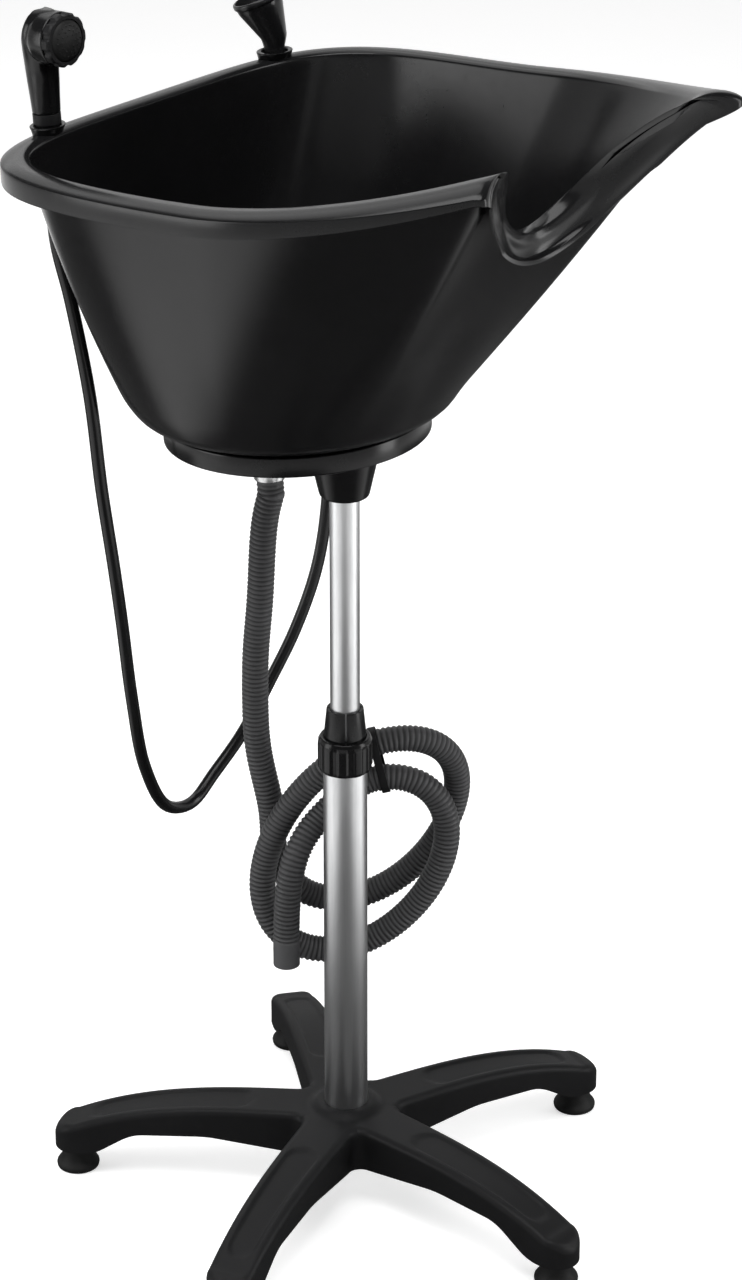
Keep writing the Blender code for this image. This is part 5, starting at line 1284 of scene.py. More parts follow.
def leg_sector(plan, sizes):
    """A fifth of the base as one open sheet; its neighbours close it."""
    shape = bmesh.new()
    edge = sizes.leg_edge_round
    falls = [1.0 - math.sin(0.5 * math.pi * step / 6) for step in range(7)]
    rounding = [1.0 - (edge / (0.5 * LEG_ROOT_WIDTH)) * fall for fall in falls]
    shares = [share for share in LEG_TOP_SHARES if share < rounding[0] - 0.01] + rounding
    tops = [-share for share in reversed(shares[1:])] + shares
    top_rows, wall_rows, under_rows, reaches = [], [], [], plan.rows()
    for reach in reaches:
        half = plan.half_width(reach)
        across = [half * share for share in tops]
        top_rows.append([Vector((reach, y, base_top(plan, reach, y, sizes))) for y in across])
        bottom = leg_bottom(min(reach, FOOT_CIRCLE_RADIUS))
        brink = base_top(plan, reach, half, sizes)
        levels = [mix(brink, bottom, step / 5) for step in range(6)]
        wall_rows.append([[Vector((reach, y, z)) for z in levels] for y in (-half, half)])
        lip = max(half - BASE_WALL, 0.0)
        nearly = max(lip - WALL_FOOT_STEP, 0.0)
        spots = [half, lip] + [nearly * y for y in (1.0, 0.66, 0.33, 0.0)]
        unders = []
        for y in spots:
            height = base_roof(reach, y, half) if half > 0.0 else bottom
            unders.append((y, height if reach <= FOOT_CIRCLE_RADIUS else bottom))
        row = [Vector((reach, -y, z)) for y, z in unders[:-1]]
        row += [Vector((reach, y, z)) for y, z in reversed(unders)]
        under_rows.append(row)
    grid(shape, top_rows)
    grid(shape, under_rows)
    walled = [index for index, reach in enumerate(reaches) if reach >= plan.start - 1e-9]
    for side in (0, 1):
        grid(shape, [wall_rows[index][side] for index in walled])
    return shape


def grid(shape, rows):
    made = [[shape.verts.new(point) for point in row] for row in rows]
    for low, high in zip(made, made[1:]):
        for index in range(len(low) - 1):
            shape.faces.new((low[index], low[index + 1], high[index + 1], high[index]))


def build_base(sizes, finish, rubber):
    plan = LegPlan(sizes.web_round)
    shape = around(LEG_COUNT, lambda: leg_sector(plan, sizes), -0.5 * math.pi)
    bmesh.ops.remove_doubles(shape, verts=shape.verts, dist=MERGE_DISTANCE)
    bmesh.ops.dissolve_degenerate(shape, edges=shape.edges, dist=0.5 * MERGE_DISTANCE)
    place = Matrix.Translation(COLUMN_AXIS)
    piece("leg_star", shape, place, "stand", ["star_base"], finish, 50.0)
    top = LEG_TIP_BOTTOM - SEAT_GAP
    profile = (
        (0.0, 0.0, 0.0),
        (GLIDE_RADIUS - 0.001, 0.0, 0.0008),
        (GLIDE_RADIUS, 0.18 * GLIDE_HEIGHT, 0.002),
        (mix(GLIDE_NECK_RADIUS, GLIDE_RADIUS, 0.35), 0.44 * top, 0.004),
        (GLIDE_NECK_RADIUS, 0.80 * top, 0.003),
        (GLIDE_NECK_RADIUS, top, 0.0),
        (0.0, top, 0.0),
    )
    glide = turned(profile, 40, closed=False)
    foot = Matrix.Translation((FOOT_CIRCLE_RADIUS, 0.0, 0.0))
    glide.transform(place @ (Matrix.Rotation(-0.5 * math.pi, 4, "Z") @ foot))
    glides = repeated("floor_glides", glide, LEG_COUNT, COLUMN_AXIS, UP, rubber)
    names = [f"glide_{step + 1}" for step in range(LEG_COUNT)]
    settle(glides, "stand", names)


# Column and height lock


def build_column(sizes, finish):
    place = Matrix.Translation(COLUMN_AXIS)
    seat = HUB_TOP - TUBE_SEAT_DEPTH + SEAT_GAP
    inner = LOWER_TUBE_RADIUS - LOWER_TUBE_WALL
    edge = sizes.tube_edge_round
    lower = (
        (LOWER_TUBE_RADIUS, seat, edge),
        (LOWER_TUBE_RADIUS, LOWER_TUBE_TOP, edge),
        (inner, LOWER_TUBE_TOP, edge),
        (inner, seat, edge),
    )
    shape = turned(lower, 96)
    piece("lower_column_tube", shape, place, "stand", ["lower_tube"], finish)
    low = LOWER_TUBE_TOP - UPPER_TUBE_INSERTION
    high = plate_height(UPPER_TUBE_RADIUS, RING_HEIGHT - RING_PLATE) - 2.0 * SEAT_GAP
    within = UPPER_TUBE_RADIUS - UPPER_TUBE_WALL
    upper = (
        (UPPER_TUBE_RADIUS, low, edge),
        (UPPER_TUBE_RADIUS, high, edge),
        (within, high, edge),
        (within, low, edge),
    )
    shape = turned(upper, 96)
    piece("upper_column_tube", shape, place, "riser", ["upper_tube"], finish)


def build_lock(sizes, finish):
    """Fluted twist nut, and above it the slit collet that it closes on the upper tube."""
    place = Matrix.Translation(COLUMN_AXIS)
    inner = LOWER_TUBE_RADIUS - LOWER_TUBE_WALL
    bore = UPPER_TUBE_RADIUS + SEAT_GAP
    skirt = inner - SEAT_GAP
    seat = LOWER_TUBE_TOP + SEAT_GAP
    shoulder = LOCK_SHOULDER - LOCK_LIP_HEIGHT - SEAT_GAP
    profile = (
        (bore, LOWER_TUBE_TOP - COLLET_DEPTH, 0.0004),
        (skirt, LOWER_TUBE_TOP - COLLET_DEPTH, 0.0004),
        (skirt, seat, 0.0),
        (LOWER_TUBE_RADIUS, seat, 0.0),
        (LOWER_TUBE_RADIUS, shoulder, 0.0),
        (COLLET_ROOT_RADIUS, shoulder, 0.0),
        (COLLET_ROOT_RADIUS, LOCK_SHOULDER + 0.002, 0.003),
        (COLLET_TIP_RADIUS, COLLET_TOP, sizes.collet_edge_round),
        (bore, COLLET_TOP, sizes.collet_edge_round),
    )
    collet = plain_object("collet_start", outward(turned(profile, 96)))
    half_slit = 0.5 * COLLET_SLIT_WIDTH

    def slit():
        high = COLLET_TOP + COLLET_SLIT_WIDTH
        return block((0.5 * bore, -half_slit, LOCK_SHOULDER), (LOWER_TUBE_RADIUS, half_slit, high))

    slits = around(COLLET_SLIT_COUNT, slit, math.pi / COLLET_SLIT_COUNT)
    made = cut("collet_sleeve", collet, [("DIFFERENCE", slits)])
    made.data.transform(place)
    settle(made, "stand", ["clamp_collet"], finish)

    height = LOCK_SHOULDER - LOCK_BOTTOM
    nut_bore = LOWER_TUBE_RADIUS + 2.0 * SEAT_GAP
    mouth = COLLET_ROOT_RADIUS + SEAT_GAP
    lip_low = height - LOCK_LIP_HEIGHT
    depth = sizes.flute_depth
    line = (
        ((LOCK_RADIUS - depth, 0.0, 0.2), 0.001),
        ((LOCK_RADIUS, 0.10 * height, 1.0), 0.0015),
        ((LOCK_RADIUS, lip_low - 0.001, 1.0), 0.0015),
        ((LOCK_RADIUS - 0.3 * depth, mix(lip_low, height, 0.45), 0.0), 0.0015),
        ((mix(LOCK_RADIUS, mouth, 0.45), height, 0.0), 0.001),
        ((mouth, height, 0.0), 0.0004),
        ((mouth, lip_low, 0.0), 0.0),
        ((nut_bore, lip_low, 0.0), 0.0),
        ((nut_bore, 0.0, 0.0), 0.0004),
    )
    rows = softened(line, True, 3)
    shape = lobed(rows, LOCK_FLUTE_COUNT, 24, depth, (0.35, 0.9), LOCK_BOTTOM)
    piece("twist_nut", shape, place, "lock", ["lock_nut"], finish)


# Drain


def build_drain(steel, satin, rubber):
    """Drain flange, strainer, gasket, back nut and tail piece about the drain's own axis."""
    place = BASIN_FRAME @ Matrix.Translation((0.0, DRAIN_OFFSET, 0.0))
    floor = RING_HEIGHT + BOWL_WALL + 2.0 * SEAT_GAP
    tube_inner = DRAIN_TUBE_RADIUS - DRAIN_TUBE_WALL
    under = RING_HEIGHT - RING_PLATE
    gasket_low = under - GASKET_THICKNESS
    nut_top = gasket_low - SEAT_GAP
    nut_low = nut_top - BACK_NUT_HEIGHT
    tube_low = nut_low - DRAIN_TUBE_RADIUS
    top = floor + DRAIN_FLANGE_THICKNESS
    lip = top - 0.5 * DRAIN_FLANGE_THICKNESS
    profile = (
        (DRAIN_TUBE_RADIUS, tube_low, 0.0),
        (DRAIN_TUBE_RADIUS, floor, 0.0),
        (DRAIN_FLANGE_RADIUS, floor, 0.0004),
        (DRAIN_FLANGE_RADIUS, floor + 0.4 * DRAIN_FLANGE_THICKNESS, 0.0012),
        (DRAIN_FLANGE_RADIUS - 0.003, top, 0.002),
        (STRAINER_RADIUS + SEAT_GAP, top, 0.0004),
        (STRAINER_RADIUS + SEAT_GAP, lip, 0.0),
        (tube_inner, lip, 0.0004),
        (tube_inner, tube_low, 0.0),
    )
    shape = turned(profile, 80)
    piece("drain_ring", shape, place, "riser", ["drain_flange"], steel)
    bore = DRAIN_TUBE_RADIUS + SEAT_GAP
    flat = BACK_NUT_RADIUS * math.cos(math.pi / 6.0)
    gasket = (
        (bore, gasket_low, 0.0),
        (flat, gasket_low, 0.0004),
        (flat, under, 0.0004),
        (bore, under, 0.0),
    )
    piece("drain_seal", turned(gasket, 64), place, "riser", ["drain_gasket"], rubber)

    profile = (
        (bore, nut_low, 0.0004),
        (BACK_NUT_RADIUS, nut_low, 0.0022),
        (BACK_NUT_RADIUS, nut_top, 0.0012),
        (bore, nut_top, 0.0),
    )
    nut = plain_object("nut_start", outward(turned(profile, 96)))

    def flat_cut():
        reach = 2.0 * BACK_NUT_RADIUS
        return block((flat, -reach, nut_low - CUT_REACH), (reach, reach, nut_top + CUT_REACH))

    turns = [(side + 0.5) * math.pi / 3.0 for side in range(6)]
    tools = [("DIFFERENCE", around(1, flat_cut, turn)) for turn in turns]
    made = cut("drain_back_nut", nut, tools)
    made.data.transform(place)
    settle(made, "riser", ["drain_nut"], satin)

    cup_top = nut_low - SEAT_GAP
    shoulder = -HOSE_START_DROP + SEAT_GAP
    spigot_low = shoulder - SPIGOT_LENGTH
    profile = (
        (bore, cup_top, 0.0003),
        (TAIL_CUP_RADIUS, cup_top, 0.001),
        (TAIL_CUP_RADIUS, -TAIL_CUP_BOTTOM, 0.004),
        (HOSE_RADIUS, mix(-TAIL_CUP_BOTTOM, shoulder, 0.84), 0.003),
        (HOSE_RADIUS, shoulder, 0.0),
        (SPIGOT_RADIUS, shoulder, 0.0),
        (SPIGOT_RADIUS, spigot_low, 0.0),
        (SPIGOT_BORE_RADIUS, spigot_low, 0.0),
        (SPIGOT_BORE_RADIUS, mix(-TAIL_CUP_BOTTOM, shoulder, 0.7), 0.0),
        (bore - DRAIN_TUBE_WALL, tube_low - SEAT_GAP, 0.0),
        (bore, tube_low - SEAT_GAP, 0.0),
    )
    shape = turned(profile, 80)
    piece("drain_tail_cup", shape, place, "riser", ["drain_tail"], satin)

    seat = place @ Matrix.Translation((0.0, 0.0, lip + SEAT_GAP))
    cup = STRAINER_CUP_RADIUS
    profile = (
        (0.0, -STRAINER_DEPTH, 0.0),
        (cup - DRAIN_TUBE_WALL, -STRAINER_DEPTH, 0.002),
        (cup, -0.7 * STRAINER_DEPTH, 0.001),
        (cup, 0.0, 0.0),
        (STRAINER_RADIUS, 0.0, 0.0),
        (STRAINER_RADIUS, 0.0009, 0.0006),
        (0.86 * cup, 0.0004, 0.002),
        (0.80 * cup, -0.5 * STRAINER_DEPTH, 0.002),
        (0.30 * cup, -0.72 * STRAINER_DEPTH, 0.002),
        (0.12 * cup, -0.45 * STRAINER_DEPTH, 0.001),
        (0.0, -0.42 * STRAINER_DEPTH, 0.0),
    )
    strainer = plain_object("strainer_start", outward(turned(profile, 96, closed=False)))

    def hole():
        shape = rod(STRAINER_HOLE_RADIUS, -2.0 * STRAINER_DEPTH, STRAINER_DEPTH, 24)
        shape.transform(Matrix.Translation((0.55 * cup, 0.0, 0.0)))
        return shape

    made = cut("drain_basket", strainer, [("DIFFERENCE", around(STRAINER_HOLE_COUNT, hole))])
    made.data.transform(seat)
    settle(made, "strainer", ["drain_strainer"], steel)


# Drain hose, its clip and its tie


def build_drain_hose(sizes, finish, steel, satin):
    route = drain_hose_route()
    length = route_length(route)
    line = bmesh.new()
    spots = [line.verts.new(point) for point in route]
    for low, high in zip(spots, spots[1:]):
        line.edges.new((low, high))
    rule = Rule(
        "ribbed_hose_rule",
        radius=HOSE_RADIUS,
        rib_pitch=sizes.hose_rib_pitch,
        rib_depth=sizes.hose_rib_depth,
        first_cuff=HOSE_PLAIN_LENGTH,
        last_cuff=2.0 * HOSE_RADIUS,
        finish=finish,
    )
    inputs = rule.inputs
    curve = rule.add("GeometryNodeMeshToCurve", None, {"Mesh": rule.source})
    fine = rule.add(
        "GeometryNodeResampleCurve",
        {"mode": "LENGTH"},
        {"Curve": curve, "Length": inputs["rib_pitch"] / 6.0},
    )
    spot = rule.add("GeometryNodeSplineParameter", None, (), 1)
    whole = rule.add("GeometryNodeSplineLength")
    wave = rule.math("SINE", spot * (2.0 * math.pi) / inputs["rib_pitch"]) * 0.5 + 0.5
    start = spot.over(inputs["first_cuff"], inputs["first_cuff"] + inputs["rib_pitch"])
    end = (whole - spot).over(inputs["last_cuff"], inputs["last_cuff"] + inputs["rib_pitch"])
    # Share of a rib's valley: it shapes the ribs, and the finish also darkens it as painted shade
    # and dirt
    valley = (1.0 - wave) ** 1.6 * start * end
    marked = rule.add(
        "GeometryNodeStoreNamedAttribute",
        {"data_type": "FLOAT", "domain": "POINT"},
        {"Geometry": fine, "Name": "valley", "Value": valley},
    )
    measured = rule.add(
        "GeometryNodeStoreNamedAttribute",
        {"data_type": "FLOAT", "domain": "POINT"},
        {"Geometry": marked, "Name": "along", "Value": spot},
    )
    width = inputs["radius"] - inputs["rib_depth"] * valley
    circle_curve = rule.add(
        "GeometryNodeCurvePrimitiveCircle", None, {"Resolution": 24, "Radius": 1.0}
    )
    values = {"Curve": measured, "Profile Curve": circle_curve, "Scale": width, "Fill Caps": True}
    rule.close(rule.add("GeometryNodeCurveToMesh", None, values))
    hose = rule.run("drain_hose_ribbed", line)
    hollow_end(hose, route)
    settle(hose, None, ["drain_hose"], finish, 60.0)
    clip = build_clip(steel)
    tie = build_tie(route, satin)
    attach(hose, "riser")
    tuple(route[0])
    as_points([tuple(point) for point in route[::5]] + [tuple(route[-1])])


def hollow_end(hose, route):
    """Sink a bore into the hose's free end."""
    shape = bmesh.new()
    shape.from_mesh(hose.data)
    bmesh.ops.remove_doubles(shape, verts=shape.verts, dist=MERGE_DISTANCE)
    end = route[-1]
    caps = [face for face in shape.faces if len(face.verts) > 4]
    cap = min(caps, key=lambda face: (face.calc_center_median() - end).length)
    run = (route[-2] - route[-1]).normalized()
    wall = HOSE_RADIUS - HOSE_BORE_RADIUS
    bmesh.ops.inset_individual(shape, faces=[cap], thickness=wall, use_even_offset=True)
    for _ in range(3):
        made = bmesh.ops.extrude_discrete_faces(shape, faces=[cap])
        cap = made["faces"][0]
        bmesh.ops.translate(shape, vec=run * (HOSE_BORE_DEPTH / 3.0), verts=cap.verts)
    bmesh.ops.recalc_face_normals(shape, faces=shape.faces)
    shape.to_mesh(hose.data)
    shape.free()


def build_clip(steel):
    """Band round the hose's cuff, with two ears and the screw that draws them together."""
    inner = HOSE_RADIUS + 1.5 * SEAT_GAP
    outer = inner + CLIP_THICKNESS
    low = -HOSE_START_DROP - 1.05 * CLIP_WIDTH
    high = low + CLIP_WIDTH
    edge = 0.3 * CLIP_THICKNESS
    corners = ((inner, low), (outer, low), (outer, high), (inner, high))
    band = turned([(*corner, edge) for corner in corners], 64)
    made = plain_object("clip_start", outward(band))
    half = CLIP_THICKNESS
    ear = block(
        (inner + 0.4 * CLIP_THICKNESS, -half, low + 0.1 * CLIP_WIDTH),
        (outer + CLIP_EAR_LENGTH, half, high - 0.1 * CLIP_WIDTH),
    )
    gap = block(
        (inner - CLIP_THICKNESS, -0.18 * half, low - CLIP_WIDTH),
        (outer + 2.0 * CLIP_EAR_LENGTH, 0.18 * half, high + CLIP_WIDTH),
    )
    screw = rod(0.22 * CLIP_WIDTH, -2.2 * half, 2.2 * half, 24)
    middle = Vector((outer + 0.6 * CLIP_EAR_LENGTH, 0.0, 0.5 * (low + high)))
    screw.transform(Matrix.Translation(middle) @ Matrix.Rotation(0.5 * math.pi, 4, "X"))
    tools = [("UNION", ear), ("DIFFERENCE", gap), ("UNION", screw)]
    made = cut("hose_clip_band", made, tools)
    turn = Matrix.Rotation(math.radians(HOSE_PLANE_TURN), 4, "Z")
    made.data.transform(BASIN_FRAME @ Matrix.Translation((0.0, DRAIN_OFFSET, 0.0)) @ turn)
    return settle(made, "riser", ["hose_clip"], steel)


def build_tie(route, satin):
    """Flat band round the coil's two upper strands, just beside the height lock."""
    turn = math.radians(HOSE_PLANE_TURN)
    axis = Vector((math.cos(turn), math.sin(turn), 0.0))
    crossings = []
    for before, after in zip(route, route[1:]):
        low, high = sorted(((before - COLUMN_AXIS).dot(axis), (after - COLUMN_AXIS).dot(axis)))
        if low <= TIE_ALONG < high and before.z > COIL_CENTRE[1]:
            run = after - before
            share = (TIE_ALONG - (before - COLUMN_AXIS).dot(axis)) / run.dot(axis)
            crossings.append((before.lerp(after, share), run.normalized()))
    (upper, upper_run), (lower, lower_run) = crossings[:2]
    run = upper_run + (lower_run if lower_run.dot(upper_run) > 0.0 else -lower_run)
    run.normalize()
    rise = (upper - lower) - (upper - lower).dot(run) * run
    half = 0.5 * rise.length
    rise.normalize()
    across = run.cross(rise)
    centre = 0.5 * (upper + lower)
    inner = HOSE_RADIUS + TIE_SLACK
    outer = inner + TIE_THICKNESS
    side = 0.5 * TIE_WIDTH
    edge = 0.3 * TIE_THICKNESS
    corners = ((inner, -side), (outer, -side), (outer, side), (inner, side))
    section = softened([(corner, edge) for corner in corners], True, 2)
    rings = []
    for step in range(48):
        angle = 2.0 * math.pi * (step + 0.5) / 48
        shift = rise * half * (1.0 if math.sin(angle) > 0.0 else -1.0)
        way = across * math.cos(angle) + rise * math.sin(angle)
        rings.append([centre + shift + way * point.x + run * point.y for point in section])
    shape = skin(rings, closed=True)
    return piece("coil_tie", shape, IDENTITY, "riser", ["hose_tie"], satin)


# Shower hose and the holders on the rim


def build_shower_hose(finish):
    route = shower_hose_route(240)
    shape = tube(route, SHOWER_HOSE_RADIUS, 24)
    hose = piece(
        "shower_hose_line", shape, IDENTITY, None, ["shower_hose"], finish, 60.0
    )
    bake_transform(hose)
    round(route_length(route), 3)


def holder_place(side):
    """Middle of a hose holder on the flange, in the basin's frame, at the crest's height."""
    across = HANDSET_ACROSS if side < 0.0 else CONNECTOR_ACROSS
    step = 0.01 * RIM_HALF_WIDTH
    slope = (back_depth(across + step) - back_depth(across - step)) / (2.0 * step)
    out = Vector((-slope, 1.0)).normalized()
    inset = 0.5 * FLANGE_WIDTH
    depth = back_depth(across) + out.y * inset
    return side * (across + out.x * inset), depth, RIM_HEIGHT + RIM_CREST


def holder_frame(side):
    """Frame on the flange's crest with Y outwards from the bowl."""
    across = HANDSET_ACROSS if side < 0.0 else CONNECTOR_ACROSS
    place = Vector(holder_place(side))
    out = Vector((place.x - side * across, place.y - back_depth(across), 0.0)).normalized()
    turn = math.atan2(out.y, out.x) - 0.5 * math.pi
    return Matrix.Translation(place) @ Matrix.Rotation(turn, 4, "Z")


def build_holder(name, node, side, sizes, finish):
    """Oval socket on the flange whose foot follows the flange's own surface."""
    frame = BASIN_FRAME @ holder_frame(side)
    foot, top = HOLDER_FOOT_SHARE, HOLDER_TOP_SHARE
    floor = HOLDER_HEIGHT - HOLDER_CUP_DEPTH
    edge = sizes.holder_edge_round
    bowl = surface_of("bowl")
    rings = [
        circle(HOLDER_BORE_RADIUS, -HOLDER_STEM_LENGTH),
        circle(HOLDER_STEM_RADIUS, -HOLDER_STEM_LENGTH),
        circle(HOLDER_STEM_RADIUS, -0.1 * HOLDER_STEM_LENGTH),
    ]
    for share in (0.62, 0.78, 0.9, 1.0):
        ring = circle(HOLDER_RADIUS * share, 0.0, stretch=mix(0.85, foot, share * share))
        rings.append([lowered(bowl, frame, point) for point in ring])
    outline = [
        (circle(1.02 * HOLDER_RADIUS, 0.45 * COLLAR_HEIGHT, stretch=mix(foot, top, 0.5)), 0.001),
        (circle(1.06 * HOLDER_RADIUS, COLLAR_HEIGHT, stretch=top), edge),
        (circle(HOLDER_CUP_RADIUS, COLLAR_HEIGHT), edge),
        (circle(HOLDER_CUP_RADIUS, floor), 0.0004),
        (circle(HOLDER_BORE_RADIUS, floor), 0.0),
    ]
    columns = [softened([(ring[k], r) for ring, r in outline]) for k in range(64)]
    rings += [list(ring) for ring in zip(*columns)]
    shape = skin(rings, closed=True)
    piece(name, shape, frame, "riser", [node], finish)


def surface_of(node):
    """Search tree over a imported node's own faces."""
    made = frame["nodes"][node]
    mesh = made.data
    spots = [made.matrix_world @ vertex.co for vertex in mesh.vertices]
    return BVHTree.FromPolygons(spots, [tuple(face.vertices) for face in mesh.polygons])


def lowered(bowl, place, point):
    """The point lowered onto the bowl's rim, in the place's own frame, with a small gap."""
    start = place @ (point + UP * HOLDER_HEIGHT)
    down = place.to_3x3() @ -UP
    hit = bowl.ray_cast(start, down)[0]
    low = (place.inverted() @ hit).z if hit else 0.0
    return Vector((point.x, point.y, max(low, -FLANGE_WALL) + 1.4 * SEAT_GAP))


# Handset


def oval_section(half, front, back, height, fullness, segments=64):
    ring = []
    for step in range(segments):
        angle = 2.0 * math.pi * step / segments
        x, y = math.cos(angle), math.sin(angle)
        power = 2.0 / fullness
        across = half * math.copysign(abs(x) ** power, x)
        reach = back if y > 0.0 else front
        ring.append(Vector((across, reach * math.copysign(abs(y) ** power, y), height)))
    return ring


def build_handset(sizes, gloss, satin, rubber):
    place = BASIN_FRAME @ Matrix.Translation(Vector(holder_place(-1.0)))
    nut_low = HOLDER_HEIGHT - HOLDER_CUP_DEPTH + SEAT_GAP
    nut_top = nut_low + NUT_HEIGHT
    bore = SHOWER_HOSE_RADIUS + SEAT_GAP
    collar_clear = COLLAR_HEIGHT + 2.0 * SEAT_GAP
    nut_flare = 0.5 * HANDLE_NECK_WIDTH - SEAT_GAP
    profile = (
        (bore, nut_low, 0.0),
        (NUT_RADIUS - 0.0018, nut_low, 0.0006),
        (NUT_RADIUS, nut_low + 0.0010, 0.0006),
        (NUT_RADIUS, collar_clear, 0.0004),
        (nut_flare, collar_clear + 0.0006, 0.0006),
        (nut_flare, nut_top, 0.0003),
        (bore, nut_top, 0.0),
    )
    nut = turned(profile, 72)
    piece("hose_nut", nut, place, "handset", ["handset_nut"], satin)
    head = HANDSET_HEAD_HEIGHT
    radius = HANDSET_HEAD_RADIUS
    half = 0.5 * HANDLE_WIDTH
    neck = 0.5 * HANDLE_NECK_WIDTH
    deep = 0.5 * HANDLE_DEPTH
    foot = nut_top + SEAT_GAP
    sections = np.array(
        (
            (0.98 * neck, 0.98 * neck, 0.98 * neck, foot, 2.0),
            (neck, neck, neck, mix(foot, head, 0.08), 2.0),
            (1.01 * neck, neck, 1.02 * deep, mix(foot, head, 0.22), 2.15),
            (0.98 * half, neck, 1.08 * deep, mix(foot, head, 0.42), 2.4),
            (half, neck, 1.14 * deep, mix(foot, head, 0.58), 2.5),
            (1.12 * half, 1.15 * deep, 1.10 * deep, mix(foot, head, 0.72), 2.5),
            (1.30 * half, 1.60 * deep, 0.98 * deep, mix(foot, head, 0.86), 2.4),
            (1.46 * half, 1.80 * deep, 0.80 * deep, head, 2.3),
            (1.42 * half, 1.78 * deep, 0.58 * deep, head + 0.35 * radius, 2.2),
            (1.18 * half, 1.74 * deep, 0.28 * deep, head + 0.68 * radius, 2.1),
            (0.78 * half, 1.60 * deep, -0.10 * deep, head + 0.94 * radius, 2.0),
            (0.40 * half, 1.45 * deep, -0.35 * deep, head + 1.04 * radius, 2.0),
        )
    )
    heights = np.linspace(foot, head + 1.04 * radius, HANDSET_STATIONS)
    rows = [np.interp(heights, sections[:, 3], sections[:, k]) for k in range(5)]
    for row in rows[:3]:
        ease(row, 3)
    handle = skin([oval_section(*map(float, values)) for values in zip(*rows)])
    body = plain_object("handset_start", outward(handle))
    back = HANDSET_HEAD_DEPTH - HANDSET_FACE_OFFSET
    shell = turned(
        (
            (0.0, HANDSET_FACE_OFFSET, 0.0),
            (radius, HANDSET_FACE_OFFSET, 0.0008),
            (radius, 0.1 * HANDSET_FACE_OFFSET, 0.006),
            (0.93 * radius, -0.42 * back, 0.006),
            (0.66 * radius, -0.82 * back, 0.006),
            (0.30 * radius, -0.99 * back, 0.004),
            (0.0, -back, 0.0),
        ),
        96,
        closed=False,
    )
    centre = Matrix.Translation((0.0, -HANDSET_HEAD_FORWARD, head))
    towards_bowl = centre @ Matrix.Rotation(0.5 * math.pi, 4, "X")
    shell.transform(towards_bowl)
    joined = cut("handset_joined", body, [("UNION", shell)])
    remesh = joined.modifiers.new("even faces", "REMESH")
    remesh.mode = "VOXEL"
    remesh.voxel_size = sizes.handset_voxel
    seam = joined.modifiers.new("eased seam", "SMOOTH")
    seam.factor = 0.5
    seam.iterations = HANDSET_SEAM_PASSES
    made = applied("handset_grip", joined)
    made.data.transform(place)
    settle(made, "handset", ["handset_body"], gloss, 80.0)
    build_dial(sizes, place @ towards_bowl, satin, rubber)


def build_dial(sizes, place, satin, rubber):
    """Lobed ring that picks the spray, and the domed plate with its nozzles."""
    plate_back = HANDSET_FACE_OFFSET + SEAT_GAP
    front = plate_back + DIAL_THICKNESS
    inner = SPRAY_RADIUS + SEAT_GAP
    depth = sizes.lobe_depth
    line = (
        ((inner, plate_back, 0.0), 0.0),
        ((DIAL_RADIUS, plate_back, 1.0), 0.001),
        ((DIAL_RADIUS, front - 0.25 * DIAL_THICKNESS, 1.0), 0.0025),
        ((0.93 * DIAL_RADIUS, front, 0.4), 0.0015),
        ((inner, front, 0.0), 0.0006),
    )
    shape = lobed(softened(line, True, 4), sizes.lobe_count, 20, depth, (0.45, 1.0))
    piece("spray_dial_ring", shape, place, "dial", ["spray_dial"], satin)
    dome = SPRAY_DOME_RISE
    profile = (
        (0.0, plate_back, 0.0),
        (SPRAY_RADIUS, plate_back, 0.0),
        (SPRAY_RADIUS, front - 0.25 * dome, 0.001),
        (0.86 * SPRAY_RADIUS, front + 0.35 * dome, 0.003),
        (0.52 * SPRAY_RADIUS, front + 0.82 * dome, 0.004),
        (0.14 * SPRAY_RADIUS, front + dome, 0.002),
        (0.0, front + dome, 0.0),
    )
    plate = turned(profile, 80, closed=False)
    piece("spray_face", plate, place, "handset", ["spray_plate"], rubber)
    axis = place.to_3x3() @ UP
    for index, (share, count) in enumerate(NOZZLE_CIRCLES):
        out = share * SPRAY_RADIUS
        base = float(np.interp(share, (0.14, 0.52, 0.86), (1.0, 0.82, 0.35))) * dome + front
        tip = sizes.nozzle_rise
        cone = turned(
            (
                (0.0, base - NOZZLE_SUNK, 0.0),
                (NOZZLE_FOOT_RADIUS, base - NOZZLE_SUNK, 0.0),
                (NOZZLE_TIP_RADIUS, base + tip, 0.0002),
                (0.0, base + tip, 0.0),
            ),
            10,
            closed=False,
            steps=1,
        )
        cone.transform(place @ Matrix.Translation((out, 0.0, 0.0)))
        name = f"spray_nozzles_{index + 1}"
        nozzles = repeated(name, cone, count, place.translation, axis, rubber)
        settle(nozzles, "handset", [])


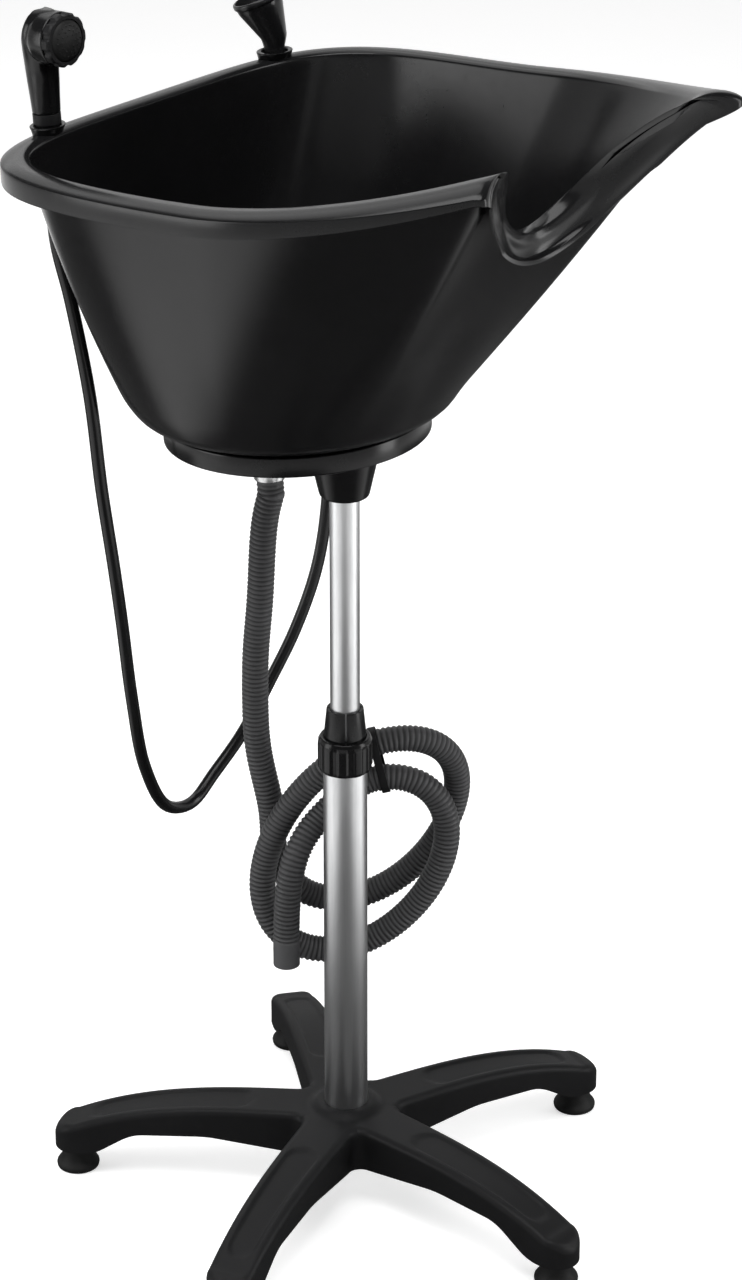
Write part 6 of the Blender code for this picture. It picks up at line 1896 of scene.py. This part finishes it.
def build_connector(finish):
    """Soft funnel that pushes over a tap, leaning a little towards the handset."""
    low = HOLDER_HEIGHT - HOLDER_CUP_DEPTH + SEAT_GAP
    neck_top = low + CONNECTOR_NECK_LENGTH
    top = CONNECTOR_HEIGHT
    mouth = CONNECTOR_MOUTH_RADIUS
    neck = CONNECTOR_NECK_RADIUS
    wall = CONNECTOR_WALL
    bore = SHOWER_HOSE_RADIUS + SEAT_GAP
    cone_low = COLLAR_HEIGHT + 0.002
    profile = (
        (bore, low, 0.0),
        (neck - 0.3 * wall, low, 0.0006),
        (neck, low + 0.3 * wall, 0.0006),
        (neck, cone_low, 0.003),
        (mix(neck, mouth, 0.12), mix(cone_low, top, 0.14), 0.004),
        (mix(neck, mouth, 0.86), mix(cone_low, top, 0.82), 0.003),
        (mix(neck, mouth, 0.88), top - 2.1 * wall, 0.001),
        (mouth, top - 1.8 * wall, 0.0016),
        (mouth, top - 0.3 * wall, 0.0016),
        (mouth - 0.6 * wall, top, 0.001),
        (mouth - wall, top, 0.0008),
        (mix(neck, mouth, 0.86) - wall, mix(cone_low, top, 0.82), 0.004),
        (bore + 0.2 * wall, mix(neck_top, top, 0.10), 0.003),
        (bore, neck_top - wall, 0.0),
    )
    lean = math.radians(CONNECTOR_LEAN)
    lean_turn = math.radians(CONNECTOR_LEAN_TURN)
    lean_axis = Vector((-math.sin(lean_turn), math.cos(lean_turn), 0.0))
    pivot = UP * mix(low, neck_top, 0.8)
    rings = []
    line = [((radius, height), rounding) for radius, height, rounding in profile]
    for point in softened(line, True, 4):
        bend = smooth_step(mix(low, neck_top, 0.5), mix(neck_top, top, 0.2), point.y)
        turn = Matrix.Rotation(lean * bend, 3, lean_axis)
        ring = circle(point.x, point.y, 72)
        rings.append([pivot + turn @ (spot - pivot) for spot in ring])
    place = BASIN_FRAME @ Matrix.Translation(Vector(holder_place(1.0)))
    shape = skin(rings, closed=True)
    return piece(
        "tap_connector_funnel", shape, place, "riser", ["tap_connector"], finish, 60.0
    )


# Finishes


def wear(finish, scale, detail=4.0):
    """Soft share from nought to one that varies like handling marks."""
    return finish.noise(scale, detail, 0.6).over(0.3, 0.75)


def moulded_black(name, colour, gloss, sheen, grain_scale, grain_depth):
    """Black moulding: faint grain, handling marks in the gloss and a trace of dust."""
    finish = Finish(name, metallic=0.0, specular_ior_level=sheen)
    marks = wear(finish, 9.0)
    fine = finish.noise(140.0, 5.0, 0.65).over(0.45, 0.8)
    dust = finish.noise(900.0, 2.0, 0.5).over(0.70, 0.86) * marks
    worn = tuple(min(part * 1.4 + 0.001, 1.0) for part in colour)
    base = finish.two_colours(marks * 0.5 + fine * 0.25, colour, worn)
    dusty = tuple(part + 0.008 for part in colour)
    finish.set("Base Color", finish.two_colours(dust * 0.4, base, dusty))
    finish.set("Roughness", gloss + marks * 0.05 + fine * 0.05 + dust * 0.1)
    ripple = finish.bump(finish.noise(26.0, 2.0), 0.0004, 0.25)
    grain = finish.noise(grain_scale, 3.0, 0.6)
    finish.set("Normal", finish.bump(grain, grain_depth, 0.5, ripple))
    return finish.material


def ribbed_grey(name, colour):
    """Grey hose: valleys between the ribs are darkened as painted shade and dirt, crests are rubbed
    paler.
    """
    finish = Finish(name, metallic=0.0, specular_ior_level=0.3)
    valley = finish.add("ShaderNodeAttribute", {"attribute_name": "valley"}, (), 2)
    along = finish.add("ShaderNodeAttribute", {"attribute_name": "along"}, (), 2)
    marks = wear(finish, 22.0)
    deep = tuple(0.42 * part for part in colour)
    rubbed = tuple(1.35 * part for part in colour)
    crest = finish.two_colours(marks * 0.8, colour, rubbed)
    # Painted shade and dirt: the colour darkens towards the deep tone in the valleys between the
    # ribs
    finish.set("Base Color", finish.two_colours(valley, crest, deep))
    slow = (along * 40.0).math("SINE") * 0.5 + 0.5
    finish.set("Roughness", 0.40 + valley * 0.2 + marks * 0.1 + slow * 0.03)
    finish.set("Normal", finish.bump(finish.noise(700.0, 3.0, 0.6), 0.00008, 0.4))
    return finish.material


def brushed_metal(name, colour, gloss, stretch, scale, streak_depth):
    """Metal brushed along the axis that the stretch shortens, with a few duller patches."""
    finish = Finish(name, metallic=1.0)
    place = finish.stretched(stretch)
    streak = finish.noise(scale, 5.0, 0.7, place)
    fine = finish.noise(3.5 * scale, 3.0, 0.6, place)
    marks = wear(finish, 14.0)
    dull = tuple(0.82 * part for part in colour)
    dulled = streak.over(0.3, 0.7) * 0.5 + marks * 0.2
    finish.set("Base Color", finish.two_colours(dulled, colour, dull))
    finish.set("Roughness", gloss + streak * 0.12 + marks * 0.06)
    finish.set("Normal", finish.bump(streak * 0.6 + fine * 0.4, streak_depth, 0.35))
    return finish.material


def matt_rubber(name, colour):
    finish = Finish(name, metallic=0.0, specular_ior_level=0.2)
    marks = wear(finish, 30.0)
    dust = finish.noise(420.0, 3.0, 0.6).over(0.55, 0.85)
    dusty = tuple(part * 2.2 + 0.006 for part in colour)
    finish.set("Base Color", finish.two_colours(marks * 0.4 + dust * 0.4, colour, dusty))
    finish.set("Roughness", 0.5 + marks * 0.14)
    finish.set("Normal", finish.bump(finish.noise(1500.0, 3.0, 0.6), 0.0001, 0.5))
    return finish.material


# Sizes and colours that a user may change


def measure(label, note, default, low=0.0, high=1.0):
    return bpy.props.FloatProperty(
        name=label, description=note, default=default, min=low, max=high, unit="LENGTH", precision=5
    )


def paint(label, note, default):
    return bpy.props.FloatVectorProperty(
        name=label, description=note, default=default, size=3, min=0.0, max=1.0, subtype="COLOR"
    )


def strength(label, note, default, high=1.0):
    return bpy.props.FloatProperty(
        name=label, description=note, default=default, min=0.0, max=high, subtype="FACTOR"
    )


class BowlSizes(bpy.types.PropertyGroup):
    rim_inner_round: measure("Rim inner rounding", "Rounding between wall and flange", 0.006)
    rim_outer_round: measure("Rim outer rounding", "Rounding at the flange's outer edge", 0.005)
    base_round: measure("Foot rounding", "Rounding between the bowl's floor and wall", 0.012)
    ring_edge_round: measure("Ring edge", "Rounding of the carrier ring's edges", 0.0015)
    socket_edge_round: measure("Socket edge", "Rounding of the socket's lower edge", 0.003)


class BaseSizes(bpy.types.PropertyGroup):
    web_round: measure("Web radius", "Radius of the webs between two legs", 0.010, 0.004, 0.03)
    leg_edge_round: measure("Leg edge", "Rounding of the legs' upper edges", 0.006)
    panel_margin: measure("Panel margin", "Rim left round a leg's sunk oval panel", 0.008)
    panel_depth: measure("Panel depth", "Depth of a leg's sunk oval panel", 0.0018)
    panel_slope: measure("Panel slope", "Width of the slope round the oval panel", 0.002, 0.0005)
    boss_radius: measure("Boss radius", "Radius of the boss round the column's foot", 0.0235)
    boss_foot: measure("Boss foot", "Radius where the boss has run out into the legs", 0.034)


class ColumnSizes(bpy.types.PropertyGroup):
    tube_edge_round: measure("Tube edge", "Rounding of the tubes' cut edges", 0.0004)
    collet_edge_round: measure("Collet edge", "Rounding of the collet's mouth", 0.0006)
    flute_depth: measure("Flute depth", "Depth of the flutes round the twist nut", 0.0016)


class HoseSizes(bpy.types.PropertyGroup):
    hose_rib_pitch: measure("Rib pitch", "Distance between the drain hose's ribs", 0.0043, 0.003)
    hose_rib_depth: measure("Rib depth", "Depth of the drain hose's ribs", 0.0013, 0.0, 0.003)
    hose_bend_start: measure(
        "Bend start", "Place across the basin where the hose starts to follow", -0.085, -1.0
    )
    hose_bend_end: measure(
        "Bend end", "Place past which the hose follows the handset fully", -0.120, -1.0
    )


class HandsetSizes(bpy.types.PropertyGroup):
    holder_edge_round: measure("Holder edge", "Rounding of the hose holders' mouths", 0.0015)
    handset_voxel: measure("Handset fineness", "Face size of the moulded handset", 0.0007, 0.0004)
    lobe_depth: measure("Lobe depth", "Depth between the lobes of the spray dial", 0.0016)
    lobe_count: bpy.props.IntProperty(
        name="Lobe count", description="Lobes round the spray dial", default=10, min=3, max=24
    )
    nozzle_rise: measure("Nozzle height", "How far each spray nozzle stands out", 0.0007)


class BasinColours(bpy.types.PropertyGroup):
    bowl: paint("Bowl", "Moulded bowl, ring, socket and lock", (0.0055, 0.0055, 0.0058))
    base: paint("Base", "Textured star base and the drain's fittings", (0.0095, 0.0095, 0.0100))
    hose: paint("Drain hose", "Ribbed drain hose", (0.0600, 0.0600, 0.0620))
    line: paint("Shower hose", "Smooth shower hose and the tap connector", (0.0060, 0.0060, 0.0064))
    rubber: paint("Rubber", "Glides, seal, spray plate and nozzles", (0.0080, 0.0080, 0.0080))
    aluminium: paint("Column", "Anodised column tubes", (0.60, 0.605, 0.61))
    steel: paint("Steel", "Screws, clip, drain flange and strainer", (0.55, 0.55, 0.55))


class StageSettings(bpy.types.PropertyGroup):
    floor_colour: paint("Floor", "Plain pale floor", (0.80, 0.80, 0.80))
    sky_colour: paint("Fill light", "Even light from all round", (1.0, 1.0, 1.0))
    sky_strength: strength("Fill strength", "Strength of the even light", 0.10, 4.0)
    lamp_power: strength("Lamp strength", "Strength shared by the soft boxes", 1.0, 10.0)
    overhead_strength: strength("Overhead strength", "Strength of the wide light above", 0.6, 10.0)


SETTINGS = {
    "basin_bowl_sizes": BowlSizes,
    "basin_base_sizes": BaseSizes,
    "basin_column_sizes": ColumnSizes,
    "basin_hose_sizes": HoseSizes,
    "basin_handset_sizes": HandsetSizes,
    "basin_colours": BasinColours,
    "basin_stage": StageSettings,
}


# Kind of surface: its maker, its colour's name, then the maker's own numbers
FINISHES = {
    "gloss_black_moulding": (moulded_black, "bowl", 0.18, 0.22, 500.0, 0.00005),
    "satin_black_moulding": (moulded_black, "base", 0.42, 0.11, 1300.0, 0.00016),
    "gloss_black_hose": (moulded_black, "line", 0.20, 0.26, 800.0, 0.00004),
    "grey_ribbed_hose": (ribbed_grey, "hose"),
    "anodised_column": (brushed_metal, "aluminium", 0.26, (1.0, 1.0, 0.03), 420.0, 0.00002),
    "bright_steel": (brushed_metal, "steel", 0.2, (1.0, 1.0, 0.2), 700.0, 0.00002),
    "matt_black_rubber": (matt_rubber, "rubber"),
}


def finish_for(kind):
    """The material of one kind of surface, made once."""
    if kind in bpy.data.materials:
        return bpy.data.materials[kind]
    maker, colour, *numbers = FINISHES[kind]
    return maker(kind, tuple(getattr(bpy.context.scene.basin_colours, colour)), *numbers)


def dress(names, kind):
    """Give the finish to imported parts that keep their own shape."""
    for name in names:
        for holder in frame["nodes"][name].material_slots:
            holder.material = finish_for(kind)


# Operators


class BASIN_OT_stage(bpy.types.Operator):
    """Set the floor, the soft boxes and the camera"""

    bl_idname = "basin.stage"
    bl_label = "Stage"

    def execute(self, context):
        build_stage(context.scene.basin_stage)
        return {"FINISHED"}


class BASIN_OT_drain_hose(bpy.types.Operator):
    """Build the ribbed drain hose with its clip and tie"""

    bl_idname = "basin.drain_hose"
    bl_label = "Drain hose"

    def execute(self, context):
        build_drain_hose(
            context.scene.basin_hose_sizes,
            finish_for("grey_ribbed_hose"),
            finish_for("bright_steel"),
            finish_for("satin_black_moulding"),
        )
        return {"FINISHED"}


class BASIN_OT_shower_hose(bpy.types.Operator):
    """Build the shower hose and the tap connector on its end"""

    bl_idname = "basin.shower_hose"
    bl_label = "Shower hose"

    def execute(self, context):
        connector = build_connector(finish_for("gloss_black_hose"))
        build_shower_hose(finish_for("gloss_black_hose"))
        return {"FINISHED"}


class BASIN_OT_bowl(bpy.types.Operator):
    """Build the bowl with its rolled rim and raised neck rest"""

    bl_idname = "basin.bowl"
    bl_label = "Bowl"

    def execute(self, context):
        build_bowl(context.scene.basin_bowl_sizes, finish_for("gloss_black_moulding"))
        return {"FINISHED"}


class BASIN_OT_carrier(bpy.types.Operator):
    """Build the ring under the bowl, its socket and screws"""

    bl_idname = "basin.carrier"
    bl_label = "Carrier"

    def execute(self, context):
        sizes = context.scene.basin_bowl_sizes
        build_carrier(sizes, finish_for("gloss_black_moulding"), finish_for("bright_steel"))
        return {"FINISHED"}


class BASIN_OT_base(bpy.types.Operator):
    """Build the star base and its glides"""

    bl_idname = "basin.base"
    bl_label = "Base"

    def execute(self, context):
        satin = finish_for("satin_black_moulding")
        build_base(context.scene.basin_base_sizes, satin, finish_for("matt_black_rubber"))
        dress(("base_bolt", "tube_plug"), "bright_steel")
        return {"FINISHED"}


class BASIN_OT_column(bpy.types.Operator):
    """Build the two column tubes, the collet and the twist nut"""

    bl_idname = "basin.column"
    bl_label = "Column"

    def execute(self, context):
        sizes = context.scene.basin_column_sizes
        build_column(sizes, finish_for("anodised_column"))
        build_lock(sizes, finish_for("gloss_black_moulding"))
        dress(("guide_bush",), "satin_black_moulding")
        return {"FINISHED"}


class BASIN_OT_drain(bpy.types.Operator):
    """Build the drain's flange, strainer, seal, nut and tail"""

    bl_idname = "basin.drain"
    bl_label = "Drain"

    def execute(self, context):
        satin = finish_for("satin_black_moulding")
        build_drain(finish_for("bright_steel"), satin, finish_for("matt_black_rubber"))
        return {"FINISHED"}


class BASIN_OT_handset(bpy.types.Operator):
    """Build the spray handset and the two holders on the rim"""

    bl_idname = "basin.handset"
    bl_label = "Handset"

    def execute(self, context):
        sizes = context.scene.basin_handset_sizes
        gloss = finish_for("gloss_black_moulding")
        build_holder("handset_cup", "handset_holder", -1.0, sizes, gloss)
        build_holder("connector_cup", "connector_holder", 1.0, sizes, gloss)
        satin = finish_for("satin_black_moulding")
        build_handset(sizes, gloss, satin, finish_for("matt_black_rubber"))
        return {"FINISHED"}


OPERATORS = (
    BASIN_OT_stage,
    BASIN_OT_drain_hose,
    BASIN_OT_shower_hose,
    BASIN_OT_bowl,
    BASIN_OT_carrier,
    BASIN_OT_base,
    BASIN_OT_column,
    BASIN_OT_drain,
    BASIN_OT_handset,
)


class BASIN_PT_panel(bpy.types.Panel):
    bl_idname = "BASIN_PT_panel"
    bl_label = "Portable Shampoo Basin"
    bl_space_type = "VIEW_3D"
    bl_region_type = "UI"
    bl_category = "Basin"

    def draw(self, context):
        layout = self.layout
        for operator in OPERATORS:
            layout.operator(operator.bl_idname)
        for name, group in SETTINGS.items():
            box = layout.box()
            for entry in group.__annotations__:
                box.prop(getattr(context.scene, name), entry)


# Stage


def soft_box(name, place, aim, width, height, power):
    data = bpy.data.lights.new(name, "AREA")
    data.shape = "RECTANGLE"
    data.size = width
    data.size_y = height
    data.energy = power
    lamp = bpy.data.objects.new(name, data)
    lamp.location = place
    lamp.rotation_euler = (aim - place).to_track_quat("-Z", "Y").to_euler()
    lamp.visible_camera = False
    bpy.context.collection.objects.link(lamp)


def build_stage(settings):
    heading = math.radians(CAMERA_AZIMUTH)
    toward = Vector((math.sin(heading), -math.cos(heading), 0.0))
    right = Vector((math.cos(heading), math.sin(heading), 0.0))
    finish = studio_finish(tuple(settings.floor_colour), right, toward)
    floor = plain_object("studio_floor", level_sheet(FLOOR_HALF_WIDTH, FLOOR_HEIGHT))
    wall = plain_object("studio_wall", round_wall(WALL_RADIUS, FLOOR_HEIGHT, WALL_TOP))
    for stage in (floor, wall):
        stage.data.materials.append(finish)
    world = bpy.data.worlds.new("studio_air")
    world.use_nodes = True
    bench = Bench(world.node_tree)
    air = world.node_tree.nodes["Background"]
    bench.put(air.inputs["Color"], tuple(settings.sky_colour))
    bench.put(air.inputs["Strength"], settings.sky_strength)
    bpy.context.scene.world = world
    for name, across, near, up, aim_up, width, height, energy in SOFT_BOXES:
        place = COLUMN_AXIS + right * across + toward * near + UP * up
        aim = COLUMN_AXIS + UP * aim_up
        soft_box(name, place, aim, width, height, settings.lamp_power * energy)
    data = bpy.data.lights.new("overhead_light", "SUN")
    data.energy = settings.overhead_strength
    data.angle = math.radians(OVERHEAD_SPREAD)
    overhead = bpy.data.objects.new("overhead_light", data)
    from_above = right * OVERHEAD[0] + toward * OVERHEAD[1] + UP * OVERHEAD[2]
    overhead.rotation_euler = from_above.to_track_quat("Z", "Y").to_euler()
    bpy.context.collection.objects.link(overhead)
    build_camera(toward)
    bpy.context.scene.view_settings.view_transform = "Standard"


def studio_finish(colour, right, toward):
    """White to the camera, to reflections and through glass, darker in the object's shadow.

    Reflections see painted shade: a floor that is dimmer before and behind the object than beside
    it.
    """
    finish = Finish("pale_studio", roughness=0.9, specular_ior_level=0.0)
    shade = tuple(0.985 * part for part in colour)
    finish.set("Base Color", finish.two_colours(finish.noise(3.0, 2.0), colour, shade))
    lit = Wire(finish, finish.shader.outputs[0])
    glow = finish.add("ShaderNodeEmission", None, {"Strength": FLOOR_GLOW})
    both = finish.add("ShaderNodeAddShader", None, (lit, glow))
    paths = finish.tree.nodes.new("ShaderNodeLightPath")
    rays = ("Is Camera Ray", "Is Glossy Ray", "Is Transmission Ray")
    camera, glossy, clear = (Wire(finish, paths.outputs[ray]) for ray in rays)
    seen = camera.math("MAXIMUM", glossy).math("MAXIMUM", clear)
    chosen = finish.add("ShaderNodeMixShader", None, (seen, lit, both))
    # Painted shade for reflections only: glossy rays see the floor darkened before and behind the
    # object
    dot = {"operation": "DOT_PRODUCT"}
    aside = finish.add("ShaderNodeVectorMath", dot, (finish.place, right), 1)
    ahead = finish.add("ShaderNodeVectorMath", dot, (finish.place, toward), 1)
    reach = (aside * aside + ahead * ahead).math("SQRT")
    middle = 1.0 - aside.math("ABSOLUTE").over(*PAINTED_SHADE_SIDES)
    behind = 1.0 - ahead.over(*PAINTED_SHADE_BEHIND)
    near = 1.0 - reach.over(*PAINTED_SHADE_REACH)
    painted_shade_share = middle.math("MAXIMUM", behind) * near * glossy * PAINTED_SHADE_DIMMING
    painted_shade_black = finish.add("ShaderNodeEmission", None, {"Strength": 0.0})
    last = finish.add("ShaderNodeMixShader", None, (painted_shade_share, chosen, painted_shade_black))
    output = finish.tree.nodes["Material Output"]
    finish.tree.links.new(last.socket, output.inputs["Surface"])
    return finish.material


def level_sheet(half, height):
    shape = bmesh.new()
    corners = ((-half, -half), (half, -half), (half, half), (-half, half))
    shape.faces.new([shape.verts.new((x, y, height)) for x, y in corners])
    return shape


def round_wall(radius, low, high):
    shape = bmesh.new()
    lower, upper = circle(radius, low), circle(radius, high)
    loops = [[shape.verts.new(point) for point in ring] for ring in (lower, upper)]
    for here in range(len(lower)):
        there = (here + 1) % len(lower)
        corners = (loops[0][here], loops[1][here], loops[1][there], loops[0][there])
        shape.faces.new(corners)
    return shape


def build_camera(toward):
    data = bpy.data.cameras.new("photo_camera")
    data.sensor_fit = "VERTICAL"
    data.sensor_height = SENSOR_HEIGHT
    data.lens = SENSOR_HEIGHT * FOCAL_PIXELS / PHOTO_HEIGHT
    data.clip_end = 100.0
    camera = bpy.data.objects.new("photo_camera", data)
    camera.location = COLUMN_AXIS + toward * CAMERA_DISTANCE + UP * CAMERA_HEIGHT
    heading = math.radians(CAMERA_AZIMUTH - CAMERA_YAW)
    pitch = math.radians(90.0 - CAMERA_PITCH)
    camera.rotation_euler = (pitch, 0.0, heading)
    bpy.context.collection.objects.link(camera)
    bpy.context.scene.camera = camera


def register():
    for group in SETTINGS.values():
        bpy.utils.register_class(group)
    for name, group in SETTINGS.items():
        setattr(bpy.types.Scene, name, bpy.props.PointerProperty(type=group))
    for operator in OPERATORS:
        bpy.utils.register_class(operator)
    bpy.utils.register_class(BASIN_PT_panel)


def unregister():
    bpy.utils.unregister_class(BASIN_PT_panel)
    for operator in reversed(OPERATORS):
        bpy.utils.unregister_class(operator)
    for name, group in SETTINGS.items():
        delattr(bpy.types.Scene, name)
        bpy.utils.unregister_class(group)


def main():
    register()
    bpy.ops.basin.stage()
    bpy.ops.basin.drain_hose()
    bpy.ops.basin.shower_hose()
    bpy.ops.basin.bowl()
    bpy.ops.basin.carrier()
    bpy.ops.basin.base()
    bpy.ops.basin.column()
    bpy.ops.basin.drain()
    bpy.ops.basin.handset()


if __name__ == "__main__":
    main()
